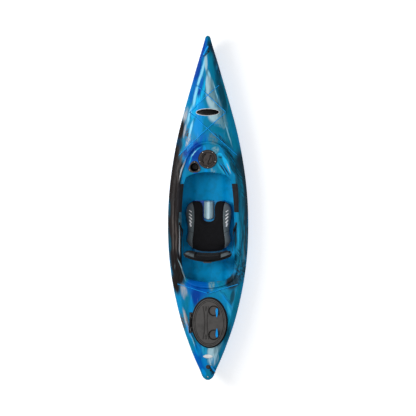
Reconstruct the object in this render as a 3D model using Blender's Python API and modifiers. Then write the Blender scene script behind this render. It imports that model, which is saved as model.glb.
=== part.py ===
"""Sit-in recreational kayak, bow towards +Y, starboard towards +X, keel on z = 0.

All sizes are in metres. The hull and the deck are two thin mouldings that share one plan outline
and meet in a lap joint at the gunwale. Both are lofted over the same columns, so their facets
match along the seam.
"""

import math

import bmesh
import bpy
from mathutils import Matrix, Vector
from mathutils.bvhtree import BVHTree

# Overall size
LENGTH = 3.048
BEAM = 0.714

# Clearances
GAP = 0.0003
RUNNING_GAP = 0.0004
SEAT_GAP = 0.0007

# Moulded shells
WALL = 0.004
SKIRT = 0.014
LAP_GAP = 0.0008
RIM_BELOW_SHEER = 0.004
CAVITY_END_HALF_BEAM = 0.045
CAVITY_HEADROOM = 0.03

# Sheer line, keel and stems
SHEER_MID = 0.238
SHEER_BOW = 0.288
SHEER_STERN = 0.266
SHEER_POWER = 2.2
ROCKER_RISE = 0.020
ROCKER_RUN = 0.62
STEM_RISE_BOW = 0.225
STEM_RISE_STERN = 0.200
STEM_RAKE_BOW = 0.045
STEM_RAKE_STERN = 0.038
FOREFOOT_FILL = 0.012
TIP_RADIUS_BOW = 0.022
TIP_RADIUS_STERN = 0.045

# Deck form
SHOULDER_INSET = 0.050
SHOULDER_RISE = 0.030
SHOULDER_BEAD = 0.003
SHOULDER_BEAD_WIDTH = 0.012
SHOULDER_BLEND = 0.11
CROWN_POWER = 2.2
PLATEAU_TIP_Y = 1.170
PLATEAU_SPREAD = 0.345
PLATEAU_RISE = 0.010
PLATEAU_FADE = (0.42, 0.57)

# Cockpit and coaming
RIDGE_HALF_TOP = 0.006
RIDGE_HALF_FOOT = 0.019
LIP_DROP = 0.030
LIP_DEPTH = 0.012
DASH_Z = 0.312
DASH_Y = 0.285
DASH_SLOPE = 0.10
DASH_BLEND = (0.190, 0.262)

# Dash hatch
DASH_HATCH_Y = 0.430
DASH_HATCH_RADIUS = 0.0835
DASH_HATCH_BORE = 0.0555
DASH_HATCH_FLANGE = 0.007
DASH_HATCH_DEPTH = 0.024
DASH_HATCH_SCREW_RADIUS = 0.072
DASH_HATCH_SCREWS = 5

# Cup holder
CUP_X = -0.116
CUP_Y = 0.359
CUP_FLANGE_RADIUS = 0.052
CUP_FLANGE_LOBE = 0.0055
CUP_FLANGE_THICKNESS = 0.004
CUP_RADIUS = 0.036
CUP_WALL = 0.0025
CUP_DEPTH = 0.078
CUP_TAPER = 0.006
CUP_SCREW_RADIUS = 0.0475
CUP_SCREWS = 3

# Screws
SCREW_HEAD_RADIUS = 0.0042
SCREW_HEAD_HEIGHT = 0.0022
SCREW_SHANK_RADIUS = 0.0020
SCREW_LENGTH = 0.014

# Stern hatch
HATCH_X = 0.014
HATCH_Y = -1.014
HATCH_HALF_WIDTH = 0.1625
HATCH_HALF_LENGTH = 0.226
HATCH_Z = 0.268
HATCH_SINK = 0.002
HATCH_HOLE_GAP = 0.0022
HATCH_BOSS_MARGIN = 0.003
HATCH_BOSS_TRIM = 0.0006
HATCH_BOSS_DEPTH = 0.032
RIM_FLANGE = 0.005
COLLAR_INSET = 0.018
COLLAR_WALL = 0.004
COLLAR_HEIGHT = 0.015
COLLAR_DEPTH = 0.020
LID_INSET = 0.011
LID_SKIRT = 0.003
LID_THICKNESS = 0.0055
LID_SKIRT_LIFT = 0.0065
HATCH_GASKET_HEIGHT = 0.002
HINGE_RADIUS = 0.0065
HINGE_REACH = 0.0075
HINGE_PIN_RADIUS = 0.0025
HINGE_SWING_ROOM = 0.004
KNUCKLE_OFFSET = 0.063
KNUCKLE_LENGTH = 0.046
FINGER_RADIUS = 0.044
FINGER_DEPTH = 0.012
FINGER_WALL = 0.003
FINGER_X = 0.052
FINGER_OFFSET = 0.106
LATCH_LENGTH = 0.080
LATCH_FAT = 0.0125
LATCH_THIN = 0.006
LATCH_THICKNESS = 0.0055
LATCH_PIVOT_SHARE = 0.52
LATCH_PIN_RADIUS = 0.0016
LATCH_OFFSET = 0.088
LATCH_BARREL = 0.030

# Drain plug
DRAIN_FROM_TIP = 0.118
DRAIN_Y = DRAIN_FROM_TIP - LENGTH / 2
DRAIN_RADIUS = 0.018
DRAIN_BORE = 0.0105
DRAIN_BOSS_HEIGHT = 0.0006

# Stern tip screw
TIP_SCREW_INSET = 0.030
TIP_SCREW_RADIUS = 0.007

# Cords
BUNGEE_RADIUS = 0.0028
BUNGEE_LIFT = 0.0006
BUNGEE_SAMPLE = 0.006
BUNGEE_FLAT = 0.0003
BUNGEE_KNOT = 2.2
HANDLE_CORD_RADIUS = 0.0024
GRIP_RADIUS = 0.0075

# Knee pads
PAD_FRONT_Y = 0.214
PAD_REAR_Y = -0.038
PAD_THICKNESS = 0.009

# Seat
SEAT_BASE_TOP = 0.062
SEAT_BASE_FRONT = 0.068
SEAT_BASE_REAR = -0.425
SEAT_BASE_HALF_WIDTH = 0.155
SEAT_BASE_WALL = 0.0035
SPINE_HALF_WIDTH = 0.038
SPINE_REAR = -0.097
SPINE_TOP = 0.104
CUSHION_THICKNESS = 0.046
CUSHION_CROWN = 0.008
CUSHION_CHANNEL = 0.005
CUSHION_EDGE = 0.032

# Backrest
BACK_PIVOT_Y = -0.412
BACK_PIVOT_Z = 0.086
BACK_HALF_WIDTH = 0.224
BACK_BOTTOM_Z = 0.118
BACK_TOP_Z = 0.405
BACK_TILT = math.radians(7)
BACK_SWEEP = 0.050
BACK_PAD_THICKNESS = 0.036
BACK_SHELL_THICKNESS = 0.005
BACK_KNUCKLE_RADIUS = 0.009
BACK_KNUCKLE_HALF = 0.055
BACK_PIN_RADIUS = 0.003
BACK_EAR = 0.010

# Foot rails and pedals
RAIL_REAR_Y = 0.400
RAIL_FRONT_Y = 0.800
RAIL_Z = 0.135
RAIL_WIDTH = 0.024
RAIL_THICKNESS = 0.008
RAIL_STAND_OFF = 0.016
PEDAL_LENGTH = 0.030
PEDAL_HEIGHT = 0.090
PEDAL_WIDTH = 0.095
PEDAL_CARRIAGE = 0.006
BOLT_HEAD_RADIUS = 0.006
BOLT_SHANK_RADIUS = 0.0025
BOLT_HEAD_THICKNESS = 0.0016
BOLT_HEAD_CROWN = 0.0030
BOLT_INSET = 0.014
RAIL_STAND_RADIUS = 0.008
PEDAL_PLATE = 0.008
PEDAL_OVERRUN = 0.010

# Foam blocks
FOAM_HALF_WIDTH = 0.030
BOW_FOAM = (0.640, 0.880)

# Columns of the lofts: bow to cockpit corner, cockpit side, aft corner to stern
BOW_COLUMNS = 10
SIDE_COLUMNS = 8
AFT_COLUMNS = 10
DECK_BANDS = 4

# Shares of the way from a tip to the cockpit corner at which the outer columns stand
TIP_STOPS = (0.0, 0.009, 0.027, 0.068, 0.135, 0.225, 0.335, 0.465, 0.620, 0.800, 1.0)

HALF_LENGTH = LENGTH / 2
HALF_BEAM = BEAM / 2
LAP_INSET = WALL + LAP_GAP
HINGE_X = HATCH_X - HATCH_HALF_WIDTH - HINGE_REACH
LATCH_PIVOT_X = HATCH_X + HATCH_HALF_WIDTH * LATCH_PIVOT_SHARE
DASH_TILT = math.atan(DASH_SLOPE)
DASH_NORMAL = Vector((0, -math.sin(DASH_TILT), math.cos(DASH_TILT)))

# Half-beam along the length: share of the half-length, share of the half-beam
PLAN = (
    (-1.000, 0.112),
    (-0.953, 0.180),
    (-0.884, 0.312),
    (-0.814, 0.435),
    (-0.676, 0.642),
    (-0.537, 0.797),
    (-0.398, 0.910),
    (-0.259, 0.977),
    (-0.119, 1.000),
    (0.020, 0.988),
    (0.158, 0.939),
    (0.297, 0.852),
    (0.436, 0.733),
    (0.575, 0.577),
    (0.715, 0.407),
    (0.854, 0.233),
    (0.940, 0.119),
    (1.000, 0.050),
)

# Height of the deck's centre line over the share of the half-length
DECK_CENTRE = (
    (-1.00, 0.282),
    (-0.86, 0.271),
    (-0.66, 0.263),
    (-0.45, 0.266),
    (0.00, 0.285),
    (0.20, 0.308),
    (0.37, 0.328),
    (0.55, 0.328),
    (0.80, 0.322),
    (1.00, 0.312),
)

# Height of the coaming's crest over Y
COAMING_CREST = (
    (-0.70, 0.285),
    (-0.50, 0.281),
    (-0.30, 0.283),
    (-0.10, 0.290),
    (0.10, 0.302),
    (0.285, 0.322),
    (0.43, 0.339),
    (0.58, 0.352),
)

# Section of the hull: share of the half-beam and of the depth, amidships and at the stems
HULL_SECTION = (
    (0.00, 0.000, 0.00, 0.00),
    (0.22, 0.045, 0.18, 0.12),
    (0.36, 0.050, 0.30, 0.22),
    (0.46, 0.000, 0.40, 0.31),
    (0.58, 0.000, 0.50, 0.41),
    (0.74, 0.110, 0.62, 0.53),
    (0.90, 0.360, 0.78, 0.70),
    (0.975, 0.660, 0.90, 0.86),
    (1.00, 1.000, 1.00, 1.00),
)
STEM_SECTION = (0.42, 0.96)

# Half outlines in plan, bow centre to stern centre, on starboard
OPENING = (
    (0.000, 0.316),
    (0.106, 0.303),
    (0.178, 0.276),
    (0.207, 0.215),
    (0.2285, 0.000),
    (0.234, -0.200),
    (0.234, -0.450),
    (0.219, -0.570),
    (0.160, -0.632),
    (0.000, -0.656),
)
COAMING = (
    (0.000, 0.576),
    (0.080, 0.558),
    (0.150, 0.502),
    (0.206, 0.405),
    (0.243, 0.285),
    (0.262, 0.150),
    (0.268, -0.050),
    (0.270, -0.300),
    (0.262, -0.480),
    (0.232, -0.600),
    (0.165, -0.664),
    (0.083, -0.692),
    (0.000, -0.700),
)

# Bungee anchors in plan: tip end, side hook, cockpit end
BUNGEE_TIP = (0.0995, 1.083)
BUNGEE_HOOK = (0.162, 0.845)
BUNGEE_END = (0.256, 0.467)
STERN_BUNGEE_END = (0.267, -0.673)
STERN_HOOK_Y = -0.757

# Carrying handles: two ends of each grip and its deck eye, as a share of the half-beam and a station
BOW_GRIP = ((0.11408, 1.428), (-0.53072, 1.345))
BOW_EYE = (0.10072, 1.377)
STERN_GRIP = ((0.33229, -1.397), (0.95549, -1.447))
STERN_EYE = (0.38317, -1.4345)

# Backrest straps: deck anchor, buckle, backrest end
STRAP_ANCHOR = (0.2515, -0.140)
STRAP_BEND = (0.2262, -0.206, 0.2640)
STRAP_WIDTH = 0.020
STRAP_THICKNESS = 0.002

# Emblem places
BOW_PLATE = (0.843, 0.105, 0.033, 0.003)
STERN_PLATE = (-1.313, 0.0425, 0.017, 0.0025)

# Cushion: its starboard half has an inner, a front, an outer and a rear edge, and a sewn channel between
CUSHION_INNER = (
    (0.074, 0.054),
    (0.058, 0.000),
    (0.056, -0.055),
    (0.042, -0.100),
    (0.000, -0.119),
    (0.000, -0.180),
    (0.000, -0.250),
    (0.000, -0.320),
    (0.000, -0.392),
)
CUSHION_FRONT = (
    (0.074, 0.054),
    (0.102, 0.067),
    (0.130, 0.065),
    (0.160, 0.055),
    (0.188, 0.036),
    (0.205, 0.008),
)
CUSHION_OUTER = (
    (0.205, 0.008),
    (0.215, -0.040),
    (0.206, -0.110),
    (0.196, -0.175),
    (0.196, -0.225),
    (0.204, -0.280),
    (0.200, -0.315),
    (0.180, -0.345),
)
CUSHION_REAR = (
    (0.000, -0.392),
    (0.060, -0.389),
    (0.110, -0.380),
    (0.150, -0.364),
    (0.180, -0.345),
)
CUSHION_SEAM = (
    (0.148, 0.060),
    (0.133, 0.015),
    (0.126, -0.050),
    (0.128, -0.140),
    (0.134, -0.220),
    (0.143, -0.300),
    (0.140, -0.369),
)


def smoothstep(low, high, value):
    """0 at low, 1 at high, and smooth between them."""
    t = min(max((value - low) / (high - low), 0.0), 1.0)
    return t * t * (3 - 2 * t)


def mix(a, b, t):
    """The value, or the point, at share t of the way from a to b."""
    return a + (b - a) * t


def table_value(table, x):
    """Smooth value at x of a table of (x, value) stations."""
    last = len(table) - 2
    i = 0
    while i < last and x > table[i + 1][0]:
        i += 1
    (x0, v0), (x1, v1) = table[i], table[i + 1]

    def slope(k):
        a, b = table[max(k - 1, 0)], table[min(k + 1, last + 1)]
        return (b[1] - a[1]) / (b[0] - a[0])

    h = x1 - x0
    t = min(max((x - x0) / h, 0.0), 1.0)
    a, b = slope(i) * h, slope(i + 1) * h
    return (
        v0 * (1 + 2 * t) * (1 - t) ** 2
        + a * t * (1 - t) ** 2
        + v1 * t * t * (3 - 2 * t)
        + b * t * t * (t - 1)
    )


def smooth_path(points, steps=12, mirrored=False):
    """Dense points on a smooth curve through the given ones; mirrored ends meet the centre line square."""
    pts = [Vector(p) for p in points]
    first = pts[0] * 2 - pts[1]
    last = pts[-1] * 2 - pts[-2]
    if mirrored:
        first = pts[1].copy()
        first.x = -first.x
        last = pts[-2].copy()
        last.x = -last.x
    ghost = [first] + pts + [last]
    dense = []
    for i in range(1, len(ghost) - 2):
        p0, p1, p2, p3 = ghost[i - 1 : i + 3]
        for k in range(steps):
            t = k / steps
            dense.append(
                0.5
                * (
                    2 * p1
                    + (p2 - p0) * t
                    + (2 * p0 - 5 * p1 + 4 * p2 - p3) * t * t
                    + (3 * p1 - p0 - 3 * p2 + p3) * t**3
                )
            )
    dense.append(pts[-1])
    return dense


def lengths_along(points):
    """Distance from the first point to each point."""
    total = [0.0]
    for a, b in zip(points, points[1:]):
        total.append(total[-1] + (b - a).length)
    return total


def at_length(points, along, s):
    """The point at distance s along a polyline."""
    i = 0
    while i < len(along) - 2 and along[i + 1] < s:
        i += 1
    span = along[i + 1] - along[i]
    return mix(points[i], points[i + 1], 0 if span == 0 else min((s - along[i]) / span, 1.0))


def evenly(points, count):
    """The polyline again with count even steps."""
    along = lengths_along(points)
    return [at_length(points, along, along[-1] * k / count) for k in range(count + 1)]


# Lines of the boat


def tip_distance(y):
    """Distance from a station to the nearer tip."""
    return max(HALF_LENGTH - abs(y), 0.0)


def half_beam(y):
    """Half-width of the plan outline."""
    radius = TIP_RADIUS_BOW if y > 0 else TIP_RADIUS_STERN
    d = tip_distance(y)
    rounding = 1.0 if d >= radius else math.sqrt(max(1 - (1 - d / radius) ** 2, 0.0))
    return HALF_BEAM * table_value(PLAN, y / HALF_LENGTH) * rounding


def off_centre(share, y):
    """Plan point of a station at a share of its half-width."""
    return share * half_beam(y), y


def sheer_z(y):
    """Height of the gunwale."""
    end = SHEER_BOW if y > 0 else SHEER_STERN
    return mix(SHEER_MID, end, (abs(y) / HALF_LENGTH) ** SHEER_POWER)


def keel_z(y):
    """Height of the keel line."""
    d = tip_distance(y)
    rise, rake = (STEM_RISE_BOW, STEM_RAKE_BOW) if y > 0 else (STEM_RISE_STERN, STEM_RAKE_STERN)
    rocker = ROCKER_RISE * max(0.0, 1 - d / ROCKER_RUN) ** 2
    stem = rise * math.exp(-d / rake) if d < ROCKER_RUN / 2 else 0.0
    return rocker + stem


def shoulder_half(y):
    """Half-width at the deck's shoulder line."""
    return max(half_beam(y) - SHOULDER_INSET, 0.0)


def deck_z(x, y):
    """Height of the deck's outer surface, without the coaming."""
    x = abs(x)
    sheer = sheer_z(y)
    centre = table_value(DECK_CENTRE, y / HALF_LENGTH)
    s = shoulder_half(y)
    shoulder = mix(centre, sheer + SHOULDER_RISE, smoothstep(0, SHOULDER_BLEND, s))
    edge = min(half_beam(y) - x, tip_distance(y))
    share = min(max(edge / SHOULDER_INSET, 0.0), 1.0)
    if share < 1:
        z = mix(sheer, shoulder, math.sin(share * math.pi / 2))
    else:
        z = mix(centre, shoulder, (x / s) ** CROWN_POWER if s else 0.0)
    bead = (edge - SHOULDER_INSET) / SHOULDER_BEAD_WIDTH
    z += SHOULDER_BEAD * math.exp(-bead * bead) * smoothstep(0, SHOULDER_BLEND, s)
    inside = (PLATEAU_TIP_Y - y) * PLATEAU_SPREAD - x
    plateau = smoothstep(-0.008, 0.012, inside) * smoothstep(*PLATEAU_FADE, y)
    z += PLATEAU_RISE * plateau
    reach = math.hypot(x / HATCH_HALF_WIDTH, (y - HATCH_Y) / HATCH_HALF_LENGTH)
    flat = smoothstep(1.30, 1.04, reach) * smoothstep(SHOULDER_INSET, SHOULDER_INSET + 0.012, edge)
    return mix(z, HATCH_Z - HATCH_SINK, flat)


def dash_z(y):
    """Height of the flat dash."""
    return DASH_Z + DASH_SLOPE * (y - DASH_Y)


def at_columns(points, front_y, aft_y, stops_in=None):
    """A half outline at the loft's columns, split where it passes the cockpit's front and aft corners."""
    along = lengths_along(points)
    front = next(s for p, s in zip(points, along) if p.y <= front_y)
    aft = next(s for p, s in zip(points, along) if p.y <= aft_y)
    total = along[-1]
    bow = stops_in or [k / BOW_COLUMNS for k in range(BOW_COLUMNS + 1)]
    stern = stops_in or [k / AFT_COLUMNS for k in range(AFT_COLUMNS + 1)]
    stops = [front * share for share in bow[:-1]]
    stops += [mix(front, aft, k / SIDE_COLUMNS) for k in range(SIDE_COLUMNS)]
    stops += [total - (total - aft) * share for share in reversed(stern)]
    out = [at_length(points, along, s) for s in stops]
    out[0].x = 0.0
    out[-1].x = 0.0
    return out


def offset_plan(points, distance):
    """A half outline moved outwards in plan by a distance, mitred at its corners."""
    before = Vector((-points[1].x, points[1].y, 0))
    after = Vector((-points[-2].x, points[-2].y, 0))
    ring = [before] + points + [after]
    out = []
    for a, b, c in zip(ring, ring[1:], ring[2:]):
        n1 = Vector((a.y - b.y, b.x - a.x, 0)).normalized()
        n2 = Vector((b.y - c.y, c.x - b.x, 0)).normalized()
        n = (n1 + n2).normalized()
        out.append(b + n * (distance / max(n.dot(n1), 0.4)))
    out[0].x = 0.0
    out[-1].x = 0.0
    return out


def gunwale_line():
    """The plan outline at the loft's columns."""
    dense = []
    for k in range(601):
        y = HALF_LENGTH * math.cos(math.pi * k / 600)
        dense.append(Vector((half_beam(y), y, 0)))
    return at_columns(dense, 0.32, -0.64, TIP_STOPS)


def shoulder_line():
    """The shoulder's outline at the loft's columns."""
    dense = []
    for k in range(601):
        y = HALF_LENGTH * math.cos(math.pi * k / 600)
        if shoulder_half(y) > 0:
            dense.append(Vector((shoulder_half(y), y, 0)))
    dense.insert(0, Vector((0, dense[0].y, 0)))
    dense.append(Vector((0, dense[-1].y, 0)))
    return at_columns(dense, 0.30, -0.62, TIP_STOPS)


def plan_curve(points):
    """A smooth half outline from named plan points."""
    return smooth_path([(x, y, 0) for x, y in points], mirrored=True)


def deck_rings():
    """The deck's outer surface as rings of points, from the cockpit lip out to the foot of the skirt."""
    opening = at_columns(plan_curve(OPENING), 0.235, -0.580)
    crest = at_columns(plan_curve(COAMING), 0.285, -0.600)
    shoulder = shoulder_line()
    gunwale = gunwale_line()
    foot_in = offset_plan(crest, -RIDGE_HALF_FOOT)
    foot_out = offset_plan(crest, RIDGE_HALF_FOOT)
    crest_z = [table_value(COAMING_CREST, p.y) for p in crest]

    def on_dash(p, side_z):
        return Vector((p.x, p.y, mix(side_z, dash_z(p.y), smoothstep(*DASH_BLEND, p.y))))

    lip = [on_dash(p, z - LIP_DROP) for p, z in zip(opening, crest_z)]
    inner = [on_dash(q, z - LIP_DROP * 0.28) for q, z in zip(foot_in, crest_z)]
    rings = [[p - Vector((0, 0, LIP_DEPTH)) for p in lip], lip, inner]
    for side in (-RIDGE_HALF_TOP, RIDGE_HALF_TOP):
        rings.append([Vector((p.x, p.y, z)) for p, z in zip(offset_plan(crest, side), crest_z)])
    for k in range(DECK_BANDS + 1):
        band = [mix(p, q, k / DECK_BANDS) for p, q in zip(foot_out, shoulder)]
        rings.append([Vector((p.x, p.y, deck_z(p.x, p.y))) for p in band])
    middle = [mix(p, q, 0.5) for p, q in zip(shoulder, gunwale)]
    rings.append([Vector((p.x, p.y, deck_z(p.x, p.y))) for p in middle])
    rings.append([Vector((p.x, p.y, sheer_z(p.y))) for p in gunwale])
    rings.append([Vector((p.x, p.y, sheer_z(p.y) - SKIRT)) for p in gunwale])
    return rings


def section_rows(y, beam, floor, top):
    """Points of the hull's section, keel to seam, in a given half-beam and between two heights."""
    stem = smoothstep(*STEM_SECTION, abs(y) / HALF_LENGTH)
    rows = []
    for mid_x, mid_z, end_x, end_z in HULL_SECTION:
        x = mix(mid_x, end_x, stem) * beam
        z = mix(floor, top, mix(mid_z, end_z, stem))
        rows.append(Vector((x, y, z)))
    return rows


def hull_columns():
    """The hull's outer form, one column of points for each station, closed over its top."""
    line = gunwale_line()
    rim = offset_plan(line, -LAP_INSET)
    columns = []
    for p, q in zip(line, rim):
        seam = sheer_z(p.y) - SKIRT - GAP
        column = section_rows(p.y, p.x, keel_z(p.y), seam)
        column.append(Vector((q.x, q.y, seam)))
        rim_z = sheer_z(p.y) - RIM_BELOW_SHEER
        column.append(Vector((q.x, q.y, rim_z)))
        column.append(Vector((0, q.y, rim_z)))
        columns.append(column)
    return columns


def cavity_columns(clear=0.0):
    """The space inside the hull, less a clearance, open at its top, with a flat wall at each end."""
    line = gunwale_line()
    neck = offset_plan(line, -LAP_INSET - WALL)
    columns = []
    for p, q in zip(line, neck):
        if p.x < CAVITY_END_HALF_BEAM:
            continue
        stem = smoothstep(*STEM_SECTION, abs(p.y) / HALF_LENGTH)
        seam = sheer_z(p.y) - SKIRT
        floor = keel_z(p.y) + WALL + FOREFOOT_FILL * stem + clear
        column = section_rows(p.y, p.x - WALL * 1.04 - clear, floor, seam - 3 * WALL)
        column.append(Vector((q.x, q.y, seam - WALL)))
        top = sheer_z(p.y) + CAVITY_HEADROOM
        column.append(Vector((q.x, q.y, top)))
        column.append(Vector((0, q.y, top)))
        columns.append(column)
    caps = []
    for column in (columns[0], columns[-1]):
        caps.append([Vector((0, v.y, v.z)) for v in column])
    return [caps[0]] + columns + [caps[1]]


# Blender helpers


def clear_scene():
    """Removes whatever the scene holds."""
    for obj in list(bpy.data.objects):
        bpy.data.objects.remove(obj, do_unlink=True)
    for collection in list(bpy.data.collections):
        bpy.data.collections.remove(collection)


def material(name, colour, roughness, metallic=0.0):
    """A Principled material of one colour."""
    made = bpy.data.materials.new(name)
    made.use_nodes = True
    shader = made.node_tree.nodes["Principled BSDF"]
    shader.inputs["Base Color"].default_value = (*colour, 1)
    shader.inputs["Roughness"].default_value = roughness
    shader.inputs["Metallic"].default_value = metallic
    return made


def collect(name):
    """A new collection in the scene."""
    made = bpy.data.collections.new(name)
    bpy.context.scene.collection.children.link(made)
    return made


class Shop:
    """The two collections and the materials that every piece uses."""

    def __init__(self):
        self.parts = collect("recreational_kayak")
        self.cutters = collect("cutters")
        self.cutters.hide_render = True

    def add(self, name, mesh, finish):
        """A part from a mesh."""
        obj = bpy.data.objects.new(name, mesh)
        mesh.materials.clear()
        colour, roughness, metallic = finish
        mesh.materials.append(material(name, colour, roughness, metallic))
        self.parts.objects.link(obj)
        return obj

    def cutter(self, name, mesh):
        """A helper that only cuts or joins."""
        obj = bpy.data.objects.new(name, mesh)
        self.cutters.objects.link(obj)
        obj.hide_render = True
        obj.display_type = "WIRE"
        return obj


BLUE_INSIDE = ((0.0, 0.235, 0.46), 0.45, 0.0)
DECK_BLUE = ((0.01, 0.22, 0.50), 0.35, 0.0)
CHARCOAL = ((0.055, 0.050, 0.048), 0.55, 0.0)
BLACK = ((0.012, 0.012, 0.013), 0.60, 0.0)
BRIGHT_BLUE = ((0.0, 0.31, 0.80), 0.45, 0.0)
FABRIC = ((0.010, 0.010, 0.011), 0.90, 0.0)
STEEL = ((0.62, 0.62, 0.60), 0.30, 1.0)
FOAM = ((0.80, 0.80, 0.78), 0.95, 0.0)
SILVER = ((0.55, 0.56, 0.57), 0.35, 0.6)


def mesh_from(name, verts, faces):
    """A mesh with its doubles merged and its faces turned outwards."""
    bm = bmesh.new()
    made = [bm.verts.new(v) for v in verts]
    for face in faces:
        corners = []
        for i in face:
            if made[i] not in corners:
                corners.append(made[i])
        if len(corners) > 2:
            bm.faces.new(corners)
    bmesh.ops.remove_doubles(bm, verts=bm.verts, dist=1e-6)
    bmesh.ops.dissolve_degenerate(bm, dist=1e-7, edges=bm.edges)
    bmesh.ops.recalc_face_normals(bm, faces=bm.faces)
    mesh = bpy.data.meshes.new(name)
    bm.to_mesh(mesh)
    bm.free()
    return mesh


def grid_faces(rows, columns, wrap=False, start=0):
    """Quads between the points of a grid stored row after row."""
    faces = []
    for r in range(rows - 1):
        for c in range(columns if wrap else columns - 1):
            a = start + r * columns + c
            b = start + r * columns + (c + 1) % columns
            faces.append((a, b, b + columns, a + columns))
    return faces


def mirrored(verts, faces):
    """The same shape with its port half added."""
    n = len(verts)
    both = list(verts) + [Vector((-v.x, v.y, v.z)) for v in verts]
    return both, list(faces) + [tuple(i + n for i in reversed(f)) for f in faces]


def loft(name, sections, half=False):
    """A surface through sections of equal point counts."""
    verts = [v for section in sections for v in section]
    faces = []
    for a, b, c, d in grid_faces(len(sections), len(sections[0])):
        for face in ((a, b, c), (a, c, d)):
            if not half or max(abs(verts[i].x) for i in face) > 1e-9:
                faces.append(face)
    if half:
        verts, faces = mirrored(verts, faces)
    return mesh_from(name, verts, faces)


def face_up(mesh):
    """Turns an open surface so that most of it faces up."""
    if sum(p.normal.z * p.area for p in mesh.polygons) < 0:
        mesh.flip_normals()
    return mesh


def port_copy(mesh):
    """The same mesh on the other side of the boat."""
    mesh.transform(Matrix.Scale(-1, 4, (1, 0, 0)))
    mesh.flip_normals()
    return mesh


def closed_loft(name, sections):
    """A solid through closed sections, with a flat cap on each end."""
    count = len(sections[0])
    verts = [v for section in sections for v in section]
    faces = grid_faces(len(sections), count, wrap=True)
    faces.append(tuple(range(count)))
    faces.append(tuple(range(len(verts) - count, len(verts))))
    return mesh_from(name, verts, faces)


def lens(name, rows_front, rows_back):
    """A solid between two grids of points that share their border."""
    n_rows, n_cols = len(rows_front), len(rows_front[0])
    verts = [v for row in rows_front for v in row] + [v for row in rows_back for v in row]
    faces = grid_faces(n_rows, n_cols)
    back = grid_faces(n_rows, n_cols, start=n_rows * n_cols)
    return mesh_from(name, verts, faces + [tuple(reversed(f)) for f in back])


def placed(origin, normal=(0, 0, 1), along=(0, 1, 0)):
    """A frame at a point, its Z along the normal and its Y as near as can be to a direction."""
    z = Vector(normal).normalized()
    y = (Vector(along) - z * z.dot(Vector(along))).normalized()
    x = y.cross(z)
    turn = Matrix((x, y, z)).transposed().to_4x4()
    return Matrix.Translation(Vector(origin)) @ turn


def prism(name, outline, bottom, top, frame=None):
    """An extruded outline, in a frame."""
    frame = frame or Matrix.Identity(4)
    rings = []
    for z in (bottom, top):
        rings.append([frame @ Vector((p[0], p[1], z)) for p in outline])
    return closed_loft(name, rings)


def box(name, low, high, frame=None):
    """A box between two corners, in a frame."""
    bm = bmesh.new()
    bmesh.ops.create_cube(bm, size=1)
    low, high = Vector(low), Vector(high)
    for v in bm.verts:
        v.co = Vector((mix(low[i], high[i], v.co[i] + 0.5) for i in range(3)))
    if frame:
        bmesh.ops.transform(bm, matrix=frame, verts=bm.verts)
    mesh = bpy.data.meshes.new(name)
    bm.to_mesh(mesh)
    bm.free()
    return mesh


def cylinder(name, radius, bottom, top, frame=None, sides=24, top_radius=None):
    """A cylinder or cone along the frame's Z."""
    bm = bmesh.new()
    bmesh.ops.create_cone(
        bm,
        cap_ends=True,
        segments=sides,
        radius1=radius,
        radius2=radius if top_radius is None else top_radius,
        depth=top - bottom,
    )
    shift = Matrix.Translation((0, 0, (top + bottom) / 2))
    bmesh.ops.transform(bm, matrix=(frame or Matrix.Identity(4)) @ shift, verts=bm.verts)
    mesh = bpy.data.meshes.new(name)
    bm.to_mesh(mesh)
    bm.free()
    return mesh


def ellipse(half_x, half_y, sides, centre=(0, 0), inset=0.0):
    """Points of an oval, moved inwards along its normals by an inset."""
    points = []
    for k in range(sides):
        a = 2 * math.pi * k / sides
        n = Vector((math.cos(a) / half_x, math.sin(a) / half_y)).normalized()
        p = Vector((half_x * math.cos(a), half_y * math.sin(a))) - n * inset
        points.append(Vector((p.x + centre[0], p.y + centre[1])))
    return points


def turned(shop, name, profile, finish, frame, sides=32, closed=False):
    """A turned piece: its profile, outer side downwards, spun about the frame's Z by a Screw modifier."""
    mesh = bpy.data.meshes.new(name)
    edges = [(k, k + 1) for k in range(len(profile) - 1)]
    if closed:
        edges.append((len(profile) - 1, 0))
    mesh.from_pydata([(r, 0, z) for r, z in profile], edges, [])
    obj = shop.add(name, mesh, finish)
    obj.matrix_world = frame
    screw = obj.modifiers.new("turn", "SCREW")
    screw.axis = "Z"
    screw.steps = sides
    screw.render_steps = sides
    screw.use_merge_vertices = True
    screw.merge_threshold = 0.00001
    return obj


def tube(shop, name, points, radius, finish, cyclic=False, resolution=2, swell=None):
    """A round cord or bar along points, capped at its ends."""
    curve = bpy.data.curves.new(name, "CURVE")
    curve.dimensions = "3D"
    curve.bevel_depth = radius
    curve.bevel_resolution = resolution
    curve.use_fill_caps = True
    spline = curve.splines.new("POLY")
    spline.points.add(len(points) - 1)
    for k, p in enumerate(points):
        spline.points[k].co = (*p, 1)
        spline.points[k].radius = swell[k] if swell else 1.0
    spline.use_cyclic_u = cyclic
    return shop.add(name, curve, finish)


def boolean(obj, other, operation="DIFFERENCE"):
    """A Boolean with one cutter."""
    modifier = obj.modifiers.new(other.name, "BOOLEAN")
    modifier.operation = operation
    modifier.solver = "EXACT"
    modifier.object = other
    return modifier


def cut(shop, obj, name, mesh):
    """Cuts a mesh out of a part."""
    boolean(obj, shop.cutter(name, mesh))


def join(shop, obj, name, mesh):
    """Joins a mesh to a part."""
    boolean(obj, shop.cutter(name, mesh), "UNION")


def tree_of(obj):
    """The evaluated surface of a part, for rays."""
    return BVHTree.FromObject(obj, bpy.context.evaluated_depsgraph_get())


def height_on(tree, x, y):
    """Height of the topmost surface over a plan point."""
    hit = tree.ray_cast(Vector((x, y, 1.0)), Vector((0, 0, -1)))
    return hit[0].z


def ceiling_over(tree, x, y, start):
    """Height of the first surface above a point."""
    hit = tree.ray_cast(Vector((x, y, start)), Vector((0, 0, 1)))
    return hit[0].z


# Shells


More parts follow.
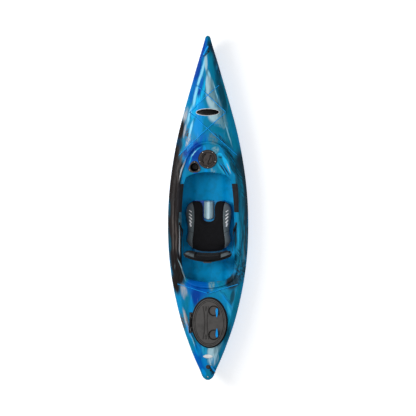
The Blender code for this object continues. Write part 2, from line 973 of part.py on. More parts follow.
def make_hull(shop):
    """The lower moulding: its outer form with the cavity cut out."""
    hull = shop.add("hull_shell", loft("hull_shell", hull_columns(), half=True), BLUE_INSIDE)
    cut(shop, hull, "hull_cavity", loft("hull_cavity", cavity_columns(), half=True))
    return hull


def make_deck(shop):
    """The upper moulding, before its openings are cut."""
    skin = face_up(loft("deck_shell", deck_rings(), half=True))
    deck = shop.add("deck_shell", skin, DECK_BLUE)
    wall = deck.modifiers.new("wall", "SOLIDIFY")
    wall.thickness = WALL
    wall.offset = -1
    wall.use_even_offset = True
    return deck


def fit_inside(shop, obj):
    """Trims a piece to the inside of the hull, a gap away from it."""
    space = loft(obj.name + "_space", cavity_columns(GAP * 1.5), half=True)
    boolean(obj, shop.cutter(obj.name + "_space", space), "INTERSECT")


def make_foam(shop, name, span, deck_tree):
    """A foam block that stands on the keel under the deck's centre line."""
    roof = []
    for share in (0, 0.5, 1):
        for x in (-FOAM_HALF_WIDTH, 0, FOAM_HALF_WIDTH):
            roof.append(ceiling_over(deck_tree, x, mix(*span, share), 0.2))
    mesh = box(name, (-FOAM_HALF_WIDTH, span[0], -0.01), (FOAM_HALF_WIDTH, span[1], min(roof) - GAP))
    foam = shop.add(name, mesh, FOAM)
    fit_inside(shop, foam)


# Dash fittings


def dash_frame(x, y):
    """A frame on the dash with Z square to it."""
    return placed((x, y, dash_z(y)), DASH_NORMAL)


def make_screw(shop, name, frame, head=SCREW_HEAD_RADIUS, height=SCREW_HEAD_HEIGHT):
    """A domed screw whose head sits at the frame's origin."""
    shank = SCREW_SHANK_RADIUS
    profile = (
        (0, height),
        (head * 0.7, height * 0.85),
        (head, 0),
        (shank, 0),
        (shank, -SCREW_LENGTH),
        (0, -SCREW_LENGTH),
    )
    turned(shop, name, profile, STEEL, frame, sides=8)


def screw_hole(name, frame):
    """The clearance hole of a screw, along its frame."""
    radius = SCREW_SHANK_RADIUS + RUNNING_GAP * 1.5
    return cylinder(name, radius, -SCREW_LENGTH * 1.6, SCREW_LENGTH * 0.6, frame, sides=6)


def make_dash_hatch(shop, deck):
    """Ring, gasket, screw-in lid and screws of the round dash hatch."""
    frame = dash_frame(0, DASH_HATCH_Y)
    collar = DASH_HATCH_BORE + 0.009
    top = DASH_HATCH_FLANGE
    seat_radius = DASH_HATCH_BORE + 0.007
    seat = top - 0.004
    ring = turned(
        shop,
        "dash_hatch_ring",
        (
            (seat_radius, top),
            (DASH_HATCH_RADIUS - 0.002, top),
            (DASH_HATCH_RADIUS, GAP),
            (collar, GAP),
            (collar, -DASH_HATCH_DEPTH),
            (DASH_HATCH_BORE, -DASH_HATCH_DEPTH),
            (DASH_HATCH_BORE, seat),
            (seat_radius, seat),
        ),
        CHARCOAL,
        frame,
        sides=30,
        closed=True,
    )
    hole = cylinder("dash_hatch_hole", collar + GAP * 2, -0.03, 0.03, frame, sides=30)
    cut(shop, deck, "dash_hatch_hole", hole)
    gasket_top = seat + 0.0016
    turned(
        shop,
        "dash_hatch_gasket",
        (
            (DASH_HATCH_BORE + 0.001, gasket_top),
            (seat_radius - 0.001, gasket_top),
            (seat_radius - 0.001, seat + GAP),
            (DASH_HATCH_BORE + 0.001, seat + GAP),
        ),
        BLACK,
        frame,
        sides=30,
        closed=True,
    )
    skirt = DASH_HATCH_BORE - RUNNING_GAP
    flange = seat_radius - RUNNING_GAP
    face = top + 0.001
    under = gasket_top + GAP
    lid = turned(
        shop,
        "dash_hatch_lid",
        (
            (0, face),
            (flange - 0.001, face),
            (flange, face - 0.001),
            (flange, under),
            (skirt, under),
            (skirt, -0.018),
            (skirt - 0.003, -0.018),
            (skirt - 0.003, -0.010),
            (0, -0.010),
        ),
        CHARCOAL,
        frame,
        sides=30,
    )
    grip_turn = math.radians(-38)
    for side in (-1, 1):
        outline = []
        for k in range(9):
            a = mix(-1.18, 1.18, k / 8)
            outline.append((math.cos(a) * 0.044 * side, math.sin(a) * 0.044 * side))
        for k in range(5):
            a = mix(1.0, -1.0, k / 4)
            outline.append((mix(0.012, 0.016, math.cos(a)) * side, math.sin(a) * 0.036 * side))
        recess = prism("lid_recess", outline, -0.003, 0.02, frame @ Matrix.Rotation(grip_turn, 4, "Z"))
        cut(shop, lid, "dash_lid_recess", recess)
    for k in range(DASH_HATCH_SCREWS):
        a = math.radians(-90) + 2 * math.pi * k / DASH_HATCH_SCREWS
        reach = DASH_HATCH_SCREW_RADIUS
        spot = frame @ Matrix.Translation((math.cos(a) * reach, math.sin(a) * reach, top + GAP))
        make_screw(shop, f"dash_hatch_screw_{k + 1}", spot)
        for part in (ring, deck):
            cut(shop, part, "screw_hole", screw_hole("screw_hole", spot))


def make_cup_holder(shop, deck):
    """The three-cornered cup holder in the dash, with its screws."""
    frame = dash_frame(CUP_X, CUP_Y)
    outline = []
    for k in range(30):
        a = 2 * math.pi * k / 30
        lobe = math.cos(3 * (a - math.pi / 2))
        r = CUP_FLANGE_RADIUS + CUP_FLANGE_LOBE * lobe
        outline.append((r * math.cos(a), r * math.sin(a)))
    outer = CUP_RADIUS + CUP_WALL
    thick = CUP_FLANGE_THICKNESS
    holder = shop.add("cup_holder", prism("cup_holder", outline, GAP, thick, frame), CHARCOAL)
    well = cylinder("cup_well", outer - CUP_TAPER, -CUP_DEPTH, thick, frame, 24, outer)
    join(shop, holder, "cup_well", well)
    inside = cylinder(
        "cup_inside", CUP_RADIUS - CUP_TAPER, -CUP_DEPTH + CUP_WALL, 0.012, frame, 24, CUP_RADIUS + 0.001
    )
    cut(shop, holder, "cup_inside", inside)
    hole = cylinder("cup_hole", outer + GAP * 4, -0.02, 0.02, frame, sides=24)
    cut(shop, deck, "cup_hole", hole)
    for k in range(CUP_SCREWS):
        a = math.pi / 2 + 2 * math.pi * k / CUP_SCREWS
        reach = CUP_SCREW_RADIUS
        spot = frame @ Matrix.Translation((math.cos(a) * reach, math.sin(a) * reach, thick + GAP))
        make_screw(shop, f"cup_holder_screw_{k + 1}", spot)
        for part in (holder, deck):
            cut(shop, part, "screw_hole", screw_hole("screw_hole", spot))


def skin_layer(shop, name, rings, gap, thickness):
    """A helper solid that follows the deck from a gap above it, as thick as asked."""
    mesh = face_up(loft(name + "_layer", rings, half=True))
    normals = [v.normal.copy() for v in mesh.vertices]
    for v, n in zip(mesh.vertices, normals):
        v.co += n * (gap / max(n.z, 0.7))
    layer = shop.cutter(name + "_layer", mesh)
    grow = layer.modifiers.new("layer", "SOLIDIFY")
    grow.thickness = thickness
    grow.offset = 1
    return layer


def make_knee_pads(shop, rings):
    """Two foam pads laid over the coaming beside the paddler's knees."""
    layer = skin_layer(shop, "knee_pads", rings[1:5], SEAT_GAP, PAD_THICKNESS)
    for name, low, high in (("knee_pad_port", -0.32, -0.10), ("knee_pad_starboard", 0.10, 0.32)):
        mesh = box(name, (low, PAD_REAR_Y, 0.18), (high, PAD_FRONT_Y, 0.40))
        boolean(shop.add(name, mesh, CHARCOAL), layer, "INTERSECT")


# Stern hatch


def oval_ring(name, profile, sides=28):
    """A closed ring that follows the stern hatch's oval, from a profile of (inset, z)."""
    rows = []
    for inset, z in profile + profile[:1]:
        oval = ellipse(HATCH_HALF_WIDTH, HATCH_HALF_LENGTH, sides, (HATCH_X, HATCH_Y), inset)
        rows.append([Vector((p.x, p.y, z)) for p in oval])
    verts = [v for row in rows for v in row]
    return mesh_from(name, verts, grid_faces(len(rows), sides, wrap=True))


def oval_disc(name, profile, sides=28):
    """A solid over the stern hatch's oval, from a profile of (inset, z) closed across its middle."""
    centre_low = Vector((HATCH_X, HATCH_Y, profile[0][1]))
    centre_high = Vector((HATCH_X, HATCH_Y, profile[-1][1]))
    rows = [[centre_low] * sides]
    for inset, z in profile:
        oval = ellipse(HATCH_HALF_WIDTH, HATCH_HALF_LENGTH, sides, (HATCH_X, HATCH_Y), inset)
        rows.append([Vector((p.x, p.y, z)) for p in oval])
    rows.append([centre_high] * sides)
    verts = [v for row in rows for v in row]
    return mesh_from(name, verts, grid_faces(len(rows), sides, wrap=True))


def seat_outline(margin, left, half):
    """The hatch's oval with a margin, widened to port for the hinge plate."""
    outline = []
    for p in ellipse(HATCH_HALF_WIDTH, HATCH_HALF_LENGTH, 28, (HATCH_X, HATCH_Y), -margin):
        if p.x > HATCH_X or abs(p.y - HATCH_Y) > half + margin:
            outline.append(p)
        elif outline[-1].x > left:
            for k in range(6):
                y = mix(half + margin, -half - margin, k / 5)
                outline.append(Vector((left - margin, HATCH_Y + y)))
    return outline


def along_y(x, y, z):
    """A frame whose Z runs along the boat."""
    return placed((x, y, z), (0, 1, 0), (1, 0, 0))


def make_stern_hatch(shop, deck):
    """Rim, gasket, hinged lid, hinge pin and latches of the oval stern hatch."""
    z0 = HATCH_Z
    inner = COLLAR_INSET + COLLAR_WALL
    hinge_half = KNUCKLE_OFFSET + KNUCKLE_LENGTH / 2 + 0.004
    plate_left = HINGE_X - HINGE_RADIUS - 0.002
    plate_right = HINGE_X + 0.014
    hole_inset = COLLAR_INSET - HATCH_HOLE_GAP
    wide = oval_disc("hatch_hole", [(hole_inset * 0.4, z0 - 0.09), (hole_inset * 0.4, z0 + 0.05)])
    cut(shop, deck, "hatch_hole", wide)
    seat_left = plate_left - HINGE_SWING_ROOM
    outer = seat_outline(HATCH_BOSS_MARGIN, seat_left, hinge_half)
    inner_oval = []
    for p in outer:
        a = math.atan2((p.y - HATCH_Y) / HATCH_HALF_LENGTH, (p.x - HATCH_X) / HATCH_HALF_WIDTH)
        q = Vector((HATCH_HALF_WIDTH * math.cos(a), HATCH_HALF_LENGTH * math.sin(a)))
        n = Vector((q.x / HATCH_HALF_WIDTH**2, q.y / HATCH_HALF_LENGTH**2)).normalized()
        inner_oval.append(q - n * hole_inset + Vector((HATCH_X, HATCH_Y)))
    low, high = z0 - HATCH_BOSS_DEPTH, z0 + HATCH_BOSS_TRIM
    rows = []
    for ring, z in ((outer, low), (outer, high), (inner_oval, high), (inner_oval, low), (outer, low)):
        rows.append([Vector((p.x, p.y, z)) for p in ring])
    boss_verts = [v for row in rows for v in row]
    boss = mesh_from("hatch_boss", boss_verts, grid_faces(len(rows), len(outer), wrap=True))
    join(shop, deck, "hatch_boss", boss)
    pocket_outline = seat_outline(HATCH_BOSS_MARGIN - 0.001, seat_left, hinge_half)
    cut(shop, deck, "hatch_pocket", prism("hatch_pocket", pocket_outline, z0, z0 + 0.05))

    rim_profile = [
        (0.0, z0 + GAP),
        (0.0015, z0 + RIM_FLANGE),
        (COLLAR_INSET, z0 + RIM_FLANGE),
        (COLLAR_INSET, z0 + COLLAR_HEIGHT),
        (inner, z0 + COLLAR_HEIGHT),
        (inner, z0 - COLLAR_DEPTH),
        (COLLAR_INSET, z0 - COLLAR_DEPTH),
        (COLLAR_INSET, z0 + GAP),
    ]
    rim = shop.add("stern_hatch_rim", oval_ring("stern_hatch_rim", rim_profile), BLACK)
    plate = box(
        "hinge_plate",
        (plate_left, HATCH_Y - hinge_half, z0 + GAP),
        (plate_right, HATCH_Y + hinge_half, z0 + RIM_FLANGE - 0.0015),
    )
    join(shop, rim, "hinge_plate", plate)
    pin_z = z0 + RIM_FLANGE + HINGE_RADIUS + 0.0005
    bridge_half = KNUCKLE_OFFSET - KNUCKLE_LENGTH / 2 - GAP * 2
    axis = along_y(HINGE_X, HATCH_Y, pin_z)
    bridge = cylinder("hinge_bridge", HINGE_RADIUS, -bridge_half, bridge_half, axis, sides=12)
    join(shop, rim, "hinge_bridge", bridge)
    foot = box(
        "hinge_foot",
        (HINGE_X - HINGE_RADIUS * 0.7, HATCH_Y - bridge_half, z0 + 0.002),
        (HINGE_X + HINGE_RADIUS * 0.7, HATCH_Y + bridge_half, pin_z),
    )
    join(shop, rim, "hinge_foot", foot)
    bore = cylinder("hinge_bore", HINGE_PIN_RADIUS + RUNNING_GAP, -0.2, 0.2, axis, sides=12)
    cut(shop, rim, "hinge_bore", bore)
    pin_half = hinge_half - 0.002
    pin_mesh = cylinder("stern_hatch_hinge_pin", HINGE_PIN_RADIUS, -pin_half, pin_half, axis, sides=12)
    shop.add("stern_hatch_hinge_pin", pin_mesh, STEEL)

    gasket_low = z0 + COLLAR_HEIGHT + GAP
    gasket_high = gasket_low + HATCH_GASKET_HEIGHT
    gasket_profile = [
        (COLLAR_INSET - 0.001, gasket_low),
        (COLLAR_INSET - 0.001, gasket_high),
        (inner + 0.001, gasket_high),
        (inner + 0.001, gasket_low),
    ]
    shop.add("stern_hatch_gasket", oval_ring("stern_hatch_gasket", gasket_profile), BLACK)

    under = gasket_high + GAP
    top = under + LID_THICKNESS
    skirt_low = z0 + LID_SKIRT_LIFT
    lid_profile = [
        (0.060, under),
        (LID_INSET + LID_SKIRT, under),
        (LID_INSET + LID_SKIRT, skirt_low),
        (LID_INSET, skirt_low),
        (LID_INSET, top - 0.003),
        (LID_INSET + 0.003, top),
        (LID_INSET + 0.014, top),
        (LID_INSET + 0.016, top - 0.0012),
        (LID_INSET + 0.026, top - 0.0012),
        (LID_INSET + 0.028, top),
    ]
    lid = shop.add("stern_hatch_lid", oval_disc("stern_hatch_lid", lid_profile), CHARCOAL)
    lid_edge = HATCH_X - HATCH_HALF_WIDTH + LID_INSET
    for side in (-1, 1):
        low = KNUCKLE_OFFSET * side - KNUCKLE_LENGTH / 2
        high = KNUCKLE_OFFSET * side + KNUCKLE_LENGTH / 2
        barrel = cylinder("knuckle", HINGE_RADIUS, low, high, axis, sides=12)
        join(shop, lid, "knuckle", barrel)
        web = box(
            "hinge_web",
            (HINGE_X, HATCH_Y + low, pin_z - 0.001),
            (lid_edge + 0.006, HATCH_Y + high, top - 0.0012),
        )
        join(shop, lid, "hinge_web", web)
        arm = box(
            "hinge_arm",
            (HINGE_X + 0.003, HATCH_Y + low, under + 0.0002),
            (lid_edge + 0.026, HATCH_Y + high, top - 0.0004),
        )
        join(shop, lid, "hinge_arm", arm)
        pocket = box(
            "hinge_pocket",
            (HINGE_X - 0.02, HATCH_Y + KNUCKLE_OFFSET * side - 0.010, pin_z - 0.02),
            (HINGE_X + 0.009, HATCH_Y + KNUCKLE_OFFSET * side + 0.010, pin_z + 0.02),
        )
        cut(shop, lid, "hinge_pocket", pocket)
    lid_bore = cylinder("lid_bore", HINGE_PIN_RADIUS + RUNNING_GAP, -0.2, 0.2, axis, sides=12)
    cut(shop, lid, "lid_bore", lid_bore)

    for side in (-1, 1):
        y = HATCH_Y + FINGER_OFFSET * side
        spot = placed((FINGER_X, y, top))
        wide = FINGER_RADIUS + FINGER_WALL
        deep = -FINGER_DEPTH - FINGER_WALL
        wall = cylinder("finger_wall", FINGER_RADIUS - 0.004, deep, -0.001, spot, 16, wide)
        join(shop, lid, "finger_wall", wall)
    for side in (-1, 1):
        y = HATCH_Y + FINGER_OFFSET * side
        spot = placed((FINGER_X, y, top))
        narrow = FINGER_RADIUS - 0.009
        bowl = cylinder("finger_bowl", narrow, -FINGER_DEPTH, 0.004, spot, 16, FINGER_RADIUS)
        cut(shop, lid, "finger_bowl", bowl)
    for side, name in ((1, "stern_hatch_latch_front"), (-1, "stern_hatch_latch_rear")):
        make_latch(shop, lid, name, side, top)


def make_latch(shop, lid, name, side, top):
    """One teardrop latch lever, pinned between two ears of the lid."""
    y = HATCH_Y + LATCH_OFFSET * side
    barrel_radius = LATCH_THICKNESS / 2
    z = top + GAP + barrel_radius
    axis = along_y(LATCH_PIVOT_X, y, z)
    half = LATCH_BARREL / 2
    outline = []
    reach = LATCH_LENGTH / 2
    for k in range(16):
        a = 2 * math.pi * k / 16
        t = (1 + math.sin(a)) / 2
        wide = mix(LATCH_THIN, LATCH_FAT, t)
        outline.append(
            (
                LATCH_PIVOT_X - LATCH_FAT * 1.35 - (1 - t) * -0.004 + math.cos(a) * wide,
                y + side * math.sin(a) * reach,
            )
        )
    low, high = top + GAP, top + GAP + LATCH_THICKNESS
    latch = shop.add(name, prism(name, outline, low, high), BRIGHT_BLUE)
    barrel = cylinder("latch_barrel", barrel_radius, -half, half, axis, sides=12)
    join(shop, latch, "latch_barrel", barrel)
    web = box(
        "latch_web",
        (LATCH_PIVOT_X - LATCH_FAT, y - half * 0.8, low + 0.0006),
        (LATCH_PIVOT_X, y + half * 0.8, high - 0.0006),
    )
    join(shop, latch, "latch_web", web)
    stub = half + 0.004
    pin = cylinder("latch_pin", LATCH_PIN_RADIUS, -stub, stub, axis, sides=10)
    join(shop, latch, "latch_pin", pin)
    for end in (-1, 1):
        a = half + RUNNING_GAP
        b = half + 0.0045
        ear = box(
            "latch_ear",
            (LATCH_PIVOT_X - barrel_radius, y + min(a * end, b * end), top - 0.002),
            (LATCH_PIVOT_X + barrel_radius, y + max(a * end, b * end), high + 0.0008),
        )
        join(shop, lid, "latch_ear", ear)
    reach = half + 0.01
    ear_bore = cylinder("ear_bore", LATCH_PIN_RADIUS + RUNNING_GAP, -reach, reach, axis, sides=10)
    cut(shop, lid, "ear_bore", ear_bore)


# Stern fittings


def make_drain(shop, deck, deck_tree):
    """Socket, gasket and plug of the stern drain."""
    spots = [(0, DRAIN_Y)]
    for k in range(16):
        a = math.pi * k / 8
        reach = DRAIN_RADIUS + 0.001
        spots.append((reach * math.cos(a), DRAIN_Y + reach * math.sin(a)))
    z0 = max(height_on(deck_tree, x, y) for x, y in spots) + DRAIN_BOSS_HEIGHT
    frame = placed((0, DRAIN_Y, z0))
    boss = cylinder("drain_boss", DRAIN_RADIUS + 0.003, -0.012, 0, frame, sides=16)
    join(shop, deck, "drain_boss", boss)
    collar = DRAIN_BORE + 0.002
    hole = cylinder("drain_hole", collar + GAP * 2, -0.04, 0.02, frame, sides=16)
    cut(shop, deck, "drain_hole", hole)
    flange = 0.003
    turned(
        shop,
        "drain_socket",
        (
            (DRAIN_BORE, flange),
            (DRAIN_RADIUS - 0.001, flange),
            (DRAIN_RADIUS, flange - 0.001),
            (DRAIN_RADIUS, GAP),
            (collar, GAP),
            (collar, -0.014),
            (DRAIN_BORE, -0.014),
        ),
        BLACK,
        frame,
        sides=16,
        closed=True,
    )
    gasket_top = flange + GAP + 0.0012
    turned(
        shop,
        "drain_gasket",
        (
            (DRAIN_BORE + 0.0005, gasket_top),
            (DRAIN_BORE + 0.004, gasket_top),
            (DRAIN_BORE + 0.004, flange + GAP),
            (DRAIN_BORE + 0.0005, flange + GAP),
        ),
        BLACK,
        frame,
        sides=16,
        closed=True,
    )
    head_low = gasket_top + GAP
    head = 0.0045
    plug = turned(
        shop,
        "drain_plug",
        (
            (0, head_low + head),
            (DRAIN_BORE + 0.003, head_low + head),
            (DRAIN_BORE + 0.0045, head_low + head - 0.0015),
            (DRAIN_BORE + 0.0045, head_low),
            (DRAIN_BORE - RUNNING_GAP, head_low),
            (DRAIN_BORE - RUNNING_GAP, -0.010),
            (0, -0.010),
        ),
        CHARCOAL,
        frame,
        sides=16,
    )
    slot = box("plug_slot", (-0.009, -0.0016, head_low + 0.002), (0.009, 0.0016, head_low + 0.02), frame)
    cut(shop, plug, "plug_slot", slot)


def make_tip_screw(shop, deck, deck_tree):
    """The screw that pins deck to hull at the stern tip."""
    y = -HALF_LENGTH + TIP_SCREW_INSET
    z = height_on(deck_tree, 0, y)
    for k in range(16):
        a = math.pi * k / 8
        z = max(z, height_on(deck_tree, TIP_SCREW_RADIUS * math.cos(a), y + TIP_SCREW_RADIUS * math.sin(a)))
    spot = placed((0, y, z + GAP))
    make_screw(shop, "stern_tip_screw", spot, TIP_SCREW_RADIUS, 0.003)
    cut(shop, deck, "tip_screw_hole", screw_hole("tip_screw_hole", spot))


# Cords and handles


def ball_height(tree, x, y, radius):
    """Height at which a ball over a plan point comes to rest on a surface."""
    best = height_on(tree, x, y) + radius
    for share in (0.5, 0.85):
        for k in range(8):
            a = math.pi * k / 4
            reach = radius * share
            under = height_on(tree, x + reach * math.cos(a), y + reach * math.sin(a))
            best = max(best, under + math.sqrt(radius * radius - reach * reach))
    return best


def taut_span(tree, start, end, radius, crossing=None):
    """Points of a taut cord between two plan points: it bridges hollows and touches crests."""
    start, end = Vector((*start, 0)), Vector((*end, 0))
    steps = max(4, round((end - start).length / BUNGEE_SAMPLE))
    plan = [mix(start, end, k / steps) for k in range(steps + 1)]
    ground = []
    for p in plan:
        z = ball_height(tree, p.x, p.y, radius)
        if crossing:
            away = math.hypot(p.x - crossing.x, p.y - crossing.y)
            if away < radius * 1.2:
                z = max(z, crossing.z + BUNGEE_RADIUS + radius)
        ground.append(z)
    line = [0]
    for i in range(1, steps + 1):
        while len(line) > 1:
            a, b = line[-2], line[-1]
            if mix(ground[a], ground[i], (b - a) / (i - a)) < ground[b]:
                break
            line.pop()
        line.append(i)
    k = 1
    while k < len(line) - 1:
        a, b, c = line[k - 1 : k + 2]
        if ground[b] - mix(ground[a], ground[c], (b - a) / (c - a)) < BUNGEE_FLAT:
            line.pop(k)
        else:
            k += 1
    return [Vector((plan[i].x, plan[i].y, ground[i])) for i in line]


def bungee(shop, deck, deck_tree, name, stops, crossings=()):
    """A taut cord over the deck through plan stops, knotted under it at both ends. Returns its points."""
    radius = BUNGEE_RADIUS + BUNGEE_LIFT
    points = []
    for k, (a, b) in enumerate(zip(stops, stops[1:])):
        span = taut_span(deck_tree, a, b, radius, crossings[k] if crossings else None)
        points += span if b == stops[-1] else span[:-1]
    over = list(points)
    swell = [1.0] * len(points)
    for end in (0, -1):
        p = over[end]
        below = [Vector((p.x, p.y, p.z - d)) for d in (0.0155, 0.0165, 0.0225)]
        sizes = [1.0, BUNGEE_KNOT, BUNGEE_KNOT * 0.8]
        if end == 0:
            points = below[::-1] + points
            swell = sizes[::-1] + swell
        else:
            points += below
            swell += sizes
        spot = placed((p.x, p.y, p.z))
        hole = cylinder(name + "_hole", BUNGEE_RADIUS + 0.0014, -0.014, 0.02, spot, sides=7)
        cut(shop, deck, name + "_hole", hole)
    tube(shop, name, points, BUNGEE_RADIUS, BRIGHT_BLUE, swell=swell)
    return over


def on_centre(points, near_y):
    """The point where a cord crosses the boat's centre line nearest a station."""
    found = []
    for p, q in zip(points, points[1:]):
        if p.x * q.x <= 0 and p.x != q.x:
            found.append(mix(p, q, p.x / (p.x - q.x)))
    return min(found, key=lambda v: abs(v.y - near_y))


def make_bungees(shop, deck, deck_tree):
    """The two crossing bow cords and the stern cord."""
    tip_x, tip_y = BUNGEE_TIP
    hook_x, hook_y = BUNGEE_HOOK
    end_x, end_y = BUNGEE_END
    low_stops = [(tip_x, tip_y), (-hook_x, hook_y), (end_x, end_y)]
    low = bungee(shop, deck, deck_tree, "bow_bungee_starboard", low_stops)
    crossings = [on_centre(low, tip_y), on_centre(low, end_y)]
    high_stops = [(-tip_x, tip_y), (hook_x, hook_y), (-end_x, end_y)]
    bungee(shop, deck, deck_tree, "bow_bungee_port", high_stops, crossings)
    stops = [(-STERN_BUNGEE_END[0], STERN_BUNGEE_END[1]), (0, STERN_HOOK_Y), STERN_BUNGEE_END]
    bungee(shop, deck, deck_tree, "stern_bungee", stops)


def make_cord_hook(shop, name, deck, deck_tree, x, y, pull):
    """A small hook: its post stands in the deck where the cord pulls to, its beak reaches over the cord."""
    z = height_on(deck_tree, x, y)
    clear = BUNGEE_RADIUS + 0.0012
    direction = Vector((pull[0], pull[1], 0)).normalized()
    middle = z + BUNGEE_LIFT + BUNGEE_RADIUS
    base = Vector((x, y, 0)) + direction * (clear + 0.0022)
    tip = Vector((x, y, 0)) - direction * 0.0020
    top = middle + clear + 0.0022
    path = [
        Vector((base.x, base.y, z - 0.010)),
        Vector((base.x, base.y, middle + clear * 0.4)),
        Vector((*mix(base, tip, 0.3).xy, top)),
        Vector((tip.x, tip.y, top)),
    ]
    tube(shop, name, path, 0.0020, BLACK)
    hole = cylinder(name + "_hole", 0.0028, -0.02, 0.02, placed((base.x, base.y, z)), sides=7)
    cut(shop, deck, name + "_hole", hole)


def make_handle(shop, deck, deck_tree, prefix, ends, eye):
    """A carrying handle: a grip on a cord that loops through a staple in the deck."""
    a, b = (Vector((*off_centre(*end), 0)) for end in ends)
    along = (b - a).normalized()
    lift = GRIP_RADIUS + SEAT_GAP
    low = Vector((0, 0, -1))
    samples = 10
    ground = [height_on(deck_tree, *mix(a, b, k / samples).xy) for k in range(samples + 1)]
    slope = (ground[-1] - ground[0]) / samples
    rise = max(g - (ground[0] + slope * k) for k, g in enumerate(ground))
    tilt = math.cos(math.atan((ground[-1] - ground[0]) / (b - a).length))
    a.z = ground[0] + rise + lift / tilt
    b.z = ground[-1] + rise + lift / tilt
    side = Vector((-along.y, along.x, 0))
    for shift in (-0.6, 0.6):
        for k in range(samples + 1):
            p = mix(a, b, k / samples)
            q = p + side * GRIP_RADIUS * shift
            needed = height_on(deck_tree, q.x, q.y) + lift * 0.8 / tilt
            if needed > p.z:
                a.z += needed - p.z
                b.z += needed - p.z
    direction = (b - a).normalized()
    axis = placed(a, direction, low)
    length = (b - a).length
    bore = HANDLE_CORD_RADIUS + RUNNING_GAP
    turned(
        shop,
        prefix + "_grip",
        (
            (bore, length),
            (GRIP_RADIUS * 0.75, length),
            (GRIP_RADIUS, length - 0.003),
            (GRIP_RADIUS, 0.003),
            (GRIP_RADIUS * 0.75, 0),
            (bore, 0),
        ),
        BRIGHT_BLUE,
        axis,
        sides=12,
        closed=True,
    )
    ex, ey = off_centre(*eye)
    eye_z = height_on(deck_tree, ex, ey) + HANDLE_CORD_RADIUS + 0.0012
    knot = Vector((ex, ey, eye_z))
    out = 0.007
    first = a - direction * out
    second = b + direction * out
    reach = (knot - mix(a, b, 0.5)).normalized()
    flat = Vector((along.x, along.y, 0)).normalized()
    loop = [
        mix(a, b, 0.02),
        a - direction * 0.002,
        first + reach * 0.002,
        first + reach * 0.008 + direction * 0.002,
        mix(first + reach * 0.010, knot - flat * 0.012, 0.5),
        knot - flat * 0.008,
        knot,
        knot + flat * 0.008,
        mix(second + reach * 0.010, knot + flat * 0.012, 0.5),
        second + reach * 0.008 - direction * 0.002,
        second + reach * 0.002,
        b + direction * 0.002,
        mix(a, b, 0.98),
        mix(a, b, 0.66),
        mix(a, b, 0.33),
    ]
    tube(shop, prefix + "_cord", loop, HANDLE_CORD_RADIUS, BLACK, cyclic=True)
    across = Vector((-flat.y, flat.x, 0))
    half = HANDLE_CORD_RADIUS + 0.0036
    roof = eye_z + HANDLE_CORD_RADIUS + 0.0036
    path = []
    for k in range(9):
        t = math.pi * k / 8
        p = knot - across * math.cos(t) * half
        path.append(Vector((p.x, p.y, mix(eye_z, roof, math.sin(t)))))
    foot = height_on(deck_tree, ex, ey) - 0.010
    path = [Vector((path[0].x, path[0].y, foot))] + path + [Vector((path[-1].x, path[-1].y, foot))]
    tube(shop, prefix + "_eye", path, 0.0018, BLACK)
    for k in (0, -1):
        spot = placed((path[k].x, path[k].y, eye_z))
        hole = cylinder(prefix + "_eye_hole", 0.0018 + RUNNING_GAP * 1.5, -0.03, 0.02, spot, sides=7)
        cut(shop, deck, prefix + "_eye_hole", hole)


def make_plate(shop, name, sizes, finish):
    """A plain oval plate that follows the deck."""
    y, half_x, half_y, thickness = sizes
    plate = shop.add(name, prism(name, ellipse(half_x, half_y, 24, (0, y)), 0.2, 0.4), finish)
    layer = skin_layer(shop, name, deck_rings()[5:], SEAT_GAP, thickness)
    boolean(plate, layer, "INTERSECT")


# Seat


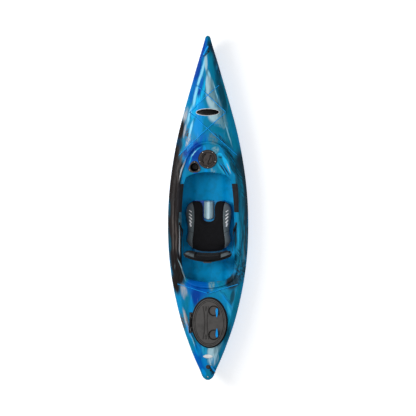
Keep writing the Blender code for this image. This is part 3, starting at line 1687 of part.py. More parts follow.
def make_seat_base(shop):
    """The moulded pedestal with its spine, hollow from below, on the hull floor."""
    front, rear, half = SEAT_BASE_FRONT, SEAT_BASE_REAR, SEAT_BASE_HALF_WIDTH
    top = SEAT_BASE_TOP

    def shell(name, inset, floor):
        sections = []
        nose = ((front - inset, 0.86), (front - inset - 0.03, 0.92))
        for y, share in nose + ((-0.2, 1.0), (rear + inset, 0.9)):
            w = half * share - inset
            t = top - inset
            sections.append(
                [
                    Vector((w + 0.02, y, floor)),
                    Vector((w, y, t - 0.012)),
                    Vector((w - 0.014, y, t)),
                    Vector((0.014 - w, y, t)),
                    Vector((-w, y, t - 0.012)),
                    Vector((-w - 0.02, y, floor)),
                ]
            )
        return closed_loft(name, sections)

    base = shop.add("seat_pedestal", shell("seat_pedestal", 0, -0.01), DECK_BLUE)
    sections = []
    crest = ((front, 0.55), (front - 0.012, 0.9), (front - 0.05, 1.0))
    for y, rise in crest + ((SPINE_REAR + 0.02, 1.0), (SPINE_REAR, 0.75)):
        row = []
        for k in range(9):
            a = math.pi * k / 8
            z = mix(top - 0.004, SPINE_TOP, rise * math.sin(a) ** 0.6)
            row.append(Vector((SPINE_HALF_WIDTH * math.cos(a), y, z)))
        sections.append(row)
    join(shop, base, "seat_spine", closed_loft("seat_spine", sections))
    cut(shop, base, "seat_hollow", shell("seat_hollow", SEAT_BASE_WALL, -0.02))
    spine_wall = SEAT_BASE_WALL * 1.3
    low_spine = []
    hollow = ((front - 0.014, 0.85), (front - 0.05, 1.0))
    for y, rise in hollow + ((SPINE_REAR + 0.022, 1.0), (SPINE_REAR + 0.007, 0.6)):
        row = []
        for k in range(9):
            a = math.pi * k / 8
            z = mix(top - 0.012, SPINE_TOP - spine_wall, rise * math.sin(a) ** 0.6)
            row.append(Vector(((SPINE_HALF_WIDTH - spine_wall) * math.cos(a), y, z)))
        low_spine.append(row)
    cut(shop, base, "spine_hollow", closed_loft("spine_hollow", low_spine))
    for side in (-1, 1):
        x = side * (BACK_KNUCKLE_HALF + RUNNING_GAP + BACK_EAR / 2)
        ear = box(
            "back_ear",
            (x - BACK_EAR / 2, BACK_PIVOT_Y - BACK_KNUCKLE_RADIUS, top - 0.002),
            (x + BACK_EAR / 2, BACK_PIVOT_Y + BACK_KNUCKLE_RADIUS, BACK_PIVOT_Z + BACK_KNUCKLE_RADIUS),
        )
        join(shop, base, "back_ear", ear)
    axis = placed((0, BACK_PIVOT_Y, BACK_PIVOT_Z), (1, 0, 0))
    bore = cylinder("back_bore", BACK_PIN_RADIUS + RUNNING_GAP, -0.2, 0.2, axis, sides=12)
    cut(shop, base, "back_bore", bore)
    fit_inside(shop, base)


def outline_distance(p, border):
    """Distance in plan from a point to a border of dense points."""
    return min((p - q).length for q in border)


def cushion_plan(rows, columns, seam_column):
    """Plan points of the cushion's starboard half, row by row, with one column on the sewn channel."""

    def curve(points, count):
        return evenly(smooth_path([(x, y, 0) for x, y in points]), count)

    inner, outer, seam = (curve(c, rows) for c in (CUSHION_INNER, CUSHION_OUTER, CUSHION_SEAM))
    front, rear = (curve(c, columns) for c in (CUSHION_FRONT, CUSHION_REAR))

    def patch(r, c):
        v, u = r / rows, c / columns
        sides = mix(inner[r], outer[r], u) + mix(front[c], rear[c], v)
        return sides - mix(mix(front[0], front[-1], u), mix(rear[0], rear[-1], u), v)

    grid = []
    for r in range(rows + 1):
        pull = seam[r] - patch(r, seam_column)
        if r in (0, rows):
            pull = Vector((0, 0, 0))
        line = []
        for c in range(columns + 1):
            share = c / seam_column if c <= seam_column else (columns - c) / (columns - seam_column)
            p = patch(r, c) + pull * share
            line.append(Vector((max(p.x, 0.0), p.y, 0)))
        grid.append(line)
    return grid


def make_cushion(shop):
    """The seat cushion: crowned, notched over the spine, with a sewn channel beside each wing."""
    rows, columns, seam_column = 12, 6, 4
    grid = cushion_plan(rows, columns, seam_column)
    border = []
    for edge in (CUSHION_INNER[:5], CUSHION_FRONT, CUSHION_OUTER, CUSHION_REAR):
        border += smooth_path([(x, y, 0) for x, y in edge])
    base = SEAT_BASE_TOP + SEAT_GAP
    middle = base + CUSHION_THICKNESS * 0.45
    top, bottom = [], []
    for r, line in enumerate(grid):
        high, low = [], []
        for c, p in enumerate(line):
            share = min(outline_distance(p, border) / CUSHION_EDGE, 1.0)
            bulge = max(math.sqrt(max(1 - (1 - share) ** 2, 0.0)), 0.25)
            on_notch = c == 0 and grid[max(r - 1, 0)][0].x > 0.0005
            if r in (0, rows) or c == columns or on_notch:
                bulge = 0.0
            crown = CUSHION_CROWN * max(0.0, 1 - (p.x / 0.2) ** 2) * bulge
            channel = CUSHION_CHANNEL * bulge if c == seam_column else 0.0
            crest = base + CUSHION_THICKNESS
            high.append(Vector((p.x, p.y, mix(middle, crest, bulge) + crown - channel)))
            low.append(Vector((p.x, p.y, mix(middle, base, min(bulge * 1.15, 1.0)))))
        top.append(high)
        bottom.append(low)
    count = columns + 1
    verts = [v for row in top for v in row] + [v for row in bottom for v in row]
    faces = grid_faces(rows + 1, count)
    faces += [tuple(reversed(f)) for f in grid_faces(rows + 1, count, start=(rows + 1) * count)]
    verts, faces = mirrored(verts, faces)
    shop.add("seat_cushion", mesh_from("seat_cushion", verts, faces), FABRIC)


def back_point(u, v, depth):
    """A point of the backrest: u across from -1 to 1, v up from 0 to 1, depth behind its front face."""
    z = mix(BACK_BOTTOM_Z, BACK_TOP_Z, v)
    rise = z - BACK_PIVOT_Z
    narrow = 1 - 0.16 * (1 - v) ** 2 - 0.10 * smoothstep(0.78, 1.0, v)
    x = u * BACK_HALF_WIDTH * narrow
    front = BACK_PIVOT_Y + 0.016 - math.tan(BACK_TILT) * rise + BACK_SWEEP * u * u
    return Vector((x, front - depth, z))


def back_slab(name, thin, thick, margin, finish, shop):
    """A slab between two depths of the backrest, with its border drawn together."""
    columns, rows = 10, 7
    front, back = [], []
    for r in range(rows + 1):
        v = mix(margin, 1 - margin, r / rows)
        line_front, line_back = [], []
        for c in range(columns + 1):
            u = mix(-1 + margin * 0.6, 1 - margin * 0.6, c / columns)
            edge = min(1 - abs(2 * c / columns - 1), 1 - abs(2 * r / rows - 1))
            bulge = min(1.0, math.sqrt(edge * 2.2)) if edge > 0 else 0.0
            middle = mix(thin, thick, 0.62)
            line_front.append(back_point(u, v, mix(middle, thin, bulge)))
            line_back.append(back_point(u, v, mix(middle, thick, bulge)))
        front.append(line_front)
        back.append(line_back)
    return shop.add(name, lens(name, front, back), finish)


def make_backrest(shop):
    """Backrest pad, its shell with the hinge knuckle, and the clip on its rear."""
    pad_back = BACK_PAD_THICKNESS
    back_slab("backrest_pad", 0.0, pad_back, 0.0, FABRIC, shop)
    shell_front = pad_back + SEAT_GAP
    shell_back = shell_front + BACK_SHELL_THICKNESS
    columns, rows = 8, 5
    front, back = [], []
    for depth, grid in ((shell_front, front), (shell_back, back)):
        for r in range(rows + 1):
            v = mix(0.04, 0.90, r / rows)
            grid.append([back_point(mix(-0.93, 0.93, c / columns), v, depth) for c in range(columns + 1)])
    border_faces = []
    count = columns + 1
    n = (rows + 1) * count
    edge = list(range(count)) + [r * count + columns for r in range(1, rows + 1)]
    edge += [rows * count + c for c in range(columns - 1, -1, -1)]
    edge += [r * count for r in range(rows - 1, 0, -1)]
    for i, j in zip(edge, edge[1:] + edge[:1]):
        border_faces.append((i, j, j + n, i + n))
    verts = [v for row in front for v in row] + [v for row in back for v in row]
    faces = grid_faces(rows + 1, count)
    faces += [tuple(reversed(f)) for f in grid_faces(rows + 1, count, start=n)]
    shell = shop.add("backrest_shell", mesh_from("backrest_shell", verts, faces + border_faces), BLACK)
    axis = placed((0, BACK_PIVOT_Y, BACK_PIVOT_Z), (1, 0, 0))
    half = BACK_KNUCKLE_HALF
    knuckle = cylinder("back_knuckle", BACK_KNUCKLE_RADIUS, -half, half, axis, sides=12)
    join(shop, shell, "back_knuckle", knuckle)
    foot_y = back_point(0, 0.10, shell_front).y
    sections = []
    for x in (-half + 0.002, half - 0.002):
        sections.append(
            [
                Vector((x, BACK_PIVOT_Y - BACK_KNUCKLE_RADIUS * 0.9, BACK_PIVOT_Z)),
                Vector((x, BACK_PIVOT_Y + BACK_KNUCKLE_RADIUS * 0.3, BACK_PIVOT_Z)),
                Vector((x, foot_y - 0.0004, BACK_BOTTOM_Z - 0.004)),
                Vector((x, foot_y - 0.0016, BACK_BOTTOM_Z + 0.045)),
                Vector((x, foot_y - 0.0085, BACK_BOTTOM_Z + 0.045)),
                Vector((x, foot_y - 0.0085, BACK_BOTTOM_Z - 0.004)),
            ]
        )
    join(shop, shell, "back_foot", closed_loft("back_foot", sections))
    reach = half + BACK_EAR + 0.003
    trunnion = cylinder("back_trunnion", BACK_PIN_RADIUS, -reach, reach, axis, sides=12)
    join(shop, shell, "back_trunnion", trunnion)
    spot = back_point(0, 0.78, shell_back + GAP * 2)
    clip = box("backrest_clip", (-0.036, spot.y - 0.012, spot.z - 0.016), (0.036, spot.y, spot.z + 0.016))
    bm = bmesh.new()
    bm.from_mesh(clip)
    bmesh.ops.bevel(bm, geom=bm.edges[:], offset=0.003, segments=2, affect="EDGES")
    bm.to_mesh(clip)
    bm.free()
    obj = shop.add("backrest_clip", clip, CHARCOAL)
    slant = math.tan(BACK_TILT)
    for v in obj.data.vertices:
        v.co.y -= (v.co.z - spot.z) * slant


def make_straps(shop, deck_tree):
    """Backrest straps with their deck anchors and buckles."""
    x, y = STRAP_ANCHOR
    top = height_on(deck_tree, x, y)
    normal = deck_tree.ray_cast(Vector((x, y, 1.0)), Vector((0, 0, -1)))[1]
    spot = placed((x, y, top), normal, (0, 1, 0))
    staple = []
    for k in range(7):
        a = math.pi * k / 6
        staple.append((math.cos(a) * 0.0085, math.sin(a) * 0.0085))
    for k in range(6, -1, -1):
        a = math.pi * k / 6
        staple.append((math.cos(a) * 0.0055, math.sin(a) * 0.0055))
    upright = spot @ Matrix.Translation((0, 0, 0.0025)) @ Matrix.Rotation(math.pi / 2, 4, "X")
    start = spot @ Vector((0, -0.0145, 0.0068))
    bend = Vector(STRAP_BEND)
    end = back_point(1, 0.5, BACK_PAD_THICKNESS * 0.62)
    end = end + Vector((STRAP_THICKNESS / 2 + SEAT_GAP, 0.002, 0))
    tilted = Vector((0.45, 0, 0.9))
    level = Vector((0, 0, 1))
    stops = [(start, Vector((0.7, 0, 0.7))), (mix(start, bend, 0.45), tilted), (bend, tilted)]
    stops += [(mix(bend, end, 0.35), level), (mix(bend, end, 0.7), level), (end, level)]
    sections = []
    for k, (p, wide) in enumerate(stops):
        before, after = stops[max(k - 1, 0)][0], stops[min(k + 1, len(stops) - 1)][0]
        d = (after - before).normalized()
        wide = (wide - d * wide.dot(d)).normalized()
        thin = wide.cross(d) * (STRAP_THICKNESS / 2)
        wide = wide * (STRAP_WIDTH / 2 * (0.55 if k == 0 else 1))
        sections.append([p - wide - thin, p - wide + thin, p + wide + thin, p + wide - thin])
    at = mix(start, bend, 0.71)
    turn = placed(at, (bend - start).normalized(), tilted)
    side = -1 if (turn.to_3x3() @ Vector((1, 0, 0))).x > 0 else 1
    low, high = sorted((-0.0036 * side, 0.0050 * side))
    half = STRAP_WIDTH / 2 + 0.0014
    for side_name in ("starboard", "port"):
        meshes = {
            "plate": box("plate", (-0.008, -0.013, SEAT_GAP), (0.008, 0.013, 0.0035), spot),
            "staple": prism("staple", staple, -0.003, 0.003, upright),
            "strap": closed_loft("strap", sections),
            "buckle": box("buckle", (low, -0.014, -0.012), (high, 0.014, 0.012), turn),
            "slot": box("buckle_slot", (-0.0022, -half, -0.05), (0.0022, half, 0.05), turn),
        }
        if side_name == "port":
            meshes = {key: port_copy(mesh) for key, mesh in meshes.items()}
        anchor = shop.add(f"strap_anchor_{side_name}", meshes["plate"], BLACK)
        join(shop, anchor, "staple", meshes["staple"])
        shop.add(f"backrest_strap_{side_name}", meshes["strap"], BLACK)
        buckle = shop.add(f"strap_buckle_{side_name}", meshes["buckle"], BLACK)
        cut(shop, buckle, "buckle_slot", meshes["slot"])


# Foot rests


def spun(name, profile, frame, sides):
    """A turned mesh from an outer profile, top to bottom, that starts and ends on the frame's Z."""
    verts = []
    for r, z in profile:
        for k in range(sides):
            a = 2 * math.pi * k / sides
            verts.append(frame @ Vector((r * math.cos(a), r * math.sin(a), z)))
    faces = grid_faces(len(profile), sides, wrap=True)
    return mesh_from(name, verts, faces)


def make_foot_rests(shop, hull, hull_tree):
    """A rail bolted inside each side of the hull, with a pedal that slides on it."""
    ends = []
    for y in (RAIL_REAR_Y, RAIL_FRONT_Y):
        ends.append(hull_tree.ray_cast(Vector((0, y, RAIL_Z)), Vector((1, 0, 0)))[0])
    direction = (ends[1] - ends[0]).normalized()
    inwards = Vector((-1, 0, 0))
    inwards = (inwards - direction * inwards.dot(direction)).normalized()
    frame = placed(ends[0] + inwards * RAIL_STAND_OFF, direction, inwards)
    length = (ends[1] - ends[0]).length
    half = RAIL_WIDTH / 2
    low, high = (length - PEDAL_LENGTH) / 2, (length + PEDAL_LENGTH) / 2
    near = RAIL_THICKNESS + RUNNING_GAP
    wall = PEDAL_CARRIAGE
    clear = half + RUNNING_GAP
    reach_in = near + wall * 0.5
    throat_half = half * 0.45
    bolts = []
    for along in (BOLT_INSET, length - BOLT_INSET):
        centre = frame @ Vector((0, RAIL_THICKNESS / 2, along))
        inner = hull_tree.ray_cast(centre, -inwards)[0]
        outer = hull_tree.ray_cast(inner - inwards * 0.0005, -inwards)[0]
        face = placed(centre, -inwards, direction)
        bolts.append((face, (inner - centre).length, (outer - centre).length))

    def for_side(side_name, mesh):
        return port_copy(mesh) if side_name == "port" else mesh

    for side_name in ("starboard", "port"):
        rail_mesh = box("rail", (-half, 0, 0), (half, RAIL_THICKNESS, length), frame)
        rail = shop.add(f"foot_rail_{side_name}", for_side(side_name, rail_mesh), CHARCOAL)
        for face, reach, outside in bolts:
            stand = cylinder("stand", RAIL_STAND_RADIUS, 0, reach + WALL * 1.5, face, sides=12)
            join(shop, rail, "stand", for_side(side_name, stand))
        for index, (face, reach, outside) in enumerate(bolts):
            head = outside + SEAT_GAP + BOLT_HEAD_THICKNESS
            depth = -RAIL_THICKNESS * 0.2
            profile = (
                (0, head + BOLT_HEAD_CROWN),
                (BOLT_HEAD_RADIUS * 0.7, head + BOLT_HEAD_CROWN * 13 / 15),
                (BOLT_HEAD_RADIUS, head),
                (BOLT_SHANK_RADIUS, head),
                (BOLT_SHANK_RADIUS, depth),
                (0, depth),
            )
            name = f"foot_rail_bolt_{side_name}_{index + 1}"
            shop.add(name, for_side(side_name, spun(name, profile, face, 8)), STEEL)
            radius = BOLT_SHANK_RADIUS + RUNNING_GAP
            for part, start in ((hull, reach - 0.002), (rail, depth - 0.0006)):
                hole = cylinder("bolt_hole", radius, start, outside + 0.01, face, sides=8)
                cut(shop, part, "bolt_hole", for_side(side_name, hole))
        fit_inside(shop, rail)
        body = box("carriage", (-clear - wall, -wall * 0.6, low), (clear + wall, near + wall, high), frame)
        pedal = shop.add(f"foot_pedal_{side_name}", for_side(side_name, body), BLACK)
        start, end = low - PEDAL_OVERRUN, high + PEDAL_OVERRUN
        channel = box("channel", (-clear, -RUNNING_GAP, start), (clear, near, end), frame)
        cut(shop, pedal, "channel", for_side(side_name, channel))
        throat = box("throat", (-throat_half, -PEDAL_PLATE * 2.5, start), (throat_half, 0, end), frame)
        cut(shop, pedal, "throat", for_side(side_name, throat))
        plate = box(
            "pedal_face",
            (-PEDAL_HEIGHT * 0.5, reach_in, low),
            (PEDAL_HEIGHT * 0.5, reach_in + PEDAL_WIDTH, low + PEDAL_PLATE),
            frame,
        )
        join(shop, pedal, "pedal_face", for_side(side_name, plate))


def build():
    """Makes every piece of the kayak."""
    clear_scene()
    shop = Shop()
    hull = make_hull(shop)
    deck = make_deck(shop)
    deck_tree = tree_of(deck)
    hull_tree = tree_of(hull)
    make_foam(shop, "bow_foam_block", BOW_FOAM, deck_tree)
    make_dash_hatch(shop, deck)
    make_cup_holder(shop, deck)
    make_knee_pads(shop, deck_rings())
    make_stern_hatch(shop, deck)
    make_drain(shop, deck, deck_tree)
    make_tip_screw(shop, deck, deck_tree)
    make_bungees(shop, deck, deck_tree)
    hook_x, hook_y = BUNGEE_HOOK
    make_cord_hook(shop, "bow_hook_port", deck, deck_tree, -hook_x, hook_y, (1, 0))
    make_cord_hook(shop, "bow_hook_starboard", deck, deck_tree, hook_x, hook_y, (-1, 0))
    make_cord_hook(shop, "stern_hook", deck, deck_tree, 0, STERN_HOOK_Y, (0, 1))
    make_handle(shop, deck, deck_tree, "bow_handle", BOW_GRIP, BOW_EYE)
    make_handle(shop, deck, deck_tree, "stern_handle", STERN_GRIP, STERN_EYE)
    make_plate(shop, "bow_plate", BOW_PLATE, BLACK)
    make_plate(shop, "stern_plate", STERN_PLATE, SILVER)
    make_seat_base(shop)
    make_cushion(shop)
    make_backrest(shop)
    make_straps(shop, deck_tree)
    make_foot_rests(shop, hull, hull_tree)


build()
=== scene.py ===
"""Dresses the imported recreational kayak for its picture.

The hull and the deck are lofted again from the boat's own lines, finely enough for a smooth
moulding, and each fitting on them is remade or gets a finish of its own. All sizes are in metres.
"""

import logging
import math
from collections.abc import Callable, Sequence
from dataclasses import dataclass, field
from enum import Enum

import bmesh
import bpy
from mathutils import Matrix, Vector
from mathutils.bvhtree import BVHTree


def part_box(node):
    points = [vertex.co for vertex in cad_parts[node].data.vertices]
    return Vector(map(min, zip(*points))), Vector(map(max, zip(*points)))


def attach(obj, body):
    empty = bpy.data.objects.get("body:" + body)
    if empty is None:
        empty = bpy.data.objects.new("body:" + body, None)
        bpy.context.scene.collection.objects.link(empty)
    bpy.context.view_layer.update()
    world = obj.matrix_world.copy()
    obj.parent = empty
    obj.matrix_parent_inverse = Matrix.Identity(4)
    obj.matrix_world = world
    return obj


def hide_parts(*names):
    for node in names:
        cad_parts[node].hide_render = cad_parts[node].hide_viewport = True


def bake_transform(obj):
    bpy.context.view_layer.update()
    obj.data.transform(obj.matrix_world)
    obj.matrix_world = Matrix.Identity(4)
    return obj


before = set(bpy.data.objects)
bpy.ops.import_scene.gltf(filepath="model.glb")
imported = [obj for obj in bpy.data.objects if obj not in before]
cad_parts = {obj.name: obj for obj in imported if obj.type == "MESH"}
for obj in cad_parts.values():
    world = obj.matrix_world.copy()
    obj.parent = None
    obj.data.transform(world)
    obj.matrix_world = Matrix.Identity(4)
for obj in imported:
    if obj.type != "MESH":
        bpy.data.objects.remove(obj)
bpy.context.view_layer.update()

logging.basicConfig(level=logging.INFO, format="%(message)s")
log = logging.getLogger("kayak")

Mesh = bpy.types.Mesh
Object = bpy.types.Object
Socket = bpy.types.NodeSocket
Material = bpy.types.Material
Points = list[Vector]
Grid = list[Points]
Profile = Sequence[Sequence[float]]
Colour = tuple[float, float, float]
SIDES = ((1, "starboard"), (-1, "port"))


# Colours


def linear(code: int) -> Colour:
    """Linear colour of a 24-bit screen colour."""
    parts = ((code >> shift & 255) / 255 for shift in (16, 8, 0))
    return tuple(c / 12.92 if c <= 0.04045 else ((c + 0.055) / 1.055) ** 2.4 for c in parts)


class Shade(Enum):
    """The colours that run through the marbled deck; some of them also paint highlight lines along ridges."""

    DEEP_BLUE = 0x00409C
    ROYAL = 0x0060BA
    NAVY_BLUE = 0x013E8A
    NAVY = 0x06304A
    AZURE = 0x008ED8
    CYAN = 0x16B6F0
    CYAN_SOFT = 0x22A4D2
    PALE_CYAN = 0x8AD6F2
    PALE_GREY = 0xA6CBD8
    GREY_BLUE = 0x6F9FAE
    SLATE = 0x57808F
    SILVER = 0xA9AFB6
    TEAL = 0x057C9F
    BASE_BLUE = 0x0886BE
    TEAL_DARK = 0x0A4C62
    CHARCOAL_BLUE = 0x1B3644
    BROWN_BLACK = 0x1F1B1B
    BROWN_GREY = 0x4E4745


class Grain(Enum):
    """How the colour of one streak is broken up."""

    SOFT = 0
    STREAKED = 1
    SLANTED = 2
    MOTTLED = 3


@dataclass(frozen=True)
class Streak:
    """A soft oval of colour in the marbling, or a thin line of painted highlight: place, half-sizes, lean to
    starboard in degrees, soft share.
    """

    shade: Shade
    place: tuple[float, float]
    size: tuple[float, float]
    lean: float
    edge: float
    grain: Grain


SOFT, STREAKED, SLANTED, MOTTLED = Grain

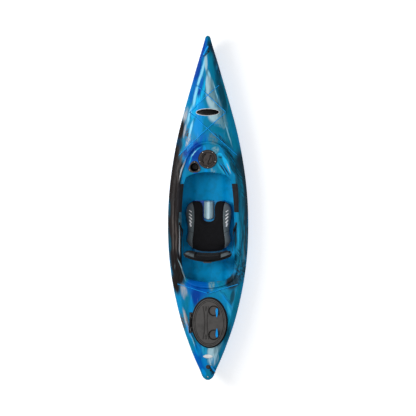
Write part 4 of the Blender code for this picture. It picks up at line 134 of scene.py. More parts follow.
STREAKS = tuple(
    Streak(Shade[shade], (x / 1000, y / 1000), (wide / 1000, long / 1000), lean, edge / 100, grain)
    # Places and half-sizes in millimetres, leans in degrees, soft shares in hundredths
    for shade, x, y, wide, long, lean, edge, grain in (
        # Thin pale lines marked below are painted highlights along ridges and crests
        # bow tip
        ("TEAL", 4, 1508, 23, 49, 0, 50, SOFT), ("ROYAL", -30, 1410, 30, 97, 14, 50, SOFT),
        ("TEAL_DARK", 14, 1400, 20, 79, -10, 60, SOFT), ("DEEP_BLUE", -58, 1367, 21, 124, 16, 50, SOFT),
        ("NAVY", 48, 1376, 19, 106, -17, 60, SOFT), ("TEAL", 39, 1287, 28, 115, -13, 50, STREAKED),
        ("NAVY", 83, 1226, 25, 97, -15, 60, STREAKED), ("DEEP_BLUE", -92, 1215, 30, 130, 15, 50, SOFT),
        ("AZURE", -55, 1200, 13, 110, 15, 60, SOFT), ("ROYAL", -133, 1040, 30, 115, 15, 60, STREAKED),
        # painted highlight: the first row here, a pale cyan line on the bow's port ridge
        ("PALE_CYAN", -40, 1243, 11, 106, 17, 70, SOFT), ("PALE_GREY", -13, 1279, 13, 71, -2, 60, SOFT),
        ("SLATE", -1, 1195, 16, 23, 0, 70, SOFT), ("PALE_CYAN", 12, 1168, 11, 40, -12, 70, SOFT),
        # painted highlight: the second row here, a pale cyan line on the bow's port ridge
        ("PALE_GREY", 6, 1085, 26, 88, -4, 40, SOFT), ("PALE_CYAN", -75, 1133, 10, 71, 16, 70, SOFT),
        ("ROYAL", -57, 1089, 15, 79, 9, 60, SOFT), ("CYAN", -41, 1040, 12, 97, 9, 70, STREAKED),
        # painted highlight: the second row here, a pale cyan line on the bow's port ridge
        ("DEEP_BLUE", -76, 1005, 11, 53, 7, 60, SOFT), ("PALE_CYAN", -112, 987, 14, 106, 13, 70, SOFT),
        ("CYAN", -89, 926, 26, 62, 14, 70, STREAKED), ("TEAL", 65, 1084, 23, 115, -14, 60, STREAKED),
        ("TEAL_DARK", 103, 1102, 26, 115, -15, 60, STREAKED),
        ("GREY_BLUE", 52, 1030, 22, 115, -14, 60, STREAKED), ("PALE_GREY", 26, 968, 37, 106, -10, 40, SOFT),
        ("GREY_BLUE", 36, 1000, 22, 62, -8, 60, SOFT), ("GREY_BLUE", 90, 917, 30, 79, -14, 60, STREAKED),
        # painted highlight: the first row here, a pale cyan line on the starboard edge of the raised foredeck
        # panel
        ("PALE_CYAN", 71, 1027, 4, 79, -16, 80, SOFT), ("TEAL_DARK", 128, 990, 34, 141, -15, 60, SOFT),
        ("TEAL_DARK", 158, 890, 21, 97, -15, 70, STREAKED), ("TEAL", 183, 917, 14, 132, -15, 60, SOFT),
        # ahead of the cockpit
        ("AZURE", -63, 837, 44, 97, 2, 50, STREAKED), ("CYAN", -133, 846, 28, 71, 12, 70, STREAKED),
        ("PALE_CYAN", -163, 820, 12, 79, 12, 70, STREAKED), ("SILVER", -204, 811, 21, 79, 14, 70, STREAKED),
        ("BROWN_BLACK", -244, 687, 37, 106, 12, 50, SOFT), ("SILVER", -199, 705, 10, 71, 12, 60, STREAKED),
        ("BROWN_GREY", -183, 652, 20, 53, 12, 70, MOTTLED), ("PALE_CYAN", -148, 696, 10, 79, 13, 60, SOFT),
        ("SILVER", -172, 599, 17, 53, 20, 70, MOTTLED), ("AZURE", -85, 714, 46, 88, 6, 50, SOFT),
        ("ROYAL", -41, 617, 37, 53, 40, 70, STREAKED), ("PALE_GREY", 60, 820, 60, 75, -10, 35, SOFT),
        ("GREY_BLUE", 126, 800, 42, 85, -14, 50, STREAKED),
        ("GREY_BLUE", 123, 740, 53, 71, -22, 60, MOTTLED), ("TEAL", 190, 775, 30, 106, -15, 60, STREAKED),
        ("TEAL", 90, 690, 85, 30, 10, 60, SOFT), ("TEAL", 189, 617, 57, 71, -20, 60, STREAKED),
        ("PALE_CYAN", 181, 661, 5, 106, -17, 80, SOFT), ("SLATE", 49, 608, 38, 50, -30, 60, MOTTLED),
        ("CHARCOAL_BLUE", 127, 603, 22, 85, -54, 50, SLANTED),
        ("TEAL_DARK", 158, 542, 41, 71, -44, 70, SLANTED), ("TEAL", 242, 564, 23, 79, -18, 60, SOFT),
        ("DEEP_BLUE", -98, 537, 66, 57, 52, 60, SOFT), ("NAVY_BLUE", -186, 493, 37, 53, 30, 70, SOFT),
        ("NAVY", -262, 555, 34, 75, 12, 50, SOFT), ("BROWN_BLACK", -288, 480, 34, 90, 10, 40, SOFT),
        ("AZURE", -153, 546, 19, 62, 38, 70, STREAKED), ("ROYAL", -118, 428, 80, 110, 30, 40, SOFT),
        # painted highlight: the second row here, a cyan line, starts an arc along the dash's port edge
        ("DEEP_BLUE", -110, 478, 70, 50, 50, 60, SOFT), ("CYAN_SOFT", -150, 432, 6, 52, 20, 60, SOFT),
        # painted highlight: both rows here carry on the arc along the dash's port edge
        ("PALE_CYAN", -117, 489, 5, 44, 40, 70, SOFT), ("CYAN_SOFT", -80, 524, 5, 30, 58, 70, SOFT),
        ("AZURE", -27, 518, 35, 14, 85, 70, SOFT), ("GREY_BLUE", 66, 512, 36, 30, -40, 40, MOTTLED),
        ("CYAN", 108, 472, 22, 15, 0, 30, SOFT), ("TEAL_DARK", 189, 458, 30, 71, -34, 60, SLANTED),
        ("TEAL", 114, 422, 32, 53, -30, 60, SOFT), ("CYAN", 168, 388, 18, 85, -26, 40, SOFT),
        ("SILVER", 187, 352, 5, 44, -24, 70, SOFT), ("AZURE", 143, 347, 21, 71, -30, 60, SLANTED),
        ("CYAN_SOFT", 118, 345, 14, 60, -33, 60, SOFT), ("NAVY", 132, 342, 7, 60, -33, 60, SOFT),
        ("NAVY", 160, 340, 6, 64, -33, 60, SOFT), ("TEAL_DARK", 112, 448, 18, 7, 0, 50, SOFT),
        ("GREY_BLUE", 50, 321, 35, 19, 60, 60, MOTTLED), ("AZURE", -13, 324, 28, 18, 80, 60, SOFT),
        ("ROYAL", -107, 309, 62, 23, 80, 60, SOFT), ("TEAL_DARK", 226, 356, 20, 74, -24, 40, SOFT),
        # port side
        ("BROWN_BLACK", -296, 250, 64, 247, 6, 30, SOFT), ("BROWN_BLACK", -246, 318, 26, 106, 12, 50, SOFT),
        # painted highlight: the second row here, a silver line on the port coaming crest
        ("TEAL_DARK", -222, 343, 16, 53, 16, 60, STREAKED), ("SILVER", -226, 330, 6, 97, 17, 70, SOFT),
        ("BROWN_GREY", -245, 414, 10, 88, 14, 80, STREAKED),
        ("BROWN_GREY", -280, 158, 9, 177, 5, 80, STREAKED),
        ("BROWN_BLACK", -300, -125, 68, 406, 0, 30, SOFT), ("TEAL_DARK", -345, -1, 12, 88, 0, 60, STREAKED),
        ("TEAL_DARK", -342, -284, 13, 106, -3, 60, STREAKED),
        ("BROWN_GREY", -308, -194, 10, 247, 0, 70, STREAKED),
        ("BROWN_GREY", -282, -257, 9, 212, -1, 70, STREAKED),
        ("SLATE", -247, -106, 12, 106, 0, 50, STREAKED), ("BROWN_BLACK", -240, -371, 24, 177, -3, 50, SOFT),
        # painted highlight: the first row here, a silver line on the port coaming crest
        ("SILVER", -251, -327, 6, 159, -1, 70, SOFT), ("BROWN_BLACK", -268, -531, 58, 168, -12, 35, SOFT),
        # painted highlight: a pale grey line on the coaming crest behind the cockpit
        ("PALE_GREY", -232, -547, 5, 88, -20, 70, SOFT),
        # starboard side
        ("CHARCOAL_BLUE", 305, 300, 52, 212, -9, 40, SOFT),
        ("TEAL_DARK", 255, 369, 23, 124, -20, 70, SLANTED), ("TEAL", 290, 69, 34, 177, -4, 60, STREAKED),
        ("TEAL_DARK", 262, 150, 16, 159, -4, 60, STREAKED),
        ("CHARCOAL_BLUE", 330, 87, 32, 212, -4, 50, SOFT), ("TEAL", 286, 212, 24, 150, -10, 60, SLANTED),
        ("TEAL", 299, -240, 49, 282, 0, 50, STREAKED), ("TEAL_DARK", 308, -160, 13, 212, -2, 60, STREAKED),
        ("NAVY", 296, -380, 7, 141, 4, 60, STREAKED), ("CYAN_SOFT", 276, -284, 9, 212, 2, 80, STREAKED),
        ("SLATE", 325, -337, 10, 177, 3, 70, STREAKED),
        ("CHARCOAL_BLUE", 338, -213, 20, 265, 0, 50, STREAKED),
        ("TEAL_DARK", 270, -440, 36, 106, 10, 60, SLANTED),
        ("CHARCOAL_BLUE", 290, -560, 48, 115, 12, 50, MOTTLED),
        ("CHARCOAL_BLUE", 247, -250, 11, 100, 0, 50, SOFT), ("TEAL", 281, -480, 22, 55, 8, 50, STREAKED),
        # behind the cockpit
        ("ROYAL", -85, -700, 100, 115, -20, 50, SOFT), ("ROYAL", -120, -655, 44, 92, 66, 50, SOFT),
        ("ROYAL", -45, -703, 46, 37, -80, 60, SOFT), ("BROWN_BLACK", -288, -672, 35, 97, -14, 50, SOFT),
        ("SILVER", -212, -740, 28, 70, -14, 50, STREAKED), ("TEAL", -176, -831, 30, 79, -14, 60, SOFT),
        ("DEEP_BLUE", -108, -785, 46, 88, 12, 60, SOFT), ("AZURE", -150, -890, 22, 106, -4, 60, STREAKED),
        ("GREY_BLUE", 33, -685, 26, 44, 0, 50, MOTTLED), ("SLATE", 87, -641, 30, 21, 60, 70, MOTTLED),
        ("TEAL", 121, -677, 35, 28, 40, 60, SOFT), ("CHARCOAL_BLUE", 215, -655, 60, 75, 22, 50, SOFT),
        ("BROWN_BLACK", 189, -650, 18, 35, 60, 70, MOTTLED),
        ("CYAN_SOFT", 140, -747, 39, 71, -36, 60, SLANTED), ("TEAL", 190, -796, 48, 97, -36, 60, SLANTED),
        ("AZURE", 162, -818, 17, 79, -38, 60, SLANTED), ("NAVY", 153, -783, 8, 88, -38, 60, SLANTED),
        ("NAVY", 190, -835, 8, 88, -36, 60, SLANTED), ("TEAL_DARK", 218, -785, 20, 70, 10, 50, SOFT),
        ("CYAN_SOFT", 187, -919, 13, 79, -12, 70, SOFT), ("TEAL", 207, -972, 26, 106, 14, 60, STREAKED),
        ("TEAL_DARK", 171, -1114, 23, 88, 18, 70, STREAKED),
        # stern
        ("BROWN_GREY", -222, -1016, 19, 79, -16, 60, MOTTLED),
        ("TEAL", -188, -937, 19, 106, -14, 70, STREAKED), ("SILVER", -188, -1015, 14, 120, -14, 50, SOFT),
        ("AZURE", -163, -1105, 18, 88, -20, 60, STREAKED), ("TEAL", -169, -1202, 21, 79, -22, 70, STREAKED),
        # painted highlight: the first row here, a pale cyan line on the stern's port ridge
        ("PALE_CYAN", -109, -1228, 7, 106, -24, 70, SOFT), ("DEEP_BLUE", -75, -1270, 36, 62, -22, 50, SOFT),
        ("CYAN_SOFT", -33, -1272, 26, 62, -10, 60, STREAKED), ("ROYAL", -70, -1350, 50, 106, -24, 50, SOFT),
        ("PALE_GREY", 44, -1262, 46, 70, 14, 30, SOFT), ("PALE_GREY", 46, -1340, 42, 62, 16, 35, STREAKED),
        ("SLATE", 84, -1246, 26, 79, 24, 70, STREAKED), ("AZURE", -31, -1361, 21, 62, -18, 60, STREAKED),
        ("TEAL_DARK", 22, -1414, 19, 35, 10, 70, MOTTLED), ("NAVY", 43, -1449, 23, 35, 26, 60, MOTTLED),
        ("TEAL", -10, -1467, 26, 44, 0, 60, STREAKED), ("AZURE", -89, -1252, 26, 62, -20, 60, SOFT),
        ("AZURE", -36, -1453, 16, 35, -20, 60, SOFT),
    )
)


# Shader expressions


class Value:
    """A shader socket that takes part in Python expressions."""

    def __init__(self, recipe: "Recipe", socket: Socket) -> None:
        """Wraps a socket of a recipe."""
        self.recipe = recipe
        self.socket = socket

    def maths(self, operation: str, first: "Value | float", second: "Value | float" = 0.0) -> "Value":
        """A Math node on two values."""
        return self.recipe.node("Math", {"operation": operation}, {0: first, 1: second})

    def __add__(self, other: "Value | float") -> "Value":
        """Sum."""
        return self.maths("ADD", self, other)

    __radd__ = __add__

    def __mul__(self, other: "Value | float") -> "Value":
        """Product."""
        return self.maths("MULTIPLY", self, other)

    __rmul__ = __mul__

    def __sub__(self, other: "Value | float") -> "Value":
        """Difference."""
        return self.maths("SUBTRACT", self, other)

    def __rsub__(self, other: float) -> "Value":
        """Difference from a number."""
        return self.maths("SUBTRACT", other, self)

    def __truediv__(self, other: "Value | float") -> "Value":
        """Quotient."""
        return self.maths("DIVIDE", self, other)

    def __pow__(self, other: float) -> "Value":
        """Power."""
        return self.maths("POWER", self, other)

    def sine(self) -> "Value":
        """Sine of a value in radians."""
        return self.maths("SINE", self)

    def size(self) -> "Value":
        """Size without sign."""
        return self.maths("ABSOLUTE", self)

    def larger(self, other: "Value | float") -> "Value":
        """Larger of two values."""
        return self.maths("MAXIMUM", self, other)

    def ease(self, low: float, high: float) -> "Value":
        """0 at low, 1 at high and smooth between them; low may be the larger."""
        values = {0: self, 1: low, 2: high, 3: 0.0, 4: 1.0}
        return self.recipe.node("MapRange", {"interpolation_type": "SMOOTHSTEP"}, values)

    def spread(self, low: float, high: float) -> "Value":
        """A 0 to 1 value moved to the span from low to high."""
        return self * (high - low) + low


class Recipe:
    """One material, written as expressions on its sockets."""

    def __init__(self, name: str) -> None:
        """Starts an empty material.

        Args:
            name: The material's name.
        """
        self.material = bpy.data.materials.new(name)
        self.material.use_nodes = True
        self.tree = self.material.node_tree
        self.shader = self.tree.nodes["Principled BSDF"]
        self.place: Value | None = None

    def node(
        self,
        kind: str,
        settings: dict[str, object] | None = None,
        values: dict[str | int, object] | None = None,
        output: str | int = 0,
    ) -> Value:
        """Adds a node.

        Args:
            kind: The node's type after "ShaderNode".
            settings: Its properties, set before its sockets. "stops" fills a colour ramp.
            values: Numbers, colours or values for its input sockets.
            output: The output that is wanted.

        Returns:
            The output as a value.
        """
        made = self.tree.nodes.new("ShaderNode" + kind)
        for key, setting in (settings or {}).items():
            if key == "stops":
                self.fill_ramp(made.color_ramp, setting)
            else:
                setattr(made, key, setting)
        for key, value in (values or {}).items():
            self.feed(made.inputs[key], value)
        return Value(self, made.outputs[output])

    def fill_ramp(self, ramp: bpy.types.ColorRamp, stops: Sequence[tuple[float, Colour]]) -> None:
        """Puts the stops on a colour ramp.

        Args:
            ramp: The ramp to fill.
            stops: Place and colour of each stop.
        """
        while len(ramp.elements) < len(stops):
            ramp.elements.new(1.0)
        for element, (position, colour) in zip(ramp.elements, stops):
            element.position = position
            element.color = (*colour, 1.0)

    def feed(self, socket: Socket, value: object) -> None:
        """Links a value to a socket, or sets the socket to a number or a colour.

        Args:
            socket: The socket to feed.
            value: A shader value, a number or a colour.
        """
        if isinstance(value, Value):
            self.tree.links.new(value.socket, socket)
        elif isinstance(value, tuple) and len(value) == 3 and socket.type == "RGBA":
            socket.default_value = (*value, 1.0)
        else:
            socket.default_value = value

    def coords(self) -> Value:
        """The object coordinates, in metres in the boat's frame.

        Returns:
            The coordinates.
        """
        if self.place is None:
            self.place = self.node("TexCoord", output="Object")
        return self.place

    def uv(self, name: str = "lay") -> tuple[Value, Value]:
        """Both coordinates of the piece's own map, in metres."""
        made = self.node("UVMap", {"uv_map": name})
        return self.part(made, "X"), self.part(made, "Y")

    def part(self, vector: Value, axis: str) -> Value:
        """One component of a vector."""
        return self.node("SeparateXYZ", values={0: vector}, output=axis)

    def joined(self, x: "Value | float", y: "Value | float", z: "Value | float" = 0.0) -> Value:
        """A vector of three values."""
        return self.node("CombineXYZ", values={0: x, 1: y, 2: z})

    def mapped(
        self,
        vector: Value,
        scale: Sequence[float] = (1, 1, 1),
        turn: Sequence[float] = (0, 0, 0),
        shift: Sequence[float] = (0, 0, 0),
        kind: str = "POINT",
    ) -> Value:
        """A vector through a Mapping node."""
        values = {"Vector": vector, "Location": tuple(shift), "Rotation": tuple(turn), "Scale": tuple(scale)}
        return self.node("Mapping", {"vector_type": kind}, values)

    def noise(self, vector: Value, scale: float, detail: float = 3.0, rough: float = 0.55) -> Value:
        """Fractal noise from 0 to 1."""
        values = {"Vector": vector, "Scale": scale, "Detail": detail, "Roughness": rough}
        return self.node("TexNoise", values=values)

    def stretched(
        self, vector: Value, scale: Sequence[float], detail: float = 3.0, rough: float = 0.55
    ) -> Value:
        """Fractal noise with a scale of its own along each axis."""
        return self.noise(self.mapped(vector, scale=scale), 1.0, detail, rough)

    def vectors(self, operation: str, first: Value, second: "Value | Sequence[float]") -> Value:
        """A Vector Math node on two vectors."""
        return self.node("VectorMath", {"operation": operation}, {0: first, 1: second})

    def cells(self, vector: Value, scale: float) -> Value:
        """Distance to the nearest of scattered points."""
        return self.node("TexVoronoi", values={"Vector": vector, "Scale": scale})

    def blend(self, first: "Value | Colour", second: "Value | Colour", share: "Value | float") -> Value:
        """Colour at a share of the way from the first to the second."""
        return self.node("Mix", {"data_type": "RGBA"}, {0: share, 6: first, 7: second}, output=2)

    def bump(self, height: Value, depth: float, strength: float = 1.0) -> Value:
        """A surface normal from a height between 0 and 1 times a depth in metres."""
        return self.node("Bump", values={"Height": height, "Distance": depth, "Strength": strength})

    def peel(self) -> Value:
        """The orange peel of moulded polyethylene, as a surface normal."""
        place = self.coords()
        return self.bump(self.noise(place, 700, 2.0) * 0.6 + self.noise(place, 140, 2.0) * 0.4, 0.00016)

    def finish(self, **sockets: object) -> Material:
        """Feeds the main shader's sockets, named with underscores, and gives the material.

        Args:
            sockets: A value for each socket of the main shader that isn't left as it is.

        Returns:
            The material.
        """
        for name, value in sockets.items():
            self.feed(self.shader.inputs[name.replace("_", " ").title().replace("Ior", "IOR")], value)
        return self.material


# Finishes


@dataclass(frozen=True)
class MarbledDeck:
    """Polyethylene with colours that flowed into each other in the mould, with painted highlight lines on
    some ridges and a partly painted sheen in its pale wisps.
    """

    name: str = "marbled_polyethylene"
    span: tuple[float, float] = (-1.6, 1.6)
    wander: float = 0.024
    # Pale wisps: partly marbling, partly a painted sheen
    wisp: int = 0xBFE6F4
    shadow: int = 0x04222F

    def near(self) -> list[Streak]:
        """The streaks that reach into the span of stations.

        Returns:
            The streaks, in the order of the table.
        """
        low, high = self.span
        found = []
        for streak in STREAKS:
            reach = math.hypot(*streak.size) * (1 + streak.edge) + self.wander
            if low - reach < streak.place[1] < high + reach:
                found.append(streak)
        return found

    def grain(self, recipe: Recipe, plan: Value, lean: float, across: float, along: float) -> Value:
        """A field of long streaks at one lean.

        Args:
            recipe: The material being written.
            plan: Plan coordinates.
            lean: Degrees that the streaks lean to starboard as they go forward.
            across: Noise scale across the streaks.
            along: Noise scale along them.

        Returns:
            A value from 0 to 1.
        """
        turned = recipe.mapped(plan, turn=(0, 0, math.radians(lean)))
        return recipe.stretched(turned, (across, along, 1), 4.0, 0.6)

    def make(self) -> Material:
        """Makes the material with its shader nodes.

        Returns:
            The material.
        """
        recipe = Recipe(self.name)
        place = recipe.coords()
        plan = recipe.joined(recipe.part(place, "X"), recipe.part(place, "Y"))
        values = {"Vector": recipe.mapped(plan, scale=(9, 5, 1)), "Scale": 1.0, "Detail": 4.0}
        swirl = recipe.node("TexNoise", values=values, output="Color")
        centred = recipe.vectors("SUBTRACT", swirl, (0.5, 0.5, 0.5))
        drift = recipe.vectors("MULTIPLY", centred, (self.wander, self.wander * 2, 0))
        warped = recipe.vectors("ADD", plan, drift)
        lengthwise = self.grain(recipe, warped, 0, 95, 7)
        fields = {
            Grain.STREAKED: lengthwise.ease(0.30, 0.58),
            Grain.SLANTED: self.grain(recipe, warped, -36, 120, 9).ease(0.42, 0.56),
            Grain.MOTTLED: recipe.stretched(warped, (70, 42, 1), 5.0, 0.65).ease(0.36, 0.58),
        }
        broad = recipe.stretched(warped, (16, 3, 1), 3.0, 0.5)
        colour = recipe.blend(linear(Shade.TEAL.value), linear(Shade.BASE_BLUE.value), broad.ease(0.35, 0.65))
        for streak in self.near():
            turn = (0, 0, -math.radians(streak.lean))
            local = recipe.mapped(warped, (*streak.size, 1), turn, (*streak.place, 0), "TEXTURE")
            away = recipe.node("VectorMath", {"operation": "LENGTH"}, {0: local}, output="Value")
            share = away.ease(1 + streak.edge * 0.6, 1 - streak.edge * 0.8)
            if streak.grain in fields:
                share = share * fields[streak.grain]
            colour = recipe.blend(colour, linear(streak.shade.value), share)
        # Pale wisps along the grain: partly marbling, partly a painted sheen for highlights that the low
        # gloss leaves out
        colour = recipe.blend(colour, linear(self.wisp), lengthwise.ease(0.60, 0.74) * 0.12)
        colour = recipe.blend(colour, linear(self.shadow), lengthwise.ease(0.40, 0.26) * 0.34)
        return recipe.finish(
            base_color=colour,
            roughness=recipe.noise(place, 22, 3.0).spread(0.26, 0.38),
            normal=recipe.peel(),
            specular_ior_level=0.06,
        )


@dataclass(frozen=True)
class FlowedHull:
    """The hull's blue polyethylene, with broad flowing clouds and a few dark runs under the deck's edge."""

    name: str = "hull_polyethylene"
    blues: tuple[int, int] = (0x0064A8, 0x0090CC)
    run: int = 0x0C2A3A
    wisp: int = 0x7CC4DC

    def make(self) -> Material:
        """Makes the material with its shader nodes.

        Returns:
            The material.
        """
        recipe = Recipe(self.name)
        place = recipe.coords()
        swirl = recipe.stretched(place, (6, 2.2, 9))
        z = recipe.part(place, "Z") + (swirl - 0.5) * 0.10
        warped = recipe.joined(recipe.part(place, "X"), recipe.part(place, "Y"), z)
        broad = recipe.stretched(warped, (5, 1.3, 14), 3.0, 0.5)
        runs = recipe.stretched(warped, (12, 2.6, 46), 5.0, 0.6)
        wisps = recipe.stretched(warped, (20, 3.4, 80), 4.0, 0.6)
        colour = recipe.blend(*map(linear, self.blues), broad.ease(0.36, 0.62))
        colour = recipe.blend(colour, linear(self.run), runs.ease(0.52, 0.68) * z.ease(0.12, 0.24) * 0.8)
        colour = recipe.blend(colour, linear(self.wisp), wisps.ease(0.62, 0.80) * 0.35)
        return recipe.finish(
            base_color=colour,
            roughness=broad.spread(0.26, 0.40),
            normal=recipe.peel(),
            specular_ior_level=0.12,
        )


@dataclass(frozen=True)
class Moulding:
    """Moulded plastic or rubber: a colour that clouds a little, a fine grain and scuffs, and a painted shade
    on the steep walls of a relief where that is asked.
    """

    name: str
    colour: int
    scuff: int
    roughness: tuple[float, float] = (0.42, 0.58)
    grain: float = 900.0
    depth: float = 0.00012
    worn: float = 0.35
    gloss: float = 0.15
    # Whether the steep walls of a relief get a painted shade
    paints_steep_shade: bool = False

    def make(self) -> Material:
        """Makes the material with its shader nodes.

        Returns:
            The material.
        """
        recipe = Recipe(self.name)
        place = recipe.coords()
        cloud = recipe.noise(place, 14, 4.0)
        scratch = recipe.stretched(place, (240, 60, 240), 5.0, 0.7)
        marks = scratch.ease(0.56, 0.80) * cloud.ease(0.42, 0.62) * self.worn
        base = linear(self.colour)
        darker = tuple(c * 0.72 for c in base)
        colour = recipe.blend(darker, base, cloud.ease(0.25, 0.60))
        colour = recipe.blend(colour, linear(self.scuff), marks)
        # Painted shade: steep walls of a relief are mixed towards near-black
        if self.paints_steep_shade:
            steep = recipe.node("Attribute", {"attribute_name": "steep"}, output="Fac")
            colour = recipe.blend(colour, tuple(c * 0.12 for c in base), steep)
        leather = recipe.cells(place, self.grain) * 0.5 + recipe.noise(place, self.grain * 0.7, 2.0) * 0.5
        low, high = self.roughness
        return recipe.finish(
            base_color=colour,
            roughness=(cloud * 0.6 + marks * 0.8).spread(low, high + 0.06),
            normal=recipe.bump(leather, self.depth),
            specular_ior_level=self.gloss,
        )


@dataclass(frozen=True)
class Foam:
    """Closed-cell foam: a faintly mottled, matt skin of small pores."""

    name: str
    colour: int
    pore: float = 1400.0

    def make(self) -> Material:
        """Makes the material with its shader nodes.

        Returns:
            The material.
        """
        recipe = Recipe(self.name)
        place = recipe.coords()
        cloud = recipe.noise(place, 34, 4.0)
        pores = recipe.cells(place, self.pore)
        base = linear(self.colour)
        lighter = tuple(min(c * 1.45 + 0.006, 1.0) for c in base)
        colour = recipe.blend(base, lighter, cloud.ease(0.40, 0.75) * 0.7 + pores * 0.3)
        return recipe.finish(
            base_color=colour,
            roughness=cloud.spread(0.78, 0.92),
            normal=recipe.bump(pores * 0.6 + cloud * 0.4, 0.00025),
            specular_ior_level=0.12,
            sheen_weight=0.03,
            sheen_roughness=0.5,
        )


@dataclass(frozen=True)
class Steel:
    """Stainless steel with fine turning marks."""

    name: str = "stainless_steel"
    colour: int = 0xC4C6C6

    def make(self) -> Material:
        """Makes the material with its shader nodes.

        Returns:
            The material.
        """
        recipe = Recipe(self.name)
        place = recipe.coords()
        marks = recipe.stretched(place, (2600, 300, 2600))
        base = linear(self.colour)
        dark = tuple(c * 0.66 for c in base)
        return recipe.finish(
            base_color=recipe.blend(dark, base, marks.ease(0.30, 0.62)),
            roughness=marks.spread(0.20, 0.42),
            normal=recipe.bump(marks, 0.00004),
            metallic=1.0,
        )


@dataclass(frozen=True)
class Weave:
    """Woven cloth: threads over and under each other, a little uneven, with a soft sheen."""

    name: str
    colour: int
    light: int
    thread: float = 0.0009
    depth: float = 0.00030
    sheen: float = 0.35
    by_map: bool = False
    ribbed: bool = False
    panels: tuple[int, int] | None = None

    def make(self) -> Material:
        """Makes the material with its shader nodes.

        Returns:
            The material.
        """
        recipe = Recipe(self.name)
        place = recipe.coords()
        if self.by_map:
            across, along = recipe.uv()
        else:
            across = recipe.part(place, "X")
            along = recipe.part(place, "Y") + recipe.part(place, "Z") * 0.9
        step = math.pi / self.thread
        warp = (across * step).sine()
        weft = (along * step).sine()
        if self.ribbed:
            over = warp.size() * 0.55 + (weft * warp).ease(-0.6, 0.8) * 0.45
        else:
            over = (warp * weft).ease(-0.8, 0.8)
        worn = recipe.noise(place, 26, 4.0)
        fluff = recipe.noise(place, 1500, 2.0)
        shade = over * 0.55 + worn.ease(0.35, 0.70) * 0.30 + fluff * 0.15
        colour = recipe.blend(linear(self.colour), linear(self.light), shade)
        if self.panels:
            other = recipe.blend(linear(self.panels[0]), linear(self.panels[1]), shade)
            inside = recipe.node("Attribute", {"attribute_name": "wing"}, output="Fac").ease(-0.0006, 0.0006)
            colour = recipe.blend(colour, other, inside)
        return recipe.finish(
            base_color=colour,
            roughness=worn.spread(0.72, 0.92),
            normal=recipe.bump(over * 0.8 + fluff * 0.2, self.depth),
            specular_ior_level=0.12,
            sheen_weight=self.sheen,
            sheen_roughness=0.45,
        )


@dataclass(frozen=True)
class Braid:
    """A braided cord sleeve: crossing strands that wind both ways round the cord."""

    name: str
    colour: int
    dark: int
    strands: int = 8
    pitch: float = 0.0075
    radius: float = 0.0028

    def make(self) -> Material:
        """Makes the material with its shader nodes.

        Returns:
            The material.
        """
        recipe = Recipe(self.name)
        around, along = recipe.uv()
        turns = around * self.strands
        climb = along / self.pitch * 2
        left = ((turns + climb) * math.pi).sine().size()
        right = ((turns - climb) * math.pi).sine().size()
        over = left.larger(right)
        fuzz = recipe.noise(recipe.coords(), 2200, 2.0)
        shade = over.ease(0.20, 0.80) * 0.9 + fuzz * 0.1
        return recipe.finish(
            base_color=recipe.blend(linear(self.dark), linear(self.colour), shade),
            roughness=fuzz.spread(0.55, 0.75),
            normal=recipe.bump(over * 0.85 + fuzz * 0.15, 0.00035),
            specular_ior_level=0.2,
        )


# Curves and meshes


def mix(a: float | Vector, b: float | Vector, t: float) -> float | Vector:
    """The number, or the point, at share t of the way from a to b."""
    return a + (b - a) * t


def smoothstep(low: float, high: float, value: float) -> float:
    """0 at low, 1 at high, and smooth between them."""
    t = min(max((value - low) / (high - low), 0.0), 1.0)
    return t * t * (3 - 2 * t)


def squared(wave: float, power: float) -> float:
    """A sine or cosine drawn out by a power below 1, so that its circle nears a square."""
    return math.copysign(abs(wave) ** power, wave)


def table_value(table: Sequence[tuple[float, float]], x: float) -> float:
    """Smooth value at x of a table of (x, value) stations.

    Args:
        table: The stations, x rising.
        x: The place asked for, held to the table's ends.

    Returns:
        The value.
    """
    last = len(table) - 2
    i = 0
    while i < last and x > table[i + 1][0]:
        i += 1
    (x0, v0), (x1, v1) = table[i], table[i + 1]

    def slope(k: int) -> float:
        """Slope of the table at one of its stations."""
        a, b = table[max(k - 1, 0)], table[min(k + 1, last + 1)]
        return (b[1] - a[1]) / (b[0] - a[0])

    h = x1 - x0
    t = min(max((x - x0) / h, 0.0), 1.0)
    a, b = slope(i) * h, slope(i + 1) * h
    rise = v0 * (1 + 2 * t) * (1 - t) ** 2 + v1 * t * t * (3 - 2 * t)
    return rise + a * t * (1 - t) ** 2 + b * t * t * (t - 1)


def smooth_path(points: Sequence[Sequence[float]], steps: int = 12, mirrored: bool = False) -> Points:
    """Dense points on a smooth curve through the given ones.

    Args:
        points: Points of any one dimension.
        steps: New points for each span.
        mirrored: Whether the ends meet the centre line square.

    Returns:
        The dense points, the given ones among them.
    """
    pts = [Vector(p) for p in points]
    first = pts[0] * 2 - pts[1]
    last = pts[-1] * 2 - pts[-2]
    if mirrored:
        first, last = pts[1].copy(), pts[-2].copy()
        first.x, last.x = -first.x, -last.x
    ghost = [first] + pts + [last]
    dense = []
    for i in range(1, len(ghost) - 2):
        p0, p1, p2, p3 = ghost[i - 1 : i + 3]
        for k in range(steps):
            t = k / steps
            bend = (2 * p0 - 5 * p1 + 4 * p2 - p3) * t * t + (3 * p1 - p0 - 3 * p2 + p3) * t**3
            dense.append(0.5 * (2 * p1 + (p2 - p0) * t + bend))
    dense.append(pts[-1])
    return dense


def plan_path(points: Profile, steps: int = 12, mirrored: bool = False) -> Points:
    """A smooth path at height 0 through plan points."""
    return smooth_path([(x, y, 0) for x, y in points], steps, mirrored)


def lengths_along(points: Sequence[Vector]) -> list[float]:
    """Distance from the first point to each point.

    Args:
        points: The points of a polyline.

    Returns:
        One distance for each point.
    """
    total = [0.0]
    for a, b in zip(points, points[1:]):
        total.append(total[-1] + (b - a).length)
    return total


